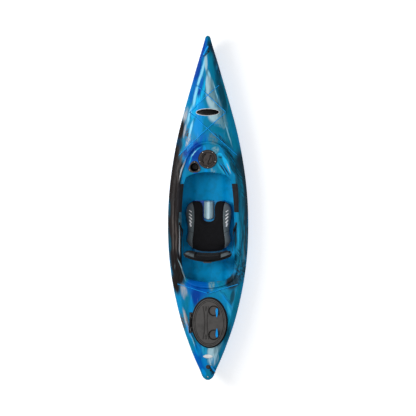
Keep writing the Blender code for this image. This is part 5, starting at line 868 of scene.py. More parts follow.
def at_length(points: Sequence[Vector], along: Sequence[float], s: float) -> Vector:
    """The point at distance s along a polyline.

    Args:
        points: The points of the polyline.
        along: Their distances from its start.
        s: The distance asked for.

    Returns:
        The point.
    """
    low, high = 0, len(along) - 1
    while high - low > 1:
        middle = (low + high) // 2
        if along[middle] <= s:
            low = middle
        else:
            high = middle
    span = along[low + 1] - along[low]
    return mix(points[low], points[low + 1], 0.0 if span == 0 else min((s - along[low]) / span, 1.0))


def evenly(points: Sequence[Vector], count: int) -> Points:
    """The polyline again with count even steps."""
    along = lengths_along(points)
    return [at_length(points, along, along[-1] * k / count) for k in range(count + 1)]


def grid_faces(rows: int, columns: int, wrap: bool = False, start: int = 0) -> list[tuple[int, ...]]:
    """Quads between the points of a grid stored row after row.

    Args:
        rows: Rows of the grid.
        columns: Points in each row.
        wrap: Whether each row is closed.
        start: Index of the grid's first point.

    Returns:
        The faces as tuples of indices.
    """
    faces = []
    for r in range(rows - 1):
        for c in range(columns if wrap else columns - 1):
            a = start + r * columns + c
            b = start + r * columns + (c + 1) % columns
            faces.append((a, b, b + columns, a + columns))
    return faces


def sheets_of(rows: int, columns: int) -> list[tuple[int, ...]]:
    """Quads of two sheets of points, one after the other, each of so many steps."""
    size = (rows + 1) * (columns + 1)
    return [face for start in (0, size) for face in grid_faces(rows + 1, columns + 1, start=start)]


def from_bmesh(bm: bmesh.types.BMesh, name: str, outwards: bool = False) -> Mesh:
    """Ends an edit mesh and gives it as a mesh, its faces turned outwards first if that is asked.

    Args:
        bm: The edit mesh, which is freed.
        name: The mesh's name.
        outwards: Whether the faces are turned outwards first.

    Returns:
        The mesh.
    """
    if outwards:
        bmesh.ops.recalc_face_normals(bm, faces=bm.faces)
    mesh = bpy.data.meshes.new(name)
    bm.to_mesh(mesh)
    bm.free()
    return mesh


def surface_tree(mesh: Mesh) -> BVHTree:
    """A tree that finds points of a mesh by ray."""
    return BVHTree.FromPolygons([v.co for v in mesh.vertices], [tuple(p.vertices) for p in mesh.polygons])


def with_port(verts: Points, faces: list[tuple[int, ...]]) -> tuple[Points, list[tuple[int, ...]]]:
    """Points and faces of a starboard half with the port half added.

    Args:
        verts: The starboard points.
        faces: Their faces.

    Returns:
        The points and the faces of both halves.
    """
    n = len(verts)
    port = [Vector((-v.x, v.y, v.z)) for v in verts]
    return verts + port, faces + [tuple(i + n for i in reversed(f)) for f in faces]


def mesh_of(name: str, verts: Points, faces: Sequence[tuple[int, ...]], weld: float = 1e-6) -> Mesh:
    """A mesh with doubles merged, flat slivers removed and faces turned outwards.

    Args:
        name: The mesh's name.
        verts: Its points.
        faces: Its faces, each a tuple of indices.
        weld: Distance under which points are merged.

    Returns:
        The mesh, smooth shaded.
    """
    bm = bmesh.new()
    made = [bm.verts.new(v) for v in verts]
    for face in faces:
        corners = []
        for i in face:
            if made[i] not in corners:
                corners.append(made[i])
        if len(corners) > 2 and not bm.faces.get(corners):
            bm.faces.new(corners)
    bmesh.ops.remove_doubles(bm, verts=bm.verts, dist=weld)
    bmesh.ops.dissolve_degenerate(bm, dist=1e-7, edges=bm.edges)
    return from_bmesh(bm, name, outwards=True)


def loft(name: str, sections: Grid, half: bool = False, wrap: bool = False, caps: bool = False) -> Mesh:
    """A surface through sections of equal point counts.

    Args:
        name: The mesh's name.
        sections: Rows of points.
        half: Whether the port half is to be added by mirroring.
        wrap: Whether each row is closed.
        caps: Whether the first and last rows are closed with a face.

    Returns:
        The mesh.
    """
    count = len(sections[0])
    verts = [v for section in sections for v in section]
    faces = grid_faces(len(sections), count, wrap)
    if caps:
        faces.append(tuple(range(count)))
        faces.append(tuple(range(len(verts) - count, len(verts))))
    if half:
        faces = [f for f in faces if max(abs(verts[i].x) for i in f) > 1e-9]
        verts, faces = with_port(verts, faces)
    return mesh_of(name, verts, faces)


def face_up(mesh: Mesh) -> Mesh:
    """Turns an open surface so that most of it faces up.

    Args:
        mesh: The surface, which is changed.

    Returns:
        The same mesh.
    """
    if sum(p.normal.z * p.area for p in mesh.polygons) < 0:
        mesh.flip_normals()
    return mesh


def placed(
    origin: Sequence[float], normal: Sequence[float] = (0, 0, 1), along: Sequence[float] = (0, 1, 0)
) -> Matrix:
    """A frame at a point.

    Args:
        origin: The point.
        normal: Direction of its Z.
        along: Direction that its Y keeps as near to as it can.

    Returns:
        The frame as a 4 by 4 matrix.
    """
    z = Vector(normal).normalized()
    y = (Vector(along) - z * z.dot(Vector(along))).normalized()
    turn = Matrix((y.cross(z), y, z)).transposed().to_4x4()
    return Matrix.Translation(Vector(origin)) @ turn


def prism(name: str, outline: Profile, bottom: float, top: float, at: Matrix | None = None) -> Mesh:
    """An extruded outline between two heights in a frame.

    Args:
        name: The mesh's name.
        outline: Its corners in the frame.
        bottom: Its lower height.
        top: Its upper height.
        at: The frame, or the boat's own if none is given.

    Returns:
        The mesh.
    """
    at = at or Matrix.Identity(4)
    rows = [[at @ Vector((p[0], p[1], z)) for p in outline] for z in (bottom, top)]
    return loft(name, rows, wrap=True, caps=True)


def between(first: Points, second: Points, share: float) -> Points:
    """The row of points at a share of the way from one row to another."""
    return [mix(p, q, share) for p, q in zip(first, second)]


def turns(count: int) -> list[float]:
    """Even angles round a circle."""
    return [2 * math.pi * k / count for k in range(count)]


def disc(radius: float, sides: int) -> list[tuple[float, float]]:
    """Points of a circle."""
    return [(radius * math.cos(a), radius * math.sin(a)) for a in turns(sides)]


def circle(at: Matrix, radius: float, height: float, sides: int) -> Points:
    """A circle round the Z of a frame."""
    return [at @ Vector((x, y, height)) for x, y in disc(radius, sides)]


def relief(at: Matrix, radii: Sequence[float], sides: int, level: Callable[[float, float], float]) -> Grid:
    """Circles round the Z of a frame, each point at the height that a function gives it."""
    return [[at @ Vector((x, y, level(x, y))) for x, y in disc(r, sides)] for r in radii]


def frames_around(at: Matrix, radius: float, height: float, count: int, first: float) -> list[Matrix]:
    """Even frames round the Z of a frame, the first at an angle in degrees."""
    angles = (math.radians(first + 360 / count * k) for k in range(count))
    return [at @ Matrix.Translation((radius * math.cos(a), radius * math.sin(a), height)) for a in angles]


def spun(name: str, profile: Profile, at: Matrix, sides: int = 64, closed: bool = False) -> Mesh:
    """A turned mesh.

    Args:
        name: The mesh's name.
        profile: Radius and height pairs; an open one starts and ends on the axis.
        at: Frame whose Z is the axis.
        sides: Steps round the axis.
        closed: Whether the profile closes on itself, as a ring's does.

    Returns:
        The mesh.
    """
    stops = list(profile) + list(profile[:1] if closed else ())
    return loft(name, [circle(at, radius, height, sides) for radius, height in stops], wrap=True)


def rounded(profile: Profile, radii: Sequence[float], closed: bool = False, steps: int = 3) -> Profile:
    """A profile with its corners rounded.

    Args:
        profile: Its corner points.
        radii: Length taken from each side of a corner, one for each point.
        closed: Whether the last point joins the first.
        steps: New points in each rounded corner.

    Returns:
        The rounded profile.
    """
    pts = [Vector(p) for p in profile]
    out = []
    for i, (p, r) in enumerate(zip(pts, radii)):
        ends = not closed and i in (0, len(pts) - 1)
        if r <= 0 or ends:
            out.append(tuple(p))
            continue
        before, after = pts[i - 1], pts[(i + 1) % len(pts)]
        a = p + (before - p).normalized() * min(r, (before - p).length * 0.49)
        b = p + (after - p).normalized() * min(r, (after - p).length * 0.49)
        for k in range(steps + 1):
            t = k / steps
            out.append(tuple(mix(mix(a, p, t), mix(p, b, t), t)))
    return out


def barrel(name: str, radius: float, low: float, high: float, edge: float, at: Matrix, sides: int) -> Mesh:
    """A round bar between two heights on the Z of a frame, its rims rounded by an edge."""
    profile = [(0, low), (radius, low), (radius, high), (0, high)]
    return spun(name, rounded(profile, (0, edge, edge, 0), steps=2), at, sides)


def tube(
    name: str, rings: Grid, across: Sequence[float], along: Sequence[float], cyclic: bool = False
) -> Mesh:
    """A closed skin over rings of points, with a map named "lay".

    Args:
        name: The mesh's name.
        rings: The rings, from end to end.
        across: U of each point of a ring, and then of its first point again.
        along: V of each ring.
        cyclic: Whether the last ring lies on the first.

    Returns:
        The mesh.
    """
    sides = len(rings[0])
    bm = bmesh.new()
    layer = bm.loops.layers.uv.new("lay")
    made = [[bm.verts.new(v) for v in ring] for ring in (rings[:-1] if cyclic else rings)]
    if cyclic:
        turn = min(range(sides), key=lambda s: (rings[-1][s] - rings[0][0]).length)
        made.append([made[0][(s - turn) % sides] for s in range(sides)])
    for k in range(len(made) - 1):
        for s in range(sides):
            corners = ((k, s), (k, s + 1), (k + 1, s + 1), (k + 1, s))
            face = bm.faces.new([made[i][j % sides] for i, j in corners])
            for loop, (i, j) in zip(face.loops, corners):
                loop[layer].uv = (across[j], along[i])
    if not cyclic:
        bm.faces.new(made[0])
        bm.faces.new(made[-1])
    return from_bmesh(bm, name, outwards=True)


def sweep(
    name: str,
    points: Points,
    radius: float,
    sides: int = 12,
    cyclic: bool = False,
    swell: Sequence[float] | None = None,
) -> Mesh:
    """A round tube along points, with its length and girth in a map named "lay".

    Args:
        name: The mesh's name.
        points: The centre line.
        radius: The tube's radius.
        sides: Points round it.
        cyclic: Whether its end joins its start.
        swell: Share of the radius at each point.

    Returns:
        The mesh, with the turn round the tube as U and the length along it in metres as V.
    """
    pts = list(points) + ([points[0]] if cyclic else [])
    count = len(pts)
    along = lengths_along(pts)
    rings = []
    side = None
    for k, p in enumerate(pts):
        before = pts[k - 1] if k else (pts[-2] if cyclic else p)
        after = pts[k + 1] if k < count - 1 else (pts[1] if cyclic else p)
        d = (after - before).normalized()
        if side is None:
            side = d.orthogonal().normalized()
        side = (side - d * side.dot(d)).normalized()
        other = d.cross(side)
        r = radius * (swell[k % len(points)] if swell else 1.0)
        rings.append([p + (side * math.cos(a) + other * math.sin(a)) * r for a in turns(sides)])
    return tube(name, rings, [s / sides for s in range(sides + 1)], along, cyclic)


def joined_mesh(name: str, meshes: Sequence[Mesh]) -> Mesh:
    """Several meshes as one, without welding them.

    Args:
        name: The new mesh's name.
        meshes: The meshes to join, which stay as they are.

    Returns:
        The joined mesh.
    """
    bm = bmesh.new()
    for mesh in meshes:
        bm.from_mesh(mesh)
    return from_bmesh(bm, name)


def port_copy(mesh: Mesh) -> Mesh:
    """The same mesh on the other side of the boat, faces still outwards.

    Args:
        mesh: The starboard mesh, which stays as it is.

    Returns:
        The port mesh.
    """
    other = mesh.copy()
    other.transform(Matrix.Scale(-1, 4, (1, 0, 0)))
    other.flip_normals()
    return other


class Workshop:
    """Makes objects out of meshes, runs modifiers on them and hands them to the frame."""

    def __init__(self) -> None:
        """Starts with no finishes and no pieces."""
        self.collection = bpy.context.scene.collection
        self.finishes: dict[str, Material] = {}
        self.count = 0

    def material(self, finish: object) -> Material:
        """A finish's material, made once.

        Args:
            finish: The finish, which has a name and a make method.

        Returns:
            The material.
        """
        if finish.name not in self.finishes:
            self.finishes[finish.name] = finish.make()
        return self.finishes[finish.name]

    def raw(self, name: str, mesh: Mesh) -> Object:
        """A plain object with a mesh.

        Args:
            name: The object's name.
            mesh: Its mesh.

        Returns:
            The object.
        """
        obj = bpy.data.objects.new(name, mesh)
        self.collection.objects.link(obj)
        return obj

    def baked(self, obj: Object) -> Object:
        """Turns an object's modifiers into plain mesh.

        Args:
            obj: The object, which is changed.

        Returns:
            The same object.
        """
        graph = bpy.context.evaluated_depsgraph_get()
        graph.update()
        mesh = bpy.data.meshes.new_from_object(obj.evaluated_get(graph))
        mesh.name = obj.name
        obj.modifiers.clear()
        obj.data = mesh
        return obj

    def modify(self, obj: Object, kind: str, **settings: object) -> Object:
        """Adds a modifier and sets it.

        Args:
            obj: The object, which is changed.
            kind: The modifier's type.
            settings: Its properties.

        Returns:
            The same object.
        """
        made = obj.modifiers.new(kind.lower(), kind)
        for key, value in settings.items():
            setattr(made, key, value)
        return obj

    def cut(self, obj: Object, cutter: Mesh) -> Object:
        """Cuts a mesh out of an object for good.

        Args:
            obj: The object, which is changed.
            cutter: The mesh to take away from it.

        Returns:
            The same object.
        """
        tool = self.raw("cutter", cutter)
        self.modify(obj, "BOOLEAN", operation="DIFFERENCE", solver="EXACT", object=tool)
        self.baked(obj)
        bpy.data.objects.remove(tool)
        return obj

    def piece(
        self,
        name: str,
        mesh: Mesh | Object,
        finish: object,
        body: str,
        slot: str,
        stands_for: Sequence[str] = (),
        crease: float = 38.0,
        bend: tuple[str, Vector, Vector] | None = None,
    ) -> Object:
        """A finished piece on the frame.

        Args:
            name: Its name.
            mesh: Its mesh, or an object that already holds it.
            finish: The finish it wears.
            body: The CAD body that it rides on.
            slot: The record's material slot; not used.
            stands_for: CAD nodes that it replaces.
            crease: Degrees over which an edge stays sharp.
            bend: A second body and two points; when given, the piece is left unattached with its place baked
                into its mesh, and nothing else is done with them.

        Returns:
            The piece.
        """
        obj = mesh if isinstance(mesh, Object) else self.raw(name, mesh)
        obj.name = name
        if obj.modifiers:
            self.baked(obj)
        obj.data.materials.clear()
        obj.data.materials.append(self.material(finish))
        obj.data.polygons.foreach_set("use_smooth", [True] * len(obj.data.polygons))
        obj.data.set_sharp_from_angle(angle=math.radians(crease))
        # A relief's steepness is stored for the painted shade on its steep walls
        if getattr(finish, "paints_steep_shade", False):
            self.store_steep_shade(obj.data)
        if bend:
            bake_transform(obj)
        else:
            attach(obj, body)
        if stands_for:
            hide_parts(*stands_for)
        self.count += 1
        log.info("piece %s: %d faces on %s", name, len(obj.data.polygons), body)
        return obj

    def store_steep_shade(self, mesh: Mesh) -> None:
        """Stores how steep a lid's relief is at each point, for a painted shade that darkens its steep walls.

        Args:
            mesh: The lid's mesh, which is changed.
        """
        steep = mesh.attributes.new("steep", "FLOAT", "POINT")
        for v, stored in zip(mesh.vertices, steep.data):
            stored.value = smoothstep(0.010, 0.110, 1 - abs(v.normal.z))

    def extra(self, obj: Object, finish: object, test: Callable[[bpy.types.MeshPolygon], bool]) -> None:
        """Gives the faces of a piece that pass a test another finish.

        Args:
            obj: The piece, which is changed.
            finish: The other finish.
            test: Says of a face whether it gets that finish.
        """
        obj.data.materials.append(self.material(finish))
        index = len(obj.data.materials) - 1
        for face in obj.data.polygons:
            if test(face):
                face.material_index = index

    def softened(self, node: str, width: float, segments: int = 2) -> Object:
        """A merged copy of a CAD node's mesh with its edges rounded.

        Args:
            node: The CAD node's name.
            width: Width of the rounding.
            segments: Faces across the rounding.

        Returns:
            An object with the copy.
        """
        bm = bmesh.new()
        bm.from_mesh(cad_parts[node].data)
        bmesh.ops.remove_doubles(bm, verts=bm.verts, dist=1e-6)
        bmesh.ops.dissolve_limit(bm, angle_limit=math.radians(1.5), verts=bm.verts, edges=bm.edges)
        obj = self.raw(node + "_copy", from_bmesh(bm, node + "_copy"))
        limit = math.radians(30.0)
        self.modify(obj, "BEVEL", width=width, segments=segments, limit_method="ANGLE", angle_limit=limit)
        return self.baked(obj)

    def soft_piece(
        self,
        node: str,
        ending: str,
        width: float,
        finish: object,
        body: str,
        slot: str,
        crease: float,
        segments: int = 2,
    ) -> None:
        """A piece that is a CAD node with its edges rounded.

        Args:
            node: The node that it copies and replaces.
            ending: What the piece's name adds to the node's.
            width: Width of the rounding.
            finish: The finish it wears.
            body: The CAD body that it rides on.
            slot: The record's material slot.
            crease: Degrees over which an edge stays sharp.
            segments: Faces across the rounding.
        """
        obj = self.softened(node, width, segments)
        self.piece(f"{node}_{ending}", obj, finish, body, slot, [node], crease)

    def refinish(self, finish: object, *nodes: str) -> None:
        """Gives carried-over CAD nodes a finish.

        Args:
            finish: The finish.
            nodes: Names of the nodes.
        """
        for name in nodes:
            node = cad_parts[name]
            node.data.materials.clear()
            node.data.materials.append(self.material(finish))
            log.info("node %s: %s", name, finish.name)


# Lines of the boat


@dataclass(frozen=True)
class Lines:
    """The boat's plan, sheer, keel and deck, from the same stations as the solids."""

    half_length: float = 1.524
    half_width: float = 0.357
    wall: float = 0.004
    skirt: float = 0.014
    lap: float = 0.0048
    rim_drop: float = 0.004
    shoulder_inset: float = 0.050
    plan: tuple = (
        (-1.000, 0.112), (-0.953, 0.180), (-0.884, 0.312), (-0.814, 0.435), (-0.676, 0.642), (-0.537, 0.797),
        (-0.398, 0.910), (-0.259, 0.977), (-0.119, 1.000), (0.020, 0.988), (0.158, 0.939), (0.297, 0.852),
        (0.436, 0.733), (0.575, 0.577), (0.715, 0.407), (0.854, 0.233), (0.940, 0.119), (1.000, 0.050),
    )
    centre: tuple = (
        (-1.00, 0.282), (-0.86, 0.271), (-0.66, 0.263), (-0.45, 0.266), (0.00, 0.285), (0.20, 0.308),
        (0.37, 0.328), (0.55, 0.328), (0.80, 0.322), (1.00, 0.312),
    )
    crest: tuple = (
        (-0.70, 0.285), (-0.50, 0.281), (-0.30, 0.283), (-0.10, 0.290), (0.10, 0.302), (0.285, 0.322),
        (0.43, 0.339), (0.58, 0.352),
    )
    section: tuple = (
        (0.00, 0.000, 0.00, 0.00), (0.22, 0.045, 0.18, 0.12), (0.36, 0.050, 0.30, 0.22),
        (0.46, 0.000, 0.40, 0.31), (0.58, 0.000, 0.50, 0.41), (0.74, 0.110, 0.62, 0.53),
        (0.90, 0.360, 0.78, 0.70), (0.975, 0.660, 0.90, 0.86), (1.00, 1.000, 1.00, 1.00),
    )
    opening: tuple = (
        (0.000, 0.316), (0.106, 0.303), (0.178, 0.276), (0.207, 0.215), (0.2285, 0.000), (0.234, -0.200),
        (0.234, -0.450), (0.219, -0.570), (0.160, -0.632), (0.000, -0.656),
    )
    coaming: tuple = (
        (0.000, 0.576), (0.080, 0.558), (0.150, 0.502), (0.206, 0.405), (0.243, 0.285), (0.262, 0.150),
        (0.268, -0.050), (0.270, -0.300), (0.262, -0.480), (0.232, -0.600), (0.165, -0.664),
        (0.083, -0.692), (0.000, -0.700),
    )
    tip_stops: tuple = (0.0, 0.009, 0.027, 0.068, 0.135, 0.225, 0.335, 0.465, 0.620, 0.800, 1.0)
    hatch: tuple = (0.014, -1.014, 0.1625, 0.226, 0.268)
    dash_rise: float = 0.10

    def tip_distance(self, y: float) -> float:
        """Distance from a station to the nearer tip."""
        return max(self.half_length - abs(y), 0.0)

    def half_beam(self, y: float) -> float:
        """Half-width of the plan outline.

        Args:
            y: The station.

        Returns:
            The half-width.
        """
        radius = 0.022 if y > 0 else 0.045
        d = self.tip_distance(y)
        rounding = 1.0 if d >= radius else math.sqrt(max(1 - (1 - d / radius) ** 2, 0.0))
        return self.half_width * table_value(self.plan, y / self.half_length) * rounding

    def sheer_z(self, y: float) -> float:
        """Height of the gunwale."""
        return mix(0.238, 0.288 if y > 0 else 0.266, (abs(y) / self.half_length) ** 2.2)

    def keel_z(self, y: float) -> float:
        """Height of the keel line.

        Args:
            y: The station.

        Returns:
            The height.
        """
        d = self.tip_distance(y)
        rise, rake = (0.225, 0.045) if y > 0 else (0.200, 0.038)
        rocker = 0.020 * max(0.0, 1 - d / 0.62) ** 2
        return rocker + (rise * math.exp(-d / rake) if d < 0.31 else 0.0)

    def shoulder_half(self, y: float) -> float:
        """Half-width at the deck's shoulder line."""
        return max(self.half_beam(y) - self.shoulder_inset, 0.0)

    def deck_z(self, x: float, y: float) -> float:
        """Height of the deck's outer surface, without the coaming.

        Args:
            x: Place across.
            y: The station.

        Returns:
            The height.
        """
        x = abs(x)
        sheer, half = self.sheer_z(y), self.half_beam(y)
        centre = table_value(self.centre, y / self.half_length)
        s = max(half - self.shoulder_inset, 0.0)
        shoulder = mix(centre, sheer + 0.030, smoothstep(0, 0.11, s))
        edge = min(half - x, self.tip_distance(y))
        share = min(max(edge / self.shoulder_inset, 0.0), 1.0)
        if share < 1:
            z = mix(sheer, shoulder, math.sin(share * math.pi / 2))
        else:
            z = mix(centre, shoulder, (x / s) ** 2.2 if s else 0.0)
        bead = (edge - self.shoulder_inset) / 0.012
        z += 0.003 * math.exp(-bead * bead) * smoothstep(0, 0.11, s)
        inside = (1.170 - y) * 0.345 - x
        z += 0.010 * smoothstep(-0.008, 0.012, inside) * smoothstep(0.42, 0.57, y)
        _, cy, wide, long, level = self.hatch
        reach = math.hypot(x / wide, (y - cy) / long)
        flat = smoothstep(1.30, 1.04, reach) * smoothstep(0.050, 0.062, edge)
        return mix(z, level - 0.002, flat)

    def on_deck(self, points: Points) -> Points:
        """The plan points on the deck's outer surface."""
        return [Vector((p.x, p.y, self.deck_z(p.x, p.y))) for p in points]

    def dash_z(self, y: float) -> float:
        """Height of the flat dash."""
        return 0.312 + self.dash_rise * (y - 0.285)

    def dash_frame(self, x: float, y: float) -> Matrix:
        """A frame on the dash, Z square to it."""
        tilt = math.atan(self.dash_rise)
        return placed((x, y, self.dash_z(y)), (0, -math.sin(tilt), math.cos(tilt)))

    def at_columns(
        self, points: Points, front_y: float, aft_y: float, per: int, tips: bool = False
    ) -> Points:
        """A half outline at the columns of the loft.

        Args:
            points: The outline, bow to stern.
            front_y: Station of the cockpit's front corner on it.
            aft_y: Station of the cockpit's aft corner on it.
            per: Columns for each column of the solids.
            tips: Whether the outer columns crowd towards the tips.

        Returns:
            One point for each column.
        """
        along = lengths_along(points)
        front = next(s for p, s in zip(points, along) if p.y <= front_y)
        aft = next(s for p, s in zip(points, along) if p.y <= aft_y)
        total = along[-1]
        coarse = self.tip_stops if tips else [k / 10 for k in range(11)]
        shares = []
        for a, b in zip(coarse, coarse[1:]):
            shares += [mix(a, b, k / per) for k in range(per)]
        stops = [front * share for share in shares]
        stops += [mix(front, aft, k / (8 * per)) for k in range(8 * per)]
        stops += [total - (total - aft) * share for share in reversed(shares + [1.0])]
        out = [at_length(points, along, s) for s in stops]
        out[0].x = out[-1].x = 0.0
        return out

    def offset(self, points: Points, distance: float) -> Points:
        """A half outline moved outwards in plan by a distance, mitred at its corners.

        Args:
            points: The half outline, bow to stern.
            distance: The distance, below 0 for inwards.

        Returns:
            The moved half outline, with as many points.
        """
        before = Vector((-points[1].x, points[1].y, 0))
        after = Vector((-points[-2].x, points[-2].y, 0))
        ring = [before] + points + [after]
        out = []
        for a, b, c in zip(ring, ring[1:], ring[2:]):
            n1 = Vector((a.y - b.y, b.x - a.x, 0)).normalized()
            n2 = Vector((b.y - c.y, c.x - b.x, 0)).normalized()
            n = (n1 + n2).normalized()
            out.append(b + n * (distance / max(n.dot(n1), 0.4)))
        out[0].x = out[-1].x = 0.0
        return out

    def outline(self, half: Callable[[float], float], per: int, front_y: float, aft_y: float) -> Points:
        """A plan outline from a half-width function, at the columns of the loft.

        Args:
            half: Half-width at a station.
            per: Columns for each column of the solids.
            front_y: Station of the cockpit's front corner on it.
            aft_y: Station of the cockpit's aft corner on it.

        Returns:
            One point for each column.
        """
        dense = []
        for k in range(1601):
            y = self.half_length * math.cos(math.pi * k / 1600)
            if half(y) > 0 or k in (0, 1600):
                dense.append(Vector((half(y), y, 0)))
        if dense[0].x == 0 and half(dense[1].y) > 0 and half(self.half_length) == 0:
            dense = [p for p in dense if p.x > 0]
            dense = [Vector((0, dense[0].y, 0))] + dense + [Vector((0, dense[-1].y, 0))]
        return self.at_columns(dense, front_y, aft_y, per, tips=True)

    def plan_curve(self, points: Profile) -> Points:
        """A smooth half outline from named plan points."""
        return plan_path(points, 40, mirrored=True)


LINES = Lines()
DRAIN_Y = -1.406


@dataclass
class Shells:
    """The hull and deck mouldings."""

    shop: Workshop
    per: int = 8
    bands: int = 26
    deck_tree: BVHTree | None = None

    def deck_rings(self) -> Grid:
        """The deck's outer surface as rings, from the cockpit's rolled lip to the foot of the skirt.

        Returns:
            The rings, each from bow to stern on the starboard side.
        """
        per = self.per
        opening = LINES.at_columns(LINES.plan_curve(LINES.opening), 0.235, -0.580, per)
        crest = LINES.at_columns(LINES.plan_curve(LINES.coaming), 0.285, -0.600, per)
        shoulder = LINES.outline(LINES.shoulder_half, per, 0.30, -0.62)
        gunwale = LINES.outline(LINES.half_beam, per, 0.32, -0.64)
        tops = [table_value(LINES.crest, p.y) for p in crest]

        def on_dash(p: Vector, side_z: float) -> Vector:
            """The point at the side's height, or on the dash where that is."""
            return Vector((p.x, p.y, mix(side_z, LINES.dash_z(p.y), smoothstep(0.190, 0.262, p.y))))

        def ridge(distance: float, share: float) -> Points:
            """A ring beside the crest, a share of the way up it.

            Args:
                distance: Distance from the crest, below 0 for inwards.
                share: Share of the way up.

            Returns:
                The ring.
            """
            plan = LINES.offset(crest, distance)
            foot = feet[0] if distance < 0 else feet[1]
            return [Vector((p.x, p.y, mix(f.z, z, share))) for p, f, z in zip(plan, foot, tops)]

        inner = [on_dash(p, z - 0.0084) for p, z in zip(LINES.offset(crest, -0.019), tops)]
        outer = LINES.on_deck(LINES.offset(crest, 0.019))
        feet = (inner, outer)
        lip = [on_dash(p, z - 0.030) for p, z in zip(opening, tops)]
        down = Vector((0, 0, -1))
        rings = [[p + down * 0.012 for p in lip]]
        for t in (0.0, 0.25, 0.5, 0.75, 1.0):
            row = []
            for p, q in zip(lip, inner):
                a, b = p + down * 0.006, p + (q - p).normalized() * 0.006
                row.append(mix(mix(a, p, t), mix(p, b, t), t))
            rings.append(row)
        rings += [between(lip, inner, 0.14 + 0.86 * k / 3) for k in (1, 2, 3)]
        flank = ((0.0165, 0.04), (0.014, 0.22), (0.0115, 0.52), (0.009, 0.82), (0.006, 0.97), (0.002, 1.0))
        rings += [ridge(-distance, share) for distance, share in flank]
        rings += [ridge(distance, share) for distance, share in reversed(flank)]
        for k in range(self.bands + 1):
            rings.append(LINES.on_deck(between(outer, shoulder, k / self.bands)))
        rings += [LINES.on_deck(between(shoulder, gunwale, k / 9)) for k in range(1, 9)]
        for z in (0.0, -0.0015, -0.004, 0.0005 - LINES.skirt):
            rings.append([Vector((p.x, p.y, LINES.sheer_z(p.y) + z)) for p in gunwale])
        under = LINES.offset(gunwale, -0.0008)
        rings.append([Vector((p.x, p.y, LINES.sheer_z(p.y) - LINES.skirt)) for p in under])
        return rings

    def seat_outline(self, margin: float, left: float, half: float) -> Points:
        """The stern hatch's oval with a margin, widened to port for the hinge.

        Args:
            margin: The margin round the oval.
            left: Station across of the hinge's port edge.
            half: Half-length of the hinge's seat.

        Returns:
            The outline.
        """
        cx, cy = LINES.hatch[:2]
        reach = half + margin
        out: Points = []
        for p in oval(96, -margin):
            if p.x > cx or abs(p.y - cy) > reach:
                out.append(p)
            elif out[-1].x > left:
                out += [Vector((left - margin, cy + mix(reach, -reach, k / 5))) for k in range(6)]
        return out

    def make_deck(self) -> None:
        """Lofts the deck, walls it and cuts its openings."""
        skin = face_up(loft("deck", self.deck_rings(), half=True))
        self.deck_tree = surface_tree(skin)
        deck = self.shop.raw("deck_moulding", skin)
        self.shop.modify(deck, "SOLIDIFY", thickness=LINES.wall, offset=-1, use_even_offset=False)
        self.shop.baked(deck)
        dash = LINES.dash_frame(0, 0.430)
        cup = LINES.dash_frame(-0.116, 0.359)
        holes = [
            prism("dash_hole", disc(0.0655, 64), -0.03, 0.04, dash),
            prism("cup_hole", disc(0.0400, 48), -0.03, 0.04, cup),
            prism("drain_hole", disc(0.0134, 32), 0.24, 0.30, placed((0, DRAIN_Y, 0))),
        ]
        self.shop.cut(deck, joined_mesh("holes", holes))
        level = LINES.hatch[4]
        pocket = self.seat_outline(0.002, -0.1685, 0.090)
        self.shop.cut(deck, prism("pocket", pocket, level, level + 0.05))
        self.shop.cut(deck, prism("hatch_hole", oval(96, 0.0063), level - 0.09, level + 0.05))
        stops = (1.60, 0.95, 0.42, -0.12, -0.66, -1.60)
        spans = [(low, high) for high, low in zip(stops, stops[1:])]
        zones = [MarbledDeck(f"marbled_polyethylene_{k}", span) for k, span in enumerate(spans, 1)]
        self.shop.piece("deck_moulding", deck, zones[0], "kayak", "deck_polyethylene", ["deck_shell"], 34)
        for zone in zones[1:]:
            self.shop.extra(deck, zone, lambda face, high=zone.span[1]: face.center.y <= high)

    def make_hull(self) -> None:
        """Lofts the hull with its walls, from the lap under the deck down to the keel and back inside."""
        line = LINES.outline(LINES.half_beam, 6, 0.32, -0.64)
        rim = LINES.offset(line, -LINES.lap)
        neck = LINES.offset(line, -LINES.lap - LINES.wall)
        shares = smooth_path(LINES.section, 4)
        columns = []
        for p, q, n in zip(line, rim, neck):
            stem = smoothstep(0.42, 0.96, abs(p.y) / LINES.half_length)
            sheer = LINES.sheer_z(p.y)
            seam, top = sheer - LINES.skirt, sheer - LINES.rim_drop
            keel = LINES.keel_z(p.y)

            def row(beam: float, floor: float, roof: float) -> Points:
                """Points of one section, keel to roof.

                Args:
                    beam: Half-width of the section.
                    floor: Height of its keel.
                    roof: Height of its upper edge.

                Returns:
                    The points.
                """
                out = []
                for mx, mz, ex, ez in shares:
                    z = max(mix(floor, roof, mix(mz, ez, stem)), 0.0)
                    out.append(Vector((max(mix(mx, ex, stem), 0) * beam, p.y, z)))
                return out

            outer = row(p.x, keel, seam - 0.0012)
            lap = [Vector((p.x - 0.0008, p.y, seam - 0.0003)), Vector((max(q.x, 0), q.y, seam - 0.0003))]
            lap.append(Vector((max(q.x, 0), q.y, top)))
            floor = min(keel + LINES.wall + 0.012 * stem, seam - 0.006)
            inner = row(max(p.x - LINES.wall * 1.04, 0.0), floor, max(seam - 3 * LINES.wall, floor + 0.001))
            roofs = [Vector((max(n.x, 0), n.y, z)) for z in (top, seam - LINES.wall)]
            columns.append(outer + lap + roofs + inner[::-1])
        mesh = loft("hull", columns, half=True)
        slot, nodes = "hull_polyethylene", ["hull_shell"]
        hull = self.shop.piece("hull_moulding", mesh, HULL_BLUE, "kayak", slot, nodes, 46)

        def inside(face: bpy.types.MeshPolygon) -> bool:
            """Whether a face is on the inner side of the hull."""
            return face.normal.z > 0.02 and face.center.z < LINES.sheer_z(face.center.y) - 0.02

        self.shop.extra(hull, HULL_INSIDE, inside)

    def height(self, x: float, y: float) -> float:
        """Height of the deck's top over a plan point."""
        hit = self.deck_tree.ray_cast(Vector((x, y, 1.0)), Vector((0, 0, -1)))
        return hit[0].z

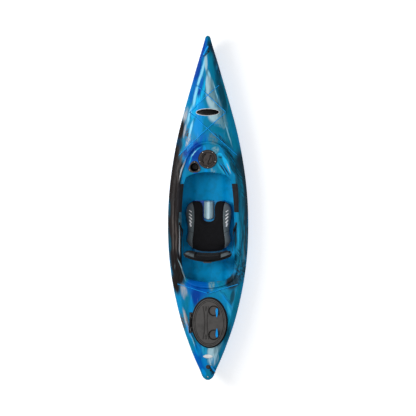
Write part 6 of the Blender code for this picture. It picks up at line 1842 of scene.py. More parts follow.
    def normal(self, x: float, y: float) -> Vector:
        """Direction square to the deck over a plan point."""
        return self.deck_tree.ray_cast(Vector((x, y, 1.0)), Vector((0, 0, -1)))[1]


def oval(sides: int, inset: float = 0.0) -> Points:
    """Points of the stern hatch's oval, moved inwards along its normals by an inset.

    Args:
        sides: Points round the oval.
        inset: The inset, below 0 for outwards.

    Returns:
        The points.
    """
    cx, cy, wide, long, _ = LINES.hatch
    out = []
    for a in turns(sides):
        n = Vector((math.cos(a) / wide, math.sin(a) / long)).normalized()
        p = Vector((wide * math.cos(a), long * math.sin(a))) - n * inset
        out.append(Vector((p.x + cx, p.y + cy)))
    return out


HULL_BLUE = FlowedHull()
HULL_INSIDE = Moulding("hull_polyethylene_inside", 0x00AAEA, 0x20ACE2, (0.40, 0.52), 420, 0.00010, 0.15, 0.05)
CHARCOAL = Moulding("charcoal_plastic", 0x45403E, 0x7A7672, (0.46, 0.60))
# This finish paints shade on the steep walls of the dash ring and lid
RELIEF_CHARCOAL = Moulding("charcoal_plastic_relief", 0x433D3B, 0x7A7672, (0.46, 0.60), paints_steep_shade=True)
BLACK_PLASTIC = Moulding("black_plastic", 0x141314, 0x403D3A, (0.40, 0.55), gloss=0.2)
BLUE_PLASTIC = Moulding("blue_plastic", 0x00A0F4, 0x6CC8F6, (0.30, 0.42), 700, 0.00006, 0.3, 0.2)
RUBBER = Moulding("gasket_rubber", 0x161617, 0x34342F, (0.62, 0.78), 1300, 0.00008, 0.2)
WHITE_FOAM = Foam("flotation_foam", 0xD8D8D4, 420)
PAD_FOAM = Foam("knee_pad_foam", 0x212023)


# Repeated shapes


class Growth:
    """A geometry nodes tree that sets copies of a small shape on points."""

    def __init__(self, name: str) -> None:
        """Starts a tree with geometry in and out.

        Args:
            name: The tree's name.
        """
        self.tree = bpy.data.node_groups.new(name, "GeometryNodeTree")
        self.tree.interface.new_socket("Geometry", in_out="INPUT", socket_type="NodeSocketGeometry")
        self.tree.interface.new_socket("Geometry", in_out="OUTPUT", socket_type="NodeSocketGeometry")
        self.entry = self.tree.nodes.new("NodeGroupInput")
        self.exit = self.tree.nodes.new("NodeGroupOutput")
        self.names: dict[str, str] = {}

    def setting(self, name: str, kind: str, default: float | None = None) -> Socket:
        """Adds a named input of the tree.

        Args:
            name: The input's name.
            kind: Its kind of value.
            default: Its first value.

        Returns:
            The socket that gives its value.
        """
        made = self.tree.interface.new_socket(name, in_out="INPUT", socket_type="NodeSocket" + kind)
        if default is not None:
            made.default_value = default
        self.names[name] = made.identifier
        return self.entry.outputs[name]

    def node(
        self,
        kind: str,
        settings: dict[str, object] | None = None,
        values: dict[str, object] | None = None,
        output: str | int = 0,
    ) -> Socket:
        """Adds a node.

        Args:
            kind: Its full type.
            settings: Its properties.
            values: Sockets or plain values for its inputs.
            output: The output that is wanted.

        Returns:
            That output.
        """
        made = self.tree.nodes.new(kind)
        for key, setting in (settings or {}).items():
            setattr(made, key, setting)
        for key, value in (values or {}).items():
            if isinstance(value, Socket):
                self.tree.links.new(value, made.inputs[key])
            else:
                made.inputs[key].default_value = value
        return made.outputs[output]

    def attribute(self, name: str) -> Socket:
        """A vector stored on the points."""
        kind = {"data_type": "FLOAT_VECTOR"}
        return self.node("GeometryNodeInputNamedAttribute", kind, {"Name": name}, "Attribute")

    def close(self, points: Socket, along: Socket) -> "Growth":
        """Sets the copies, Z to "aim" and Y to a direction, makes them real and gives them the finish.

        Args:
            points: The points to set copies on.
            along: The direction for Y.

        Returns:
            The same growth, finished.
        """
        shape = self.setting("Shape", "Object")
        size = self.setting("Size", "Float", 1.0)
        finish = self.setting("Finish", "Material")
        align = "FunctionNodeAlignRotationToVector"
        up = self.node(align, {"axis": "Z"}, {"Vector": self.attribute("aim")})
        turned = {"Rotation": up, "Vector": along}
        turn = self.node(align, {"axis": "Y", "pivot_axis": "Z"}, turned)
        original = {"transform_space": "ORIGINAL"}
        source = self.node("GeometryNodeObjectInfo", original, {"Object": shape}, "Geometry")
        spots = {"Points": points, "Instance": source, "Rotation": turn, "Scale": size}
        copies = self.node("GeometryNodeInstanceOnPoints", {}, spots)
        real = self.node("GeometryNodeRealizeInstances", {}, {"Geometry": copies})
        dressed = self.node("GeometryNodeSetMaterial", {}, {"Geometry": real, "Material": finish})
        self.tree.links.new(dressed, self.exit.inputs[0])
        return self


def spot_growth() -> Growth:
    """Copies on every point, turned by the points' own directions."""
    growth = Growth("copies_on_spots")
    return growth.close(growth.entry.outputs["Geometry"], growth.attribute("along"))


def path_growth() -> Growth:
    """Copies at an even pitch along a path, turned to follow it.

    Returns:
        The growth.
    """
    growth = Growth("copies_along_path")
    pitch = growth.setting("Pitch", "Float", 0.004)
    curve = growth.node("GeometryNodeMeshToCurve", {}, {"Mesh": growth.entry.outputs["Geometry"]})
    even = growth.node("GeometryNodeResampleCurve", {"mode": "LENGTH"}, {"Curve": curve, "Length": pitch})
    return growth.close(even, growth.node("GeometryNodeInputTangent"))


def spots_mesh(
    name: str,
    places: Sequence[Sequence[float]],
    aims: Sequence[Sequence[float]],
    alongs: Sequence[Sequence[float]] | None = None,
) -> Mesh:
    """Points with their directions; without alongs they are joined into a path.

    Args:
        name: The mesh's name.
        places: The points.
        aims: Direction for the Z of each copy.
        alongs: Direction for its Y.

    Returns:
        The mesh.
    """
    mesh = bpy.data.meshes.new(name)
    edges = [] if alongs else [(k, k + 1) for k in range(len(places) - 1)]
    mesh.from_pydata([tuple(p) for p in places], edges, [])
    for key, rows in (("aim", aims), ("along", alongs or aims)):
        layer = mesh.attributes.new(key, "FLOAT_VECTOR", "POINT")
        layer.data.foreach_set("vector", [c for row in rows for c in row])
    return mesh


@dataclass
class Repeats:
    """The small shapes that come many times, and the trees that set them."""

    shop: Workshop
    on_spots: Growth = field(default_factory=spot_growth)
    on_paths: Growth = field(default_factory=path_growth)
    shapes: dict[str, Object] = field(default_factory=dict)

    def shape(self, name: str, mesh: Mesh) -> Object:
        """Keeps a small shape out of the scene for the trees to copy.

        Args:
            name: The shape's name.
            mesh: Its mesh, used the first time.

        Returns:
            The object that holds the shape.
        """
        if name not in self.shapes:
            self.shapes[name] = bpy.data.objects.new(name, mesh)
        return self.shapes[name]

    def screw_head(self, radius: float = 0.0042, height: float = 0.0022) -> Object:
        """A pan head with a cross recess.

        Args:
            radius: Radius of the head.
            height: Its height.

        Returns:
            The shape.
        """

        arm, reach = 0.12 * radius, 0.55 * radius

        def level(x: float, y: float) -> float:
            """Height of the head over a plan point.

            Args:
                x: Place across the head.
                y: Place along it.

            Returns:
                The height.
            """
            r = min(math.hypot(x, y) / radius, 1.0)
            x, y = abs(x), abs(y)
            dome = height * math.sqrt(max(1 - r**4, 0.0))
            near = min(max(x - arm, y - reach), max(y - arm, x - reach))
            return dome - 0.5 * height * smoothstep(0.08 * radius, -0.04 * radius, near)

        at, foot = Matrix.Identity(4), -0.0006
        rows = relief(at, [radius * (1 - (1 - k / 12) ** 1.4) for k in range(13)], 32, level)
        rows += [circle(at, radius, foot, 32), circle(at, 0, foot, 32)]
        return self.shape("screw_head", loft("screw_head", rows, wrap=True))

    def stitch(self) -> Object:
        """One stitch: a short thread that dips at both ends, along Y.

        Returns:
            The shape.
        """
        dips = ((k / 4, 0.0009 * (k / 2 - 1) ** 2) for k in range(5))
        points = [Vector((0, mix(-0.0016, 0.0016, share), 0.0005 - dip)) for share, dip in dips]
        return self.shape("stitch", sweep("stitch", points, 0.00042, 6))

    def set_on(
        self,
        name: str,
        growth: Growth,
        base: Mesh,
        shape: Object,
        finish: object,
        body: str,
        slot: str,
        stands_for: Sequence[str] = (),
        size: float = 1.0,
        pitch: float | None = None,
    ) -> Object:
        """Grows copies of a shape into one plain piece.

        Args:
            name: The piece's name.
            growth: The tree to use.
            base: Its points or path.
            shape: The shape to copy.
            finish: The finish of the copies.
            body: The CAD body that they ride on.
            slot: The record's material slot.
            stands_for: CAD nodes that they replace.
            size: Scale of the copies.
            pitch: Step along a path.

        Returns:
            The piece.
        """
        obj = self.shop.raw(name, base)
        modifier = obj.modifiers.new("copies", "NODES")
        modifier.node_group = growth.tree
        modifier[growth.names["Shape"]] = shape
        modifier[growth.names["Size"]] = size
        modifier[growth.names["Finish"]] = self.shop.material(finish)
        if pitch:
            modifier[growth.names["Pitch"]] = pitch
        return self.shop.piece(name, self.shop.baked(obj), finish, body, slot, stands_for)

    def screws(
        self, name: str, frames: Sequence[Matrix], stands_for: Sequence[str], size: float = 1.0
    ) -> None:
        """Screw heads at frames whose Z points out of the surface, each with its cross turned its own way.

        Args:
            name: The piece's name.
            frames: One frame for each head.
            stands_for: CAD nodes that the heads replace.
            size: Scale of the heads.
        """
        places = [m.to_translation() for m in frames]
        aims = [m.col[2].to_3d() for m in frames]
        leans = (0.6 + 1.3 * k for k in range(len(frames)))
        alongs = [m.to_3x3() @ Vector((math.cos(a), math.sin(a), 0)) for m, a in zip(frames, leans)]
        base = spots_mesh(name, places, aims, alongs)
        head, slot = self.screw_head(), "stainless_steel"
        self.set_on(name, self.on_spots, base, head, Steel(), "kayak", slot, stands_for, size)

    def stitching(self, name: str, path: Points, aims: Points, body: str) -> None:
        """A row of stitches along a path on the seat's cloth."""
        base, stitch, slot = spots_mesh(name, path, aims), self.stitch(), "seat_fabric"
        self.set_on(name, self.on_paths, base, stitch, THREAD, body, slot, pitch=0.0052)


# Fittings on the dash


@dataclass
class DashHatch:
    """The round hatch in the dash: ring, gasket, screw-in lid with a grip, and its screws."""

    shop: Workshop
    repeats: Repeats
    y: float = 0.430
    radius: float = 0.0835
    bore: float = 0.0555
    lid_radius: float = 0.0621
    sides: int = 168

    def lid_level(self, x: float, y: float) -> float:
        """Height of the lid's face over a point of its frame: two wells beside a leaning grip with a boss.

        Args:
            x: Place across the lid.
            y: Place along it.

        Returns:
            The height.
        """
        r = math.hypot(x, y)
        crescent = min(0.0535 - r, math.hypot(x - 0.010, y + 0.004) - 0.0475, 0.25 * y - 0.968 * x - 0.0225)
        lean = 0.0095 + 0.0105 * math.tanh((y + 0.006) / 0.018)
        pocket = min(0.0475 - r, x - lean, 0.037 - y)
        well = max(smoothstep(-0.0002, 0.0055, crescent), smoothstep(-0.0002, 0.0060, pocket))
        z = 0.0080 - (0.0082 + 0.0010 * math.sin(math.pi * min(r / 0.05, 1.0))) * well
        z -= 0.0012 * math.exp(-((r - 0.0545) / 0.0010) ** 2) * (1 - well)
        boss = math.hypot(x + 0.0155, y)
        z += 0.0009 * smoothstep(0.0125, 0.0095, boss) * (1 - well)
        z -= 0.0014 * smoothstep(0.0046, 0.0030, boss)
        return z - 0.0014 * smoothstep(0.0600, self.lid_radius, r)

    def build(self) -> None:
        """Makes the ring, the lid and the screws."""
        at = LINES.dash_frame(0, self.y)
        profile = [
            (0.0625, 0.0030), (0.0625, 0.0072), (0.0640, 0.0080), (0.0662, 0.0080), (0.0672, 0.0066),
            (0.0775, 0.0064), (0.0788, 0.0072), (0.0808, 0.0070), (self.radius, 0.0036),
            (self.radius, 0.0003), (0.0645, 0.0003), (0.0645, -0.024), (self.bore, -0.024),
            (self.bore, 0.0030),
        ]
        radii = [0.0004, 0.0005] + [0.0006] * 5 + [0.0008, 0.001, 0.0002, 0.0005, 0.001, 0.001, 0.0004]
        slot = "charcoal_plastic"
        ring = spun("dash_hatch_ring_face", rounded(profile, radii, closed=True), at, 96, closed=True)
        self.shop.piece("dash_hatch_ring_face", ring, RELIEF_CHARCOAL, "kayak", slot, ["dash_hatch_ring"], 50)
        rows = relief(at, [self.lid_radius * k / 62 for k in range(63)], self.sides, self.lid_level)
        rim, neck, inside, floor = self.lid_radius, 0.0551, 0.0521, -0.010
        below = ((rim, 0.0062), (rim, 0.0049), (neck, 0.0049), (neck, -0.018), (inside, -0.018))
        rows += [circle(at, r, z, self.sides) for r, z in below + ((inside, floor), (0.0, floor))]
        lid = loft("dash_hatch_lid_face", rows, wrap=True)
        body = "dash_hatch_lid"
        self.shop.piece("dash_hatch_lid_face", lid, RELIEF_CHARCOAL, body, slot, ["dash_hatch_lid"], 50)
        self.shop.refinish(RUBBER, "dash_hatch_gasket")
        line = [Vector((0, y, 0)) for y in (-0.0032, -0.0026, 0.0, 0.0026, 0.0032)]
        rod = sweep("edge_rib", line, 0.0008, 6, swell=[0.3, 0.8, 1, 0.8, 0.3])
        rib = self.repeats.shape("edge_rib", rod)
        turn = at.to_3x3()
        outs = [Vector((math.cos(a), math.sin(a), 0)) for a in turns(44)]
        spots = [at @ (out * 0.0585 + Vector((0, 0, 0.0080))) for out in outs]
        aims = [turn @ Vector((0, 0, 1))] * len(outs)
        base = spots_mesh("dash_lid_ribs", spots, aims, [turn @ out for out in outs])
        self.repeats.set_on("dash_lid_ribs", self.repeats.on_spots, base, rib, CHARCOAL, body, slot)
        frames = frames_around(at, 0.072, 0.0066, 5, -90)
        self.repeats.screws("dash_hatch_screws", frames, [f"dash_hatch_screw_{k}" for k in range(1, 6)], 1.15)


@dataclass
class CupHolder:
    """The three-cornered cup holder with its tapered well and three screws."""

    shop: Workshop
    repeats: Repeats
    place: tuple[float, float] = (-0.116, 0.359)
    flange: float = 0.052
    lobe: float = 0.0055
    radius: float = 0.036
    depth: float = 0.078

    def build(self) -> None:
        """Makes the holder and its screws."""
        at = LINES.dash_frame(*self.place)
        sides = 120

        def ring(reach: float, z: float, lobed: float = 0.0) -> Points:
            """One ring of the holder: round, or with three corners.

            Args:
                reach: The ring's radius.
                z: Its height.
                lobed: How far its three corners stand out.

            Returns:
                The ring.
            """
            row = []
            for a in turns(sides):
                r = reach + lobed * math.cos(3 * (a - math.pi / 2))
                row.append(at @ Vector((r * math.cos(a), r * math.sin(a), z)))
            return row

        def middle(row: Points) -> Points:
            """The middle of a ring, as often as the ring has points."""
            return [sum(row, Vector()) / sides] * sides

        r, wall = self.radius, 0.0025
        rows = [middle(ring(r - 0.0075, wall - self.depth))]
        for reach, z in ((0.018, 0.0025), (0.021, 0.0028), (0.026, 0.0040), (0.0285, 0.0080)):
            rows.append(ring(reach, z - self.depth))
        for share in (0.25, 0.5, 0.75, 0.93):
            rows.append(ring(mix(0.0292, r, share), mix(0.008 - self.depth, 0.0, share)))
        edge, lobe = self.flange, self.lobe
        lip = (
            (r + 0.0012, 0.0022, 0), (r + 0.0030, 0.0040, 0), (0.0415, 0.0046, 0.0008),
            (0.0428, 0.0040, 0.0020), (0.0480, 0.0038, 0.0045), (0.0500, 0.0044, 0.0052),
            (edge - 0.0012, 0.0042, lobe), (edge, 0.0026, lobe), (edge, 0.0003, lobe), (r + wall, 0.0003, 0),
            (r + wall - 0.006, -self.depth, 0),
        )
        rows += [ring(*stop) for stop in lip]
        rows.append(middle(rows[-1]))
        mesh = loft("cup_holder_shell", rows, wrap=True)
        slot, nodes = "charcoal_plastic", ["cup_holder"]
        holder = self.shop.piece("cup_holder_shell", mesh, CHARCOAL, "kayak", slot, nodes, 50)
        back = at.inverted()
        # Painted shade: the well's inner faces wear black plastic, darker than the charcoal holder, for the
        # shade in the deep well
        self.shop.extra(holder, BLACK_PLASTIC, lambda face: (back @ face.center).z < 0.0015)
        frames = frames_around(at, 0.0475, 0.0040, 3, 90)
        self.repeats.screws("cup_holder_screws", frames, [f"cup_holder_screw_{k}" for k in range(1, 4)])


# Stern hatch


@dataclass
class SternHatch:
    """The oval stern hatch: rim, gasket, hinged lid with its ribs and bowls, pin and two latches."""

    shop: Workshop
    repeats: Repeats
    level: float = 0.268
    rim: float = 0.015
    gap: float = 0.0003
    gasket: float = 0.002
    lid: float = 0.0055
    lid_inset: float = 0.011
    finger: tuple[float, float, float] = (0.052, 0.106, 0.0445)
    hinge_reach: float = 0.170
    hinge_rise: float = 0.012
    knuckle: float = 0.0065
    pivot_x: float = 0.0985
    latch_y: float = 0.088
    roller: float = 0.00275
    sides: int = 224

    @property
    def top(self) -> float:
        """Height of the lid's flat face."""
        return self.level + self.rim + self.gap + self.gasket + self.gap + self.lid

    def lid_level(self, x: float, y: float, inset: float) -> float:
        """Height of the lid's face.

        Args:
            x: Place across.
            y: Place along, in the boat's frame.
            inset: Distance in from the lid's edge.

        Returns:
            The height.
        """
        cx, cy = LINES.hatch[:2]
        u, v = x - cx, y - cy
        z = self.top - 0.0030 * smoothstep(0.0035, 0.0, inset) ** 2
        z -= 0.0040 * smoothstep(0.0125, 0.0160, inset) * smoothstep(0.0290, 0.0255, inset)
        z += 0.0006 * math.exp(-((inset - 0.0075) / 0.0035) ** 2)
        z += 0.0016 * math.cos(min(math.hypot(u / 0.125, v / 0.19), 1.0) * math.pi / 2) ** 2
        bow = u + 0.031
        flank = abs(abs(bow - 0.016 * (v / 0.15) ** 2 * (1 if bow > 0 else -1)) - 0.0105)
        rib = smoothstep(0.0052, 0.0014, flank) * smoothstep(0.150, 0.138, abs(v))
        rib *= smoothstep(0.030, 0.034, inset)
        z += 0.0030 * rib
        fx, fy, reach = self.finger
        away = math.hypot(x - fx, abs(v) - fy)
        bowl = smoothstep(reach, reach - 0.0075, away) * smoothstep(-0.002, 0.006, inset - 0.012)
        z -= 0.0098 * bowl
        z += 0.0014 * math.exp(-((away - reach - 0.0022) / 0.0016) ** 2) * smoothstep(0.018, 0.024, inset)
        return z

    def ring(self, sides: int, inset: float, z: float) -> Points:
        """The hatch's oval at an inset and a height."""
        return [Vector((p.x, p.y, z)) for p in oval(sides, inset)]

    def build_lid(self) -> None:
        """Makes the lid with its hinge arms, its knuckles and the ears of its latches."""
        fine = 2 * self.sides
        edge = oval(fine, self.lid_inset)
        cx, cy = LINES.hatch[:2]
        centre = Vector((cx, cy))
        steps, inner = 130, 122
        shares = [k / steps for k in range(inner)] + [mix(inner / steps, 1.0, k / 16) for k in range(17)]
        rows = []
        for share in shares:
            row = [mix(centre, p, share) for p in edge]
            levels = [self.lid_level(q.x, q.y, (p - q).length) for p, q in zip(edge, row)]
            rows.append([Vector((q.x, q.y, z)) for q, z in zip(row, levels)])
        low, under = self.level + 0.0065, self.top - self.lid
        slope, deep = self.top - 0.0135, self.top - 0.0150
        for inset, z in ((0.011, low), (0.014, low), (0.014, under), (0.030, under), (0.050, slope)):
            rows.append(self.ring(fine, inset, z))
        rows += [self.ring(fine, 0.080, deep), [Vector((cx, cy, deep))] * fine]
        pieces = [loft("stern_hatch_lid_face", rows, wrap=True)]
        for side in (-1, 1):
            for start, end in ((-0.023, -0.0105), (0.0105, 0.023)):
                pieces += self.arm(cy + 0.063 * side, start, end)
        ear = [
            (0.0042, 0), (-0.0042, 0), (-0.0036, 0.0058), (-0.0020, 0.0070), (0.0020, 0.0070),
            (0.0036, 0.0058),
        ]
        for side in (-1, 1):
            stand = placed((self.pivot_x, cy + self.latch_y * side, self.top - 0.0015), (0, 1, 0), (0, 0, 1))
            for start, end in ((-0.0195, -0.0154), (0.0154, 0.0195)):
                pieces.append(prism("ear", ear, start, end, stand))
        whole = joined_mesh("stern_hatch_lid_face", pieces)
        body, slot = "stern_hatch_lid", "hatch_lid_plastic"
        self.shop.piece("stern_hatch_lid_face", whole, LID_PLASTIC, body, slot, ["stern_hatch_lid"], 42)
        for key, side in (("front", 1), ("rear", -1)):
            self.build_latch(key, side)

    def arm(self, y: float, low: float, high: float) -> list[Mesh]:
        """One knuckle of the hinge and the arm that leads from it to the lid.

        Args:
            y: Station of the pair of arms.
            low: Start of this one, from there.
            high: Its end.

        Returns:
            Both meshes.
        """
        x0, z0, bevel = LINES.hatch[0] - self.hinge_reach, self.level + self.hinge_rise, 0.0012
        axis = placed((x0, y, z0), (0, 1, 0), (1, 0, 0))
        knuckle = barrel("knuckle", self.knuckle, low, high, bevel, axis, 32)
        stops = (
            (0.0, -0.0030, 0.0063, 0.0), (0.008, 0.0, 0.0066, 0.0), (0.0190, 0.0, 0.0068, 0.0015),
            (0.036, 0.0, 0.0062, 0.0035),
        )
        rows = []
        for x, under, over, spread in stops:
            w0, w1 = y + low + (0.001 if low > 0 else -spread), y + high + (spread if low > 0 else -0.001)
            foot, roof = z0 + under, z0 + over
            row = [
                (w0, foot), (w1, foot), (w1, roof - bevel), (w1 - bevel, roof), (w0 + bevel, roof),
                (w0, roof - bevel),
            ]
            rows.append([Vector((x0 + x, a, b)) for a, b in row])
        return [knuckle, loft("arm", rows, wrap=True, caps=True)]

    def build_latch(self, key: str, side: int) -> None:
        """Makes one teardrop latch with its barrel and pin.

        Args:
            key: "front" or "rear".
            side: 1 for the front latch, -1 for the rear one.
        """
        y0 = LINES.hatch[1] + self.latch_y * side
        low = self.top + self.gap
        middle = self.pivot_x - 0.0185
        edge = []
        for a in turns(72):
            wide = mix(0.0055, 0.0150, (1 + math.sin(a)) / 2)
            edge.append(Vector((middle + math.cos(a) * wide, y0 + side * math.sin(a) * 0.041)))
        spine = [Vector((middle, mix(p.y, y0, 0.45))) for p in edge]
        stops = (
            (0.5, 0.0), (0.92, 0.0), (1.0, 0.0012), (1.0, 0.0030), (0.96, 0.0047), (0.88, 0.0056),
            (0.72, 0.0060), (0.55, 0.0050), (0.30, 0.0045), (0.0, 0.0044),
        )
        rows = [[Vector((*p, low + z)) for p in between(spine, edge, share)] for share, z in stops]
        tip = loft("tip", rows, wrap=True, caps=True)
        axis = placed((self.pivot_x, y0, low + self.roller), (0, 1, 0), (1, 0, 0))
        roller = barrel("barrel", self.roller, -0.015, 0.015, 0.0008, axis, 24)
        pin = spun("pin", [(0, -0.019), (0.0016, -0.019), (0.0016, 0.019), (0, 0.019)], axis, 16)
        corners = [(-0.014, -0.012), (0.0, -0.012), (0.0, 0.012), (-0.014, 0.012)]
        web = prism("web", corners, low + 0.0006, low + 0.0049, placed((self.pivot_x, y0, 0)))
        mesh = joined_mesh(f"latch_{key}", [tip, roller, pin, web])
        name = f"stern_hatch_latch_{key}"
        lever = self.shop.piece(name + "_lever", mesh, BLUE_PLASTIC, name, "blue_plastic", [name], 42)

        def at_pivot(face: bpy.types.MeshPolygon) -> bool:
            """Whether a face belongs to the barrel or to the web that leads to it."""
            start = 0.0085 if abs(face.center.y - y0) < 0.0125 else 0.0032
            return face.center.x > self.pivot_x - start

        self.shop.extra(lever, BLACK_PLASTIC, at_pivot)

    def build(self) -> None:
        """Makes the rim, then the lid and the latches."""
        z, inner = self.level, 0.022
        profile = [
            (0.0, z + 0.0003), (0.0002, z + 0.0036), (0.0022, z + 0.0056), (0.0052, z + 0.0058),
            (0.0066, z + 0.0042), (0.0100, z + 0.0040), (0.018, z + 0.0044), (0.018, z + 0.0146),
            (0.0188, z + 0.015), (0.0212, z + 0.015), (inner, z + 0.0146), (inner, z - 0.020),
            (0.018, z - 0.020), (0.018, z + 0.0003),
        ]
        rows = [self.ring(self.sides, inset, height) for inset, height in profile + profile[:1]]
        cx, cy = LINES.hatch[:2]
        at = placed((cx - self.hinge_reach, cy, 0))
        half, lip = 0.090, 0.086
        base = [
            (-0.0085, -lip), (-0.0085, lip), (-0.0045, half), (0.014, half), (0.014, -half),
            (-0.0045, -half),
        ]
        plate = prism("plate", base, z + 0.0003, z + 0.0035, at)
        axis = placed((cx - self.hinge_reach, cy, z + self.hinge_rise), (0, 1, 0), (1, 0, 0))
        bridge = barrel("bridge", self.knuckle, -0.0394, 0.0394, 0.001, axis, 32)
        sole = [(-0.0046, -0.0390), (0.0046, -0.0390), (0.0046, 0.0390), (-0.0046, 0.0390)]
        foot = prism("foot", sole, z + 0.002, z + self.hinge_rise, at)
        mesh = joined_mesh("stern_hatch_rim_face", [loft("rim", rows, wrap=True), plate, bridge, foot])
        slot, nodes = "black_plastic", ["stern_hatch_rim"]
        self.shop.piece("stern_hatch_rim_face", mesh, BLACK_PLASTIC, "kayak", slot, nodes, 42)
        self.shop.refinish(RUBBER, "stern_hatch_gasket")
        self.shop.refinish(Steel(), "stern_hatch_hinge_pin")
        self.build_lid()


# Deck fittings


@dataclass
class DeckFittings:
    """Cords, hooks, handles, plates, drain plug and tip screw on the deck."""

    shop: Workshop
    repeats: Repeats
    shells: Shells
    cord_radius: float = 0.0028
    lift: float = 0.0006

    def resting(self, x: float, y: float, radius: float) -> float:
        """Height at which a ball over a plan point comes to rest on the deck.

        Args:
            x: Place across.
            y: The station.
            radius: The ball's radius.

        Returns:
            The height of its middle.
        """
        best = self.shells.height(x, y) + radius
        for share in (0.5, 0.85):
            for k in range(8):
                a = math.pi * k / 4
                reach = radius * share
                under = self.shells.height(x + reach * math.cos(a), y + reach * math.sin(a))
                best = max(best, under + math.sqrt(radius * radius - reach * reach))
        return best

    def span(self, start: Vector, end: Vector, crossing: Vector | None) -> Points:
        """Points of a taut cord between two plan points.

        Args:
            start: The first plan point.
            end: The last one.
            crossing: Middle of a cord that this one passes over, if any.

        Returns:
            The points where the cord bends.
        """
        radius = self.cord_radius + self.lift
        steps = round((end - start).length / 0.005)
        plan = [mix(start, end, k / steps) for k in range(steps + 1)]
        ground = []
        for p in plan:
            z = self.resting(p.x, p.y, radius)
            if crossing and (p.xy - crossing.xy).length < radius * 1.3:
                z = max(z, crossing.z + self.cord_radius + radius)
            ground.append(z)
        line = [0]
        for i in range(1, steps + 1):
            while len(line) > 1:
                a, b = line[-2], line[-1]
                if mix(ground[a], ground[i], (b - a) / (i - a)) < ground[b]:
                    break
                line.pop()
            line.append(i)
        return [Vector((plan[i].x, plan[i].y, ground[i])) for i in line]

    def cord(self, name: str, stops: Profile, crossings: Sequence[Vector] = ()) -> Points:
        """Makes one bungee cord over the deck and gives its points.

        Args:
            name: The CAD node that it stands for.
            stops: Plan points at which the cord is held.
            crossings: For each span the middle of the cord that it passes over.

        Returns:
            The points over the deck.
        """
        plan = [Vector((*s, 0)) for s in stops]
        points: Points = []
        for k, (a, b) in enumerate(zip(plan, plan[1:])):
            run = self.span(a, b, crossings[k] if crossings else None)
            points += run if k == len(plan) - 2 else run[:-1]
        over = list(points)
        ends = []
        for p, q in ((over[0], over[1]), (over[-1], over[-2])):
            into = (p - q).normalized()
            sinks = ((0.0012, 0.0012), (0.002, 0.005), (0.002, 0.016), (0.002, 0.022))
            ends.append([p + into * step - Vector((0, 0, drop)) for step, drop in sinks])
        points = ends[0][::-1] + points + ends[1]
        dense: Points = []
        for a, b in zip(points, points[1:]):
            count = max(1, round((b - a).length / 0.008))
            dense += [mix(a, b, k / count) for k in range(count)]
        dense.append(points[-1])
        for _ in range(2):
            inner = [(a + b * 2 + c) / 4 for a, b, c in zip(dense, dense[1:], dense[2:])]
            dense = [dense[0]] + inner + [dense[-1]]
        swell = [1.9, 1.9] + [1.0] * (len(dense) - 4) + [1.9, 1.9]
        mesh = sweep(name + "_braid", dense, self.cord_radius, 14, swell=swell)
        self.shop.piece(name + "_braid", mesh, BUNGEE, "kayak", "bungee_cord", [name])
        return over

    def crossing(self, points: Points, near_y: float) -> Vector:
        """Where a cord crosses the centre line nearest a station.

        Args:
            points: The cord's points.
            near_y: The station.

        Returns:
            The point.
        """
        pairs = zip(points, points[1:])
        found = [mix(p, q, p.x / (p.x - q.x)) for p, q in pairs if p.x * q.x <= 0 and p.x != q.x]
        return min(found, key=lambda v: abs(v.y - near_y))

    def hook(self, name: str, x: float, y: float, pull: Vector) -> None:
        """Makes a small hook whose beak reaches over the cord.

        Args:
            name: The CAD node that it stands for.
            x: Place across of the cord's bend.
            y: Its station.
            pull: Plan direction from the bend to the hook's foot.
        """
        z = self.shells.height(x, y)
        clear = self.cord_radius + 0.0012
        middle = z + self.lift + self.cord_radius
        base = Vector((x, y, 0)) + pull * (clear + 0.0022)
        tip = Vector((x, y, 0)) - pull * 0.0020
        top = middle + clear + 0.0022
        bend = [Vector((*base.xy, height)) for height in (z - 0.010, z, middle + clear * 0.5)]
        bend += [Vector((*mix(base, tip, 0.35).xy, top)), Vector((*mix(base, tip, 0.8).xy, top + 0.0002))]
        path = smooth_path(bend + [Vector((*tip.xy, top - 0.0008))], 5)
        hook = sweep(name, path, 0.0020, 12, swell=[1.0] * (len(path) - 2) + [0.85, 0.5])
        sole = [(0, 0.0016), (0.0045, 0.0014), (0.0062, 0.0), (0, -0.001)]
        sole = rounded(sole, (0, 0.0006, 0.0004, 0), steps=2)
        foot = spun("foot", sole, placed((base.x, base.y, z + 0.0003), self.shells.normal(x, y)), 28)
        mesh = joined_mesh(name, [hook, foot])
        self.shop.piece(name + "_moulded", mesh, BLACK_PLASTIC, "kayak", "black_plastic", [name])

    def build_cords(self) -> None:
        """Makes the two crossing bow cords, the stern cord, their hooks and the grommets at their ends."""
        low = self.cord("bow_bungee_starboard", [(0.0995, 1.083), (-0.162, 0.845), (0.256, 0.467)])
        crossings = [self.crossing(low, 1.083), self.crossing(low, 0.467)]
        self.cord("bow_bungee_port", [(-0.0995, 1.083), (0.162, 0.845), (-0.256, 0.467)], crossings)
        self.cord("stern_bungee", [(-0.267, -0.673), (0.0, -0.757), (0.267, -0.673)])
        self.hook("bow_hook_port", -0.162, 0.845, Vector((1, 0, 0)))
        self.hook("bow_hook_starboard", 0.162, 0.845, Vector((-1, 0, 0)))
        self.hook("stern_hook", 0.0, -0.757, Vector((0, 1, 0)))
        collar = [(0.0034, 0.0), (0.0040, 0.0013), (0.0058, 0.0013), (0.0068, 0.0)]
        collar = rounded(collar, (0, 0.0005, 0.0005, 0), closed=True, steps=2)
        rings = []
        for half, y in ((0.0995, 1.083), (0.256, 0.467), (0.267, -0.673)):
            for x in (half, -half):
                at = placed((x, y, self.shells.height(x, y) + 0.0002), self.shells.normal(x, y))
                rings.append(spun("grommet", collar, at, 28, closed=True))
        mesh = joined_mesh("cord_grommets", rings)
        self.shop.piece("cord_grommets", mesh, BLACK_PLASTIC, "kayak", "black_plastic")

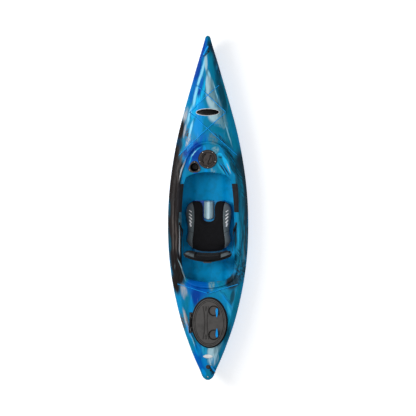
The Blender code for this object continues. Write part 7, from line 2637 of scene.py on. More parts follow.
    def handle(self, prefix: str, ends: Profile, eye: tuple[float, float]) -> None:
        """Makes a carrying handle: ribbed grip, cord loop and staple.

        Args:
            prefix: The handle's body, with which its nodes' names begin.
            ends: Both ends of the grip, each as a share of the half-width and a station.
            eye: The deck eye, in the same way.
        """
        a, b = (Vector((share * LINES.half_beam(y), y, 0)) for share, y in ends)
        radius, cord = 0.0075, 0.0024
        lift = radius + 0.0007
        ground = [self.shells.height(*mix(a, b, k / 10).xy) for k in range(11)]
        slope = (ground[-1] - ground[0]) / 10
        rise = max(g - (ground[0] + slope * k) for k, g in enumerate(ground))
        tilt = math.cos(math.atan((ground[-1] - ground[0]) / (b - a).length))
        a.z, b.z = ground[0] + rise + lift / tilt, ground[-1] + rise + lift / tilt
        flat = Vector((b.x - a.x, b.y - a.y, 0)).normalized()
        side = Vector((-flat.y, flat.x, 0))
        for shift in (-0.6, 0.6):
            for k in range(11):
                p = mix(a, b, k / 10)
                q = p + side * radius * shift
                need = self.shells.height(q.x, q.y) + lift * 0.8 / tilt - p.z
                a.z, b.z = a.z + max(need, 0), b.z + max(need, 0)
        direction = (b - a).normalized()
        length = (b - a).length
        profile = [(cord + 0.0004, 0.0), (radius * 0.72, 0.0), (radius * 0.96, 0.0022)]
        ribs = 9
        for k in range(ribs * 4 + 1):
            z = mix(0.006, length - 0.006, k / (ribs * 4))
            profile.append((radius * (0.955 - 0.045 * math.cos(math.pi * k / 2)), z))
        profile += [(radius * 0.96, length - 0.0022), (radius * 0.72, length), (cord + 0.0004, length)]
        name = prefix + "_grip_ribbed"
        grip = spun(name, profile, placed(a, direction, (0, 0, -1)), 40, closed=True)
        self.shop.piece(name, grip, BLUE_PLASTIC, prefix, "blue_plastic", [prefix + "_grip"], 50)
        ex, ey = eye[0] * LINES.half_beam(eye[1]), eye[1]
        deck = self.shells.height(ex, ey)
        eye_z = deck + cord + 0.0012
        knot = Vector((ex, ey, eye_z))
        first, second = a - direction * 0.007, b + direction * 0.007
        reach = (knot - mix(a, b, 0.5)).normalized()
        start, stop = first + reach * 0.010, second + reach * 0.010
        lead, step = flat * 0.008, direction * 0.002
        loop = [
            mix(a, b, 0.02), a - step, first + reach * 0.002, first + reach * 0.008 + step,
            mix(start, knot - flat * 0.012, 0.5), knot - lead, knot, knot + lead,
            mix(stop, knot + flat * 0.012, 0.5), second + reach * 0.008 - step, second + reach * 0.002,
            b + step, mix(a, b, 0.98), mix(a, b, 0.66), mix(a, b, 0.33),
        ]
        dense = smooth_path([loop[-1]] + loop + loop[:2], 6)[6:-12]
        mesh = sweep(prefix + "_cord_braid", dense, cord, 12, cyclic=True)
        self.shop.piece(prefix + "_cord_braid", mesh, HANDLE_CORD, prefix, "handle_cord", [prefix + "_cord"])
        half, roof = cord + 0.0036, eye_z + cord + 0.0036
        path = []
        for k in range(17):
            t = math.pi * k / 16
            p = knot - side * math.cos(t) * half
            path.append(Vector((p.x, p.y, mix(eye_z, roof, math.sin(t)))))
        feet = [Vector((p.x, p.y, deck - 0.010)) for p in (path[0], path[-1])]
        staple = sweep("staple", feet[:1] + path + feet[1:], 0.0018, 14)
        plate = []
        at = placed((ex, ey, deck), self.shells.normal(ex, ey), side)
        for grow, z in ((1.0, -0.0015), (1.0, 0.0006), (0.86, 0.0013), (0.5, 0.0014)):
            plate.append([at @ Vector((x * 0.55 * grow, y * grow, z)) for x, y in disc(0.0115, 40)])
        mesh = joined_mesh(prefix + "_eye", [staple, loft("plate", plate, wrap=True, caps=True)])
        name = prefix + "_eye_staple"
        self.shop.piece(name, mesh, BLACK_PLASTIC, "kayak", "black_plastic", [prefix + "_eye"])

    def plate(self, name: str, sizes: Sequence[float], lens: float, finish: object, slot: str) -> None:
        """Makes a blank domed plate with a fine raised rim.

        Args:
            name: The CAD node that it stands for.
            sizes: Its station and its half-sizes across and along.
            lens: How much its ends are drawn to points.
            finish: The finish of its face.
            slot: The record's material slot of its face.
        """
        y0, half_x, half_y = sizes
        band = half_y * 0.17

        def ring(share: float, lift: float, inset: float = band) -> Points:
            """One ring of the plate over the deck, a share of the oval that lies an inset within its edge.

            Args:
                share: Share of the oval.
                lift: Height over the deck.
                inset: Distance that the oval lies within the plate's edge.

            Returns:
                The ring.
            """
            row = []
            for a in turns(96):
                x = (half_x - inset) * math.cos(a) * share
                y = (half_y - inset) * math.sin(a) * share * (1 - lens * math.cos(a) ** 2)
                row.append(Vector((x, y0 + y, self.shells.height(x, y0 + y) + lift)))
            return row

        shares = (0.0, 0.15, 0.3, 0.45, 0.6, 0.75, 0.88, 1.0)
        face = [ring(share, mix(0.0037, 0.0030, share**3)) for share in shares]
        face += [ring(1.0, lift, band - 0.001) for lift in (0.0022, 0.0007)]
        face += [ring(share, 0.0006) for share in (0.5, 0.0)]
        self.shop.piece(name + "_face", loft(name, face, wrap=True), finish, "kayak", slot, [name], 60)
        lifts = ((1.0, 0.0031), (0.85, 0.0038), (0.45, 0.0039), (0.12, 0.0030), (0.0, 0.0016), (0.0, 0.0007))
        edge = [ring(1.0, lift, band * share) for share, lift in lifts + ((1.0, 0.0007),)]
        rim = loft(name + "_rim", edge + edge[:1], wrap=True)
        self.shop.piece(name + "_rim", rim, SATIN, "kayak", "plate_white", (), 60)

    def build_drain(self) -> None:
        """Makes the drain's socket and plug, and the tip screw."""
        at = placed((0, DRAIN_Y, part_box("drain_socket")[0][2] + 0.014))
        profile = [
            (0.0105, 0.0030), (0.0150, 0.0031), (0.0172, 0.0026), (0.018, 0.0012), (0.018, 0.0003),
            (0.0125, 0.0003), (0.0125, -0.014), (0.0105, -0.014),
        ]
        radii = (0.0004, 0.0006, 0.0006, 0.0004, 0, 0, 0.0005, 0.0005)
        socket = rounded(profile, radii, closed=True, steps=2)
        mesh = spun("drain_socket_flange", socket, at, 56, closed=True)
        slot, nodes = "black_plastic", ["drain_socket"]
        self.shop.piece("drain_socket_flange", mesh, BLACK_PLASTIC, "kayak", slot, nodes, 50)
        self.shop.refinish(RUBBER, "drain_gasket")
        head, top = 0.0048, 0.0093

        def level(x: float, y: float) -> float:
            """Height of the plug's head.

            Args:
                x: Place across the head.
                y: Place along it.

            Returns:
                The height.
            """
            r = math.hypot(x, y)
            groove = smoothstep(0.0019, 0.0013, abs(y)) * smoothstep(0.0105, 0.0095, abs(x))
            dish = 0.0012 * smoothstep(0.0100, 0.0085, r)
            return top - 0.0010 * smoothstep(0.0135, 0.0150, r) - dish - 0.0024 * groove

        rows = relief(at, [0.015 * k / 30 for k in range(31)], 96, level)
        for r, z in ((0.015, head), (0.0101, head), (0.0101, -0.009), (0.0092, -0.010), (0.0, -0.010)):
            rows.append(circle(at, r, z, 96))
        plug = loft("drain_plug_head", rows, wrap=True)
        slot, name = "charcoal_plastic", "drain_plug"
        self.shop.piece("drain_plug_head", plug, CHARCOAL, name, slot, [name], 50)
        tip_y = -1.494
        tip = placed((0, tip_y, self.shells.height(0, tip_y) + 0.0006), self.shells.normal(0, tip_y))
        self.repeats.screws("stern_tip_screw_head", [tip], ["stern_tip_screw"], 1.6)

    def build(self) -> None:
        """Makes every fitting of the deck."""
        self.build_cords()
        self.handle("bow_handle", ((0.11408, 1.428), (-0.53072, 1.345)), (0.10072, 1.377))
        self.handle("stern_handle", ((0.33229, -1.397), (0.95549, -1.447)), (0.38317, -1.4345))
        self.plate("bow_plate", (0.843, 0.105, 0.033), 0.0, PLATE_BLACK, "plate_black")
        self.plate("stern_plate", (-1.313, 0.0425, 0.017), 0.25, PLATE_WHITE, "plate_white")
        self.build_drain()


# This finish paints shade on the steep walls of the stern lid's relief
LID_PLASTIC = Moulding("hatch_lid_plastic", 0x545251, 0x7C7874, (0.44, 0.58), paints_steep_shade=True)
PLATE_BLACK = Moulding("plate_black", 0x08080A, 0x242426, (0.18, 0.30), 300, 0.00003, 0.15)
PLATE_WHITE = Moulding("plate_white", 0xE9ECEE, 0xC4C8CA, (0.22, 0.34), 300, 0.00003, 0.15)
SATIN = Moulding("satin_rim", 0xDADEE0, 0xF2F3F4, (0.22, 0.32), 300, 0.00003, 0.3)
BUNGEE = Braid("bungee_sleeve", 0x06ACFC, 0x0478D4)
HANDLE_CORD = Braid("handle_cord_sleeve", 0x202022, 0x060607, radius=0.0024, pitch=0.0065)


# Seat


@dataclass
class Cloth:
    """Blows a sewn form up a little by cloth simulation and gives back a smooth mesh."""

    shop: Workshop
    voxel: float = 0.0055
    pressure: float = 4.0
    frames: int = 20
    cap: float = 0.007
    smoothings: int = 3

    def blown(self, name: str, mesh: Mesh, held: Callable[[Vector], float]) -> Object:
        """Swells a closed form.

        Args:
            name: The object's name.
            mesh: The closed form.
            held: How much a point is held, from 0, free, to 1, fixed.

        Returns:
            An object with the swollen mesh.
        """
        obj = self.shop.raw(name, mesh)
        self.shop.modify(obj, "REMESH", mode="VOXEL", voxel_size=self.voxel, adaptivity=0.0)
        self.shop.baked(obj)
        rest = [v.co.copy() for v in obj.data.vertices]
        cloth = obj.modifiers.new("cloth", "CLOTH")
        settings = cloth.settings
        settings.quality = 6
        settings.mass = 0.25
        settings.tension_stiffness = 30
        settings.compression_stiffness = 20
        settings.bending_stiffness = 1.2
        settings.use_pressure = True
        settings.uniform_pressure_force = self.pressure
        settings.effector_weights.gravity = 0
        cloth.point_cache.frame_start = 1
        cloth.point_cache.frame_end = self.frames
        scene = bpy.context.scene
        for k in range(1, self.frames + 1):
            scene.frame_set(k)
        graph = bpy.context.evaluated_depsgraph_get()
        moved = [v.co.copy() for v in obj.evaluated_get(graph).data.vertices]
        obj.modifiers.clear()
        scene.frame_set(1)
        for v, old, new in zip(obj.data.vertices, rest, moved):
            step = (new - old) * (1 - held(old))
            if step.length > self.cap:
                step *= self.cap / step.length
            v.co = old + step
        bm = bmesh.new()
        bm.from_mesh(obj.data)
        for _ in range(self.smoothings):
            axes = {"use_axis_x": True, "use_axis_y": True, "use_axis_z": True}
            bmesh.ops.smooth_vert(bm, verts=bm.verts, factor=0.4, **axes)
        bm.to_mesh(obj.data)
        bm.free()
        return obj


@dataclass
class Seat:
    """The moulded pedestal, the cushion, the backrest with its shell and clip, and the straps."""

    shop: Workshop
    repeats: Repeats
    cloth: Cloth
    base_top: float = 0.062
    cushion_low: float = 0.0627
    thickness: float = 0.046
    inner: tuple = (
        (0.074, 0.054), (0.060, 0.020), (0.057, -0.020), (0.056, -0.060), (0.050, -0.090), (0.034, -0.110),
        (0.014, -0.1175), (0.000, -0.1185), (0.000, -0.180), (0.000, -0.250), (0.000, -0.320),
        (0.000, -0.402),
    )
    front: tuple = (
        (0.074, 0.054), (0.102, 0.067), (0.130, 0.065), (0.160, 0.055), (0.188, 0.036), (0.205, 0.008),
    )
    outer: tuple = (
        (0.205, 0.008), (0.215, -0.040), (0.206, -0.110), (0.196, -0.175), (0.196, -0.225), (0.204, -0.280),
        (0.200, -0.315), (0.180, -0.345),
    )
    rear: tuple = ((0.000, -0.402), (0.060, -0.399), (0.110, -0.390), (0.150, -0.370), (0.180, -0.345))
    seam: tuple = (
        (0.148, 0.060), (0.133, 0.015), (0.126, -0.050), (0.128, -0.140), (0.134, -0.220), (0.143, -0.300),
        (0.140, -0.376),
    )
    wing_end: float = -0.214
    bars: tuple = (
        (0.1645, -0.028, 0.030, 0.0075, 38), (0.1640, -0.060, 0.034, 0.0090, 42),
        (0.1635, -0.089, 0.038, 0.0110, 46), (0.1635, -0.121, 0.036, 0.0135, 56),
        (0.1630, -0.152, 0.034, 0.0145, 72),
    )
    pivot: tuple[float, float] = (-0.412, 0.086)
    back_z: tuple[float, float] = (0.118, 0.405)
    back_half: float = 0.224
    back_thick: float = 0.0362

    def build(self) -> None:
        """Makes every piece of the seat."""
        self.build_pedestal()
        self.build_cushion()
        self.build_backrest()
        self.build_straps()

    def build_pedestal(self) -> None:
        """Makes the pedestal with its rounded spine and the ears of the backrest."""
        front, rear, half, top, spine = 0.068, -0.425, 0.155, self.base_top, 0.045

        def level(x: float, y: float) -> float:
            """Height of the pedestal over a plan point.

            Args:
                x: Place across.
                y: The station.

            Returns:
                The height.
            """
            u = min(abs(x) / spine, 1.0)
            crest = mix(top - 0.004, 0.104, math.sqrt(max(1 - u * u, 0.0)) ** 0.6)
            end = 0.020 * u * u - 0.113
            rise = smoothstep(end, end + 0.014, y) * smoothstep(0.0705, 0.050, y) ** 0.5
            ridge = mix(top - 0.02, crest, rise) - 0.0022 * math.exp(-((x / 0.011) ** 2)) * rise
            return max(top, ridge)

        def over(row: Sequence[float], y: float) -> Points:
            """Points of the pedestal's top at places across."""
            return [Vector((x, y, level(x, y))) for x in row]

        rows = []
        low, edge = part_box("seat_pedestal")[0][2] + 0.001, spine + 0.001
        for y in [rear + (front - rear) * k / 90 for k in range(91)]:
            share = mix(0.9, 1.0, smoothstep(rear, -0.2, y)) * mix(1.0, 0.86, smoothstep(0.0, front, y))
            w = half * share
            floor = low + 0.006 * smoothstep(0.06, 0.15, w)
            wall = ((w + 0.016, floor), (w + 0.004, top - 0.02), (w, top - 0.010), (w - 0.005, top - 0.003))
            row = [Vector((x, y, z)) for x, z in wall]
            row += over([mix(w - 0.014, edge, k / 6) for k in range(7)], y)
            row += over([edge * math.cos(math.pi * k / 48) for k in range(1, 24)], y)
            rows.append(row + over([0.0], y))
        skin = face_up(loft("pedestal", rows, half=True))
        base = self.shop.raw("seat_pedestal_moulding", skin)
        self.shop.modify(base, "SOLIDIFY", thickness=0.0032, offset=-1)
        self.shop.baked(base)
        ear = [
            (-0.009, -0.024), (0.009, -0.024), (0.009, 0.003), (0.0064, 0.0078), (0, 0.0095),
            (-0.0064, 0.0078), (-0.009, 0.003),
        ]
        at = Matrix(((0, 0, 1, 0), (1, 0, 0, self.pivot[0]), (0, 1, 0, self.pivot[1]), (0, 0, 0, 1)))
        stub, gap, half_thick = 0.055, 0.0004, 0.005
        middles = (side * (stub + gap + half_thick) for side in (-1, 1))
        ears = [prism("ear", ear, x - half_thick, x + half_thick, at) for x in middles]
        base.data = joined_mesh("seat_pedestal_moulding", [base.data] + ears)
        slot, nodes = "deck_polyethylene", ["seat_pedestal"]
        self.shop.piece("seat_pedestal_moulding", base, PEDESTAL, "kayak", slot, nodes, 46)

    def cushion_plan(self, rows: int, columns: int, seam_column: int) -> Grid:
        """Plan points of the cushion's starboard half, one column of them on the sewn channel.

        Args:
            rows: Rows, front to rear.
            columns: Columns, middle to side.
            seam_column: The column on the channel.

        Returns:
            The points row by row.
        """
        sides = (evenly(plan_path(line), rows) for line in (self.inner, self.outer, self.seam))
        inner, outer, seam = sides
        front, rear = (evenly(plan_path(line), columns) for line in (self.front, self.rear))
        grid = []
        for r in range(rows + 1):
            v = r / rows
            line = []
            for c in range(columns + 1):
                u = c / columns
                sides = mix(inner[r], outer[r], u) + mix(front[c], rear[c], v)
                line.append(sides - mix(mix(front[0], front[-1], u), mix(rear[0], rear[-1], u), v))
            if 0 < r < rows:
                pull = seam[r] - line[seam_column]
                for c in range(columns + 1):
                    ahead, behind = c / seam_column, (columns - c) / (columns - seam_column)
                    line[c] = line[c] + pull * (ahead if c <= seam_column else behind)
            grid.append([Vector((max(p.x, 0.0), p.y, 0)) for p in line])
        return grid

    def build_cushion(self) -> None:
        """Makes the cushion: cloth form, sewn channels, piping, stitches and light bars."""
        rows, columns, seam_column = 40, 20, 13
        grid = self.cushion_plan(rows, columns, seam_column)
        border = []
        for edge in (self.inner[:8], self.front, self.outer, self.rear):
            border += plan_path(edge, 8)
        low, high = self.cushion_low + 0.0035, self.cushion_low + self.thickness - 0.0035
        middle = mix(low, high, 0.45)
        top, bottom = [], []
        for r, line in enumerate(grid):
            for c, p in enumerate(line):
                share = min(min((p - q).length for q in border) / 0.032, 1.0)
                bulge = math.sqrt(max(1 - (1 - share) ** 2, 0.0))
                if r in (0, rows) or c == columns or (c == 0 and p.x > 0.0005):
                    bulge = 0.0
                crown = 0.006 * max(0.0, 1 - (p.x / 0.2) ** 2) * bulge
                pressed = smoothstep(-0.295, -0.385, p.y) * mix(0.012, 0.022, smoothstep(0.06, 0.15, p.x))
                top.append(Vector((p.x, p.y, mix(middle, high - pressed, bulge) + crown)))
                bottom.append(Vector((p.x, p.y, mix(middle, low, min(bulge * 1.15, 1.0)))))
        form = mesh_of("seat_cushion_cloth", *with_port(top + bottom, sheets_of(rows, columns)), 1e-5)

        def held(p: Vector) -> float:
            """How much a point is held by the pedestal under it."""
            return smoothstep(self.cushion_low + 0.012, self.cushion_low + 0.004, p.z)

        obj = self.cloth.blown("seat_cushion_cloth", form, held)
        self.shop.modify(obj, "SUBSURF", levels=1, render_levels=1)
        self.shop.baked(obj)
        channel = [p.xy for p in plan_path(self.seam, 14)]
        steps = [k / 12 for k in range(13)]
        ends = [Vector((mix(0.130, 0.202, t), self.wing_end + mix(-0.014, 0.014, t))) for t in steps]
        wing = obj.data.attributes.new("wing", "FLOAT", "POINT")
        top_limit = self.cushion_low + self.thickness + 0.0070
        for v, stored in zip(obj.data.vertices, wing.data):
            flat = Vector((abs(v.co.x), v.co.y))
            i = min(range(len(channel)), key=lambda k: (channel[k] - flat).length_squared)
            near = (channel[i] - flat).length
            across = min((q - flat).length for q in ends)
            outside = near if flat.x > channel[i].x else -near
            slate = min(outside - 0.0035, across - 0.0022, 0.040 + v.co.z - middle)
            stored.value = slate if v.co.z > middle - 0.004 else -0.01
            if v.co.z > middle:
                dip = 0.0062 * math.exp(-((near / 0.0048) ** 2))
                if flat.x > channel[i].x:
                    dip = max(dip, 0.0040 * math.exp(-((across / 0.0045) ** 2)))
                v.co.z -= dip * smoothstep(middle, middle + 0.012, v.co.z)
            v.co.z = min(max(v.co.z, self.cushion_low + 0.0004), top_limit)
        slot, nodes = "seat_fabric", ["seat_cushion"]
        cushion = self.shop.piece("seat_cushion_cloth", obj, SEAT_CLOTH, "kayak", slot, nodes, 180)
        tree = surface_tree(obj.data)

        def on_top(x: float, y: float) -> tuple[Vector, Vector]:
            """The cushion's surface and its direction over a plan point."""
            hit = tree.ray_cast(Vector((x, y, 0.4)), Vector((0, 0, -1)))
            return (hit[0], hit[1]) if hit[0] else (Vector((x, y, middle)), Vector((0, 0, 1)))

        for side, side_name in SIDES:
            for key, shift in (("inner", -0.0062), ("outer", 0.0062)):
                path, aims = zip(*(on_top(side * (p.x + shift), p.y) for p in channel[6:-8:2]))
                self.repeats.stitching(f"cushion_stitches_{side_name}_{key}", path, aims, "kayak")
            edge = []
            for p in evenly(plan_path(self.front[1:] + self.outer[1:-1], 10), 90):
                inward = Vector((0.13 - p.x, -0.13 - p.y, 0)).normalized() * 0.0065
                spot, aim = on_top(side * (p.x + inward.x), p.y + inward.y)
                edge.append(spot + aim * 0.0006)
            name = f"cushion_piping_{side_name}"
            self.shop.piece(name, sweep(name, edge, 0.0019, 8), THREAD, "kayak", "seat_fabric")
            self.print_bars(side, side_name, on_top)

    def print_bars(
        self, side: int, side_name: str, on_top: Callable[[float, float], tuple[Vector, Vector]]
    ) -> None:
        """Lays the five reflective bars on a wing of the cushion, each a thin print with a rounded outline.

        Args:
            side: 1 for starboard, -1 for port.
            side_name: Name of the side.
            on_top: Gives the cushion's surface over a plan point.
        """
        verts, faces = [], []
        for x, y, long, wide, lean in self.bars:
            c, s = math.cos(math.radians(lean)), math.sin(math.radians(lean))
            start = len(verts)
            for share in (0.0, 0.35, 0.7, 1.0):
                lift, grow = (0.0007 if share < 1 else 0.0001), max(share, 0.01)
                for a in turns(28):
                    u = squared(math.cos(a), 0.5) * long / 2 * grow
                    v = squared(math.sin(a), 0.6) * wide / 2 * grow
                    spot, aim = on_top(side * (x + u * c - v * s), y + u * s + v * c)
                    verts.append(spot + aim * lift)
            faces += grid_faces(4, 28, wrap=True, start=start)
        name = f"cushion_light_bars_{side_name}"
        mesh = face_up(mesh_of(name, verts, faces, 1e-5))
        self.shop.piece(name, mesh, LIGHT_BAR, "kayak", "seat_fabric", (), 60)

    def back_narrow(self, v: float) -> float:
        """Share of the backrest's width at a share of its height."""
        return 1 - 0.16 * (1 - v) ** 2 - 0.10 * smoothstep(0.78, 1.0, v)

    def back_point(self, u: float, v: float, depth: float) -> Vector:
        """A point of the backrest: u across from -1 to 1, v up from 0 to 1, depth behind its front face.

        Args:
            u: Place across.
            v: Place up.
            depth: Depth behind the front face.

        Returns:
            The point.
        """
        z = mix(*self.back_z, v)
        y = self.pivot[0] + 0.016 - math.tan(math.radians(7)) * (z - self.pivot[1]) + 0.050 * u * u - depth
        return Vector((u * self.back_half * self.back_narrow(v), y, z))

    def raised(self, u: float, v: float) -> float:
        """A share of the height, moved up towards the lower corners."""
        return mix(v, 1.0, 0.17 * smoothstep(0.35, 1.0, abs(u)) * (1 - v))

    def back_form(self, name: str, thin: float, thick: float, columns: int, rows: int) -> Mesh:
        """A pillow-shaped slab between two depths of the backrest.

        Args:
            name: The mesh's name.
            thin: Depth of its front.
            thick: Depth of its rear.
            columns: Steps across.
            rows: Steps up.

        Returns:
            The mesh.
        """
        verts = []
        for near in (thin, thick):
            for r in range(rows + 1):
                for c in range(columns + 1):
                    u, v = mix(-0.985, 0.985, c / columns), mix(0.012, 0.985, r / rows)
                    rim = min(1 - abs(2 * c / columns - 1), (1 - abs(2 * r / rows - 1)) * 0.7)
                    v = self.raised(u, v)
                    corner = max(abs(u) - 0.80, 0) / 0.2, max(abs(2 * v - 1) - 0.72, 0) / 0.28
                    pull = 1 - 0.06 * (corner[0] * corner[1])
                    bulge = min(1.0, math.sqrt(rim * 4.5)) if rim > 0 else 0.0
                    depth = mix(mix(thin, thick, 0.62), near, bulge)
                    verts.append(self.back_point(u * pull, 0.5 + (v - 0.5) * pull, depth))
        return mesh_of(name, verts, sheets_of(rows, columns), 1e-5)

    def build_backrest(self) -> None:
        """Makes the backrest's pad, shell and clip."""
        front, rear = 0.003, 0.0335
        form = self.back_form("backrest_cloth", front, rear, 44, 30)

        def held(p: Vector) -> float:
            """How much a point is held by the shell behind it."""
            return 0.85 if p.y < self.back_y(p, 0.030) else 0.0

        obj = self.cloth.blown("backrest_cloth", form, held)
        self.shop.modify(obj, "SUBSURF", levels=1, render_levels=1)
        self.shop.baked(obj)
        wing = obj.data.attributes.new("wing", "FLOAT", "POINT")
        high, margin = self.back_z[1] - self.back_z[0], 0.0025
        for v, stored in zip(obj.data.vertices, wing.data):
            share = (v.co.z - self.back_z[0]) / high
            face = smoothstep(0.022, 0.012, self.back_y(v.co, 0.0) - v.co.y)
            upright = abs(abs(v.co.x) - 0.092 - 0.02 * share)
            level = abs(share - 0.55) * high if abs(v.co.x) < 0.10 + 0.02 * share else 1.0
            dip = 0.0055 * math.exp(-((min(upright, level) / 0.0050) ** 2)) * face
            v.co.y -= dip * smoothstep(0.0, 0.05, share) * smoothstep(1.0, 0.94, share)
            slate = min(abs(v.co.x) - 0.118, (share - 0.66) * high, face * 0.02 - 0.008)
            stored.value = slate if share > 0.4 else -0.01
            v.co.y = max(v.co.y, self.back_y(v.co, self.back_thick))
            v.co.z = min(v.co.z, self.back_z[1] + margin)
            v.co.x = max(min(v.co.x, self.back_half - margin), margin - self.back_half)
        slot, nodes = "seat_fabric", ["backrest_pad"]
        pad = self.shop.piece("backrest_cloth", obj, SEAT_CLOTH, "backrest", slot, nodes, 180)
        tree = surface_tree(obj.data)
        for side, side_name in SIDES:
            for key, shift in (("inner", -0.0066), ("outer", 0.0066)):
                path, aims = [], []
                for k in range(26):
                    share = mix(0.08, 0.92, k / 25)
                    x = side * (0.092 + 0.02 * share + shift)
                    hit = tree.ray_cast(Vector((x, -0.2, mix(*self.back_z, share))), Vector((0, -1, 0)))
                    if hit[0]:
                        path.append(hit[0])
                        aims.append(hit[1])
                self.repeats.stitching(f"backrest_stitches_{side_name}_{key}", path, aims, "backrest")
        ring = []
        for a in turns(160):
            u = 0.97 * squared(math.cos(a), 0.30)
            v = 0.5 + 0.475 * squared(math.sin(a), 0.34)
            ring.append(self.back_point(u * 0.985, self.raised(u, v), 0.0185))
        piping = sweep("backrest_piping", ring, 0.0021, 8, cyclic=True)
        self.shop.piece("backrest_piping", piping, THREAD, "backrest", slot)
        for node, width, finish, slot in (
            ("backrest_shell", 0.0012, BLACK_PLASTIC, "black_plastic"),
            ("backrest_clip", 0.0008, CLIP, "charcoal_plastic"),
        ):
            self.shop.soft_piece(node, "moulding", width, finish, "backrest", slot, 34)

    def back_y(self, p: Vector, depth: float) -> float:
        """Station of the backrest's surface at a depth, at a point's place across and height."""
        share = (p.z - self.back_z[0]) / (self.back_z[1] - self.back_z[0])
        return self.back_point(p.x / (self.back_half * self.back_narrow(share)), share, depth).y

    def build_straps(self) -> None:
        """Makes the webbing straps, their anchors and their ladder buckles."""
        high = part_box("backrest_strap_starboard")[1]
        start = Vector((0.2455, high[1], high[2] - 0.002))
        bend = Vector((0.2262, -0.206, 0.2640))
        end = self.back_point(1, 0.5, self.back_thick * 0.62) + Vector((0.0017, 0.002, 0))
        tilted, level = Vector((0.45, 0, 0.9)), Vector((0, 0, 1))
        stops = [
            (start, Vector((0.7, 0, 0.7))), (mix(start, bend, 0.45), tilted), (bend, tilted),
            (mix(bend, end, 0.35), level), (mix(bend, end, 0.7), level), (end, level),
        ]
        centre, wides = (smooth_path(row, 14) for row in zip(*stops))
        for side, side_name in SIDES:
            self.strap(side, side_name, centre, wides, (bend, end))
            for node, width in (("strap_anchor", 0.0007), ("strap_buckle", 0.0016)):
                name = f"{node}_{side_name}"
                self.shop.soft_piece(name, "moulded", width, BLACK_PLASTIC, "kayak", "black_plastic", 36, 3)

    def strap(
        self, side: int, side_name: str, centre: Points, wides: Points, held: tuple[Vector, Vector]
    ) -> None:
        """Makes one strap of ribbed webbing, from its buckle to the backrest at its rear end.

        Args:
            side: 1 for starboard, -1 for port.
            side_name: Name of the side.
            centre: Its middle line on the starboard side.
            wides: Direction across it at each point.
            held: Where it leaves the deck, and where the backrest holds it.
        """
        along = lengths_along(centre)
        half, thick = 0.010, 0.0010
        shares = (-1, -0.5, 0, 0.5, 1)
        profile = [(half * share, -thick) for share in shares] + [(half + 0.0005, 0)]
        profile += [(half * share, thick) for share in reversed(shares)] + [(-half - 0.0005, 0)]
        rings = []
        for k, (p, w) in enumerate(zip(centre, wides)):
            d = (centre[min(k + 1, len(centre) - 1)] - centre[max(k - 1, 0)]).normalized()
            wide = (w - d * w.dot(d)).normalized()
            thin = wide.cross(d)
            narrow = mix(0.62, 1.0, smoothstep(0.0, 0.012, along[k]))
            ring = [p + wide * a * narrow + thin * b for a, b in profile]
            rings.append([Vector((q.x * side, q.y, q.z)) for q in ring])
        across = [a for a, _ in profile + profile[:1]]
        mesh = tube("strap", rings, across, along)
        name = f"backrest_strap_{side_name}"
        fixed, led = (Vector((p.x * side, p.y, p.z)) for p in held)
        bend = ("backrest", fixed, led)
        self.shop.piece(name + "_webbing", mesh, WEBBING, "kayak", "strap_webbing", [name], 60, bend)


# Pads, foot rests and foam


@dataclass
class KneePads:
    """The foam pads laid over the coaming beside the paddler's knees."""

    shop: Workshop
    shells: Shells
    front: float = 0.214
    rear: float = -0.038
    thickness: float = 0.009
    columns: int = 26
    rows: int = 64

    def build(self) -> None:
        """Makes both pads, their edges rounded down to the deck."""
        for side, side_name in SIDES:
            top = []
            for r in range(self.rows + 1):
                y = mix(self.front, self.rear, r / self.rows)
                ends = min(r, self.rows - r) / self.rows * (self.front - self.rear)
                inner, outer = self.edges(y)
                for c in range(self.columns + 1):
                    x = mix(inner, outer, c / self.columns)
                    rim = min(ends, min(c, self.columns - c) / self.columns * (outer - inner))
                    edge = math.sqrt(max(1 - max(1 - rim / 0.004, 0.0) ** 2, 0.0))
                    lift = 0.0007 + self.thickness * edge * mix(0.72, 1.0, smoothstep(0, 0.02, rim))
                    normal = self.shells.normal(x, y)
                    foot = Vector((x, y, self.shells.height(x, y)))
                    top.append(foot + normal * (lift if rim > 0 else 0.0007))
            under = [Vector((p.x, p.y, self.shells.height(p.x, p.y) + 0.0006)) for p in top]
            faces = sheets_of(self.rows, self.columns) + self.border()
            mesh = mesh_of("knee_pad", top + under, faces)
            if side < 0:
                mesh = port_copy(mesh)
            name = f"knee_pad_{side_name}"
            piece = self.shop.piece(name + "_foam", mesh, PAD_FOAM, "kayak", "knee_pad_foam", [name], 50)

    def border(self) -> list[tuple[int, ...]]:
        """Quads that join the rims of the upper and the lower sheet of points.

        Returns:
            The faces as tuples of indices.
        """
        rows, columns = self.rows, self.columns
        width, n = columns + 1, (rows + 1) * (columns + 1)
        edge = list(range(width)) + [r * width + columns for r in range(1, rows + 1)]
        edge += [rows * width + c for c in range(columns - 1, -1, -1)]
        edge += [r * width for r in range(rows - 1, 0, -1)]
        return [(i, j, j + n, i + n) for i, j in zip(edge, edge[1:] + edge[:1])]

    def edges(self, y: float) -> tuple[float, float]:
        """Inner and outer edge of a pad at a station: near the lip's edge and the coaming's foot.

        Args:
            y: The station.

        Returns:
            Both places across, inner and outer.
        """
        lip, crest = (
            next(p.x for p in LINES.plan_curve(line) if p.y <= y) for line in (LINES.opening, LINES.coaming)
        )
        return lip + 0.0045, crest + 0.006


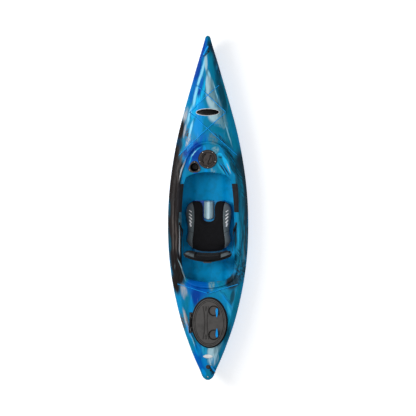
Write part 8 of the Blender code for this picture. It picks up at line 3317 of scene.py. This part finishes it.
@dataclass
class FootRests:
    """Toothed rails bolted inside the hull, with a ribbed pedal sliding on each."""

    shop: Workshop
    repeats: Repeats

    def build(self) -> None:
        """Makes rails, pedals with their treads, and bolts."""
        bar = [(-0.0012, -0.026), (0.0012, -0.026), (0.0012, 0.026), (-0.0012, 0.026)]
        outline = rounded(bar, (0.0008,) * 4, closed=True, steps=2)
        tread = self.repeats.shape("tread", prism("tread", outline, -0.0008, 0.0012))
        for side, side_name in SIDES:
            rail, pedal = f"foot_rail_{side_name}", f"foot_pedal_{side_name}"
            self.shop.soft_piece(rail, "moulding", 0.0012, CHARCOAL, "kayak", "charcoal_plastic", 36)
            self.shop.soft_piece(pedal, "moulding", 0.0016, BLACK_PLASTIC, pedal, "black_plastic", 36, 3)
            low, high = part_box(pedal)
            tree = surface_tree(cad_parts[pedal].data)
            spots, aims = [], []
            reach = low[0] if side > 0 else high[0]
            for k in range(9):
                z = mix(low[2] + 0.010, high[2] - 0.010, k / 8)
                spot, aim = tree.ray_cast(Vector((reach + side * 0.040, 0.50, z)), Vector((0, 1, 0)))[:2]
                if spot:
                    spots.append(spot)
                    aims.append(aim)
            name = pedal + "_treads"
            base = spots_mesh(name, spots, aims, [Vector((aim.y, -aim.x, 0)) for aim in aims])
            growth = self.repeats.on_spots
            self.repeats.set_on(name, growth, base, tread, BLACK_PLASTIC, pedal, "black_plastic")
            for k in (1, 2):
                bolt = f"foot_rail_bolt_{side_name}_{k}"
                self.shop.soft_piece(bolt, "turned", 0.0005, Steel(), "kayak", "stainless_steel", 40)


@dataclass(frozen=True)
class Ridge:
    """The hull's blue plastic with the pale, streaked colour of the pedestal's spine and a painted highlight
    along its crown.
    """

    name: str = "pedestal_polyethylene"

    def make(self) -> Material:
        """Makes the material with its shader nodes.

        Returns:
            The material.
        """
        recipe = Recipe(self.name)
        place = recipe.coords()
        x, y, z = (recipe.part(place, axis) for axis in "XYZ")
        streaks = recipe.stretched(place, (160, 9, 60), 4.0, 0.6)
        drift = x + (streaks - 0.5) * 0.012
        pale = recipe.blend(linear(0x6C9BB0), linear(0x9CB8C4), streaks.ease(0.30, 0.62))
        # Painted highlight: a paler line down the crown of the rounded spine
        painted_crown_highlight = drift.ease(-0.018, -0.010) * drift.ease(0.010, 0.002)
        pale = recipe.blend(pale, linear(0xCBEAF4), painted_crown_highlight)
        blue = recipe.blend(linear(0x0052B8), linear(0x0090D0), drift.ease(-0.050, -0.020))
        spine = z.ease(0.064, 0.074) * drift.ease(-0.050, -0.042)
        colour = recipe.blend(blue, pale, spine)
        colour = recipe.blend(linear(0x00699C), colour, y.ease(-0.125, -0.112))
        return recipe.finish(
            base_color=colour,
            roughness=streaks.spread(0.30, 0.44),
            normal=recipe.bump(recipe.cells(place, 420), 0.0001),
            specular_ior_level=0.25,
        )


PEDESTAL = Ridge()
CLIP = Moulding("clip_plastic", 0x5A5A5C, 0x8E8E8E)
SEAT_CLOTH = Weave("seat_cloth", 0x0E0E10, 0x1E1E21, 0.0010, 0.00030, 0.03, panels=(0x565F63, 0x6B757A))
WEBBING = Weave("strap_webbing", 0x0C0C0E, 0x2A2A2E, 0.0012, 0.00035, 0.05, by_map=True, ribbed=True)
THREAD = Weave("sewing_thread", 0x070708, 0x1C1C1E, 0.0005, 0.00015, 0.05)
LIGHT_BAR = Moulding("light_bar_print", 0xFFFFFF, 0xE8ECEE, (0.35, 0.5), 1200, 0.00003, 0.1)


# Picture


@dataclass(frozen=True)
class Studio:
    """Pale floor, soft lights and the camera straight over the boat."""

    distance: float = 10.25
    roll: float = 2.5
    lens: float = 100.0

    def build(self) -> None:
        """Adds the floor, the lights and the camera."""
        bm = bmesh.new()
        bmesh.ops.create_grid(bm, x_segments=2, y_segments=2, size=200)
        mesh = from_bmesh(bm, "floor")
        floor = bpy.data.objects.new("floor", mesh)
        bpy.context.scene.collection.objects.link(floor)
        recipe = Recipe("pale_floor")
        place = recipe.coords()
        cloud = recipe.noise(place, 1.5)
        colour = recipe.blend((0.76, 0.76, 0.76), (0.79, 0.79, 0.79), cloud)
        glow = {"emission_color": (1.0, 1.0, 1.0), "emission_strength": 0.58}
        mesh.materials.append(recipe.finish(base_color=colour, roughness=0.9, **glow))
        floor.location.z = -0.0004
        world = bpy.data.worlds.new("studio")
        world.use_nodes = True
        sky = world.node_tree.nodes["Background"]
        sky.inputs["Color"].default_value = (1.0, 1.0, 1.0, 1)
        sky.inputs["Strength"].default_value = 0.25
        bpy.context.scene.world = world
        self.light("key", (-3.2, 0.6, 3.4), (1.2, 4.0), 165)
        self.light("fill", (3.6, -0.4, 3.0), (1.6, 4.4), 20)
        self.light("top", (-0.6, 0.0, 6.5), (2.5, 4.5), 60)
        data = bpy.data.cameras.new("camera")
        data.lens = self.lens
        data.sensor_width = 36
        data.clip_end = 500
        camera = bpy.data.objects.new("camera", data)
        side = math.radians(self.roll)
        target = Vector((0.0, 0.0, 0.25))
        camera.location = target + Vector((math.sin(side), 0, math.cos(side))) * self.distance
        camera.rotation_euler = (0, side, 0)
        bpy.context.scene.collection.objects.link(camera)
        bpy.context.scene.camera = camera
        bpy.context.scene.view_settings.view_transform = "Standard"

    def light(self, name: str, place: Sequence[float], size: tuple[float, float], power: float) -> None:
        """Adds one soft light that points at the middle of the boat.

        Args:
            name: The light's name.
            place: Where it hangs.
            size: Its width and length.
            power: Its power in watts.
        """
        data = bpy.data.lights.new(name, "AREA")
        data.shape = "RECTANGLE"
        data.size, data.size_y = size
        data.energy = power
        lamp = bpy.data.objects.new(name, data)
        lamp.location = place
        lamp.rotation_euler = (Vector((0, 0, 0.2)) - Vector(place)).to_track_quat("-Z", "Y").to_euler()
        bpy.context.scene.collection.objects.link(lamp)


def main() -> None:
    """Builds every part of the picture in order."""
    shop = Workshop()
    Studio().build()
    shells = Shells(shop)
    shells.make_hull()
    shells.make_deck()
    repeats = Repeats(shop)
    DashHatch(shop, repeats).build()
    CupHolder(shop, repeats).build()
    SternHatch(shop, repeats).build()
    DeckFittings(shop, repeats, shells).build()
    Seat(shop, repeats, Cloth(shop)).build()
    KneePads(shop, shells).build()
    FootRests(shop, repeats).build()
    shop.refinish(WHITE_FOAM, "bow_foam_block")
    log.info("%d pieces made", shop.count)


if __name__ == "__main__":
    main()
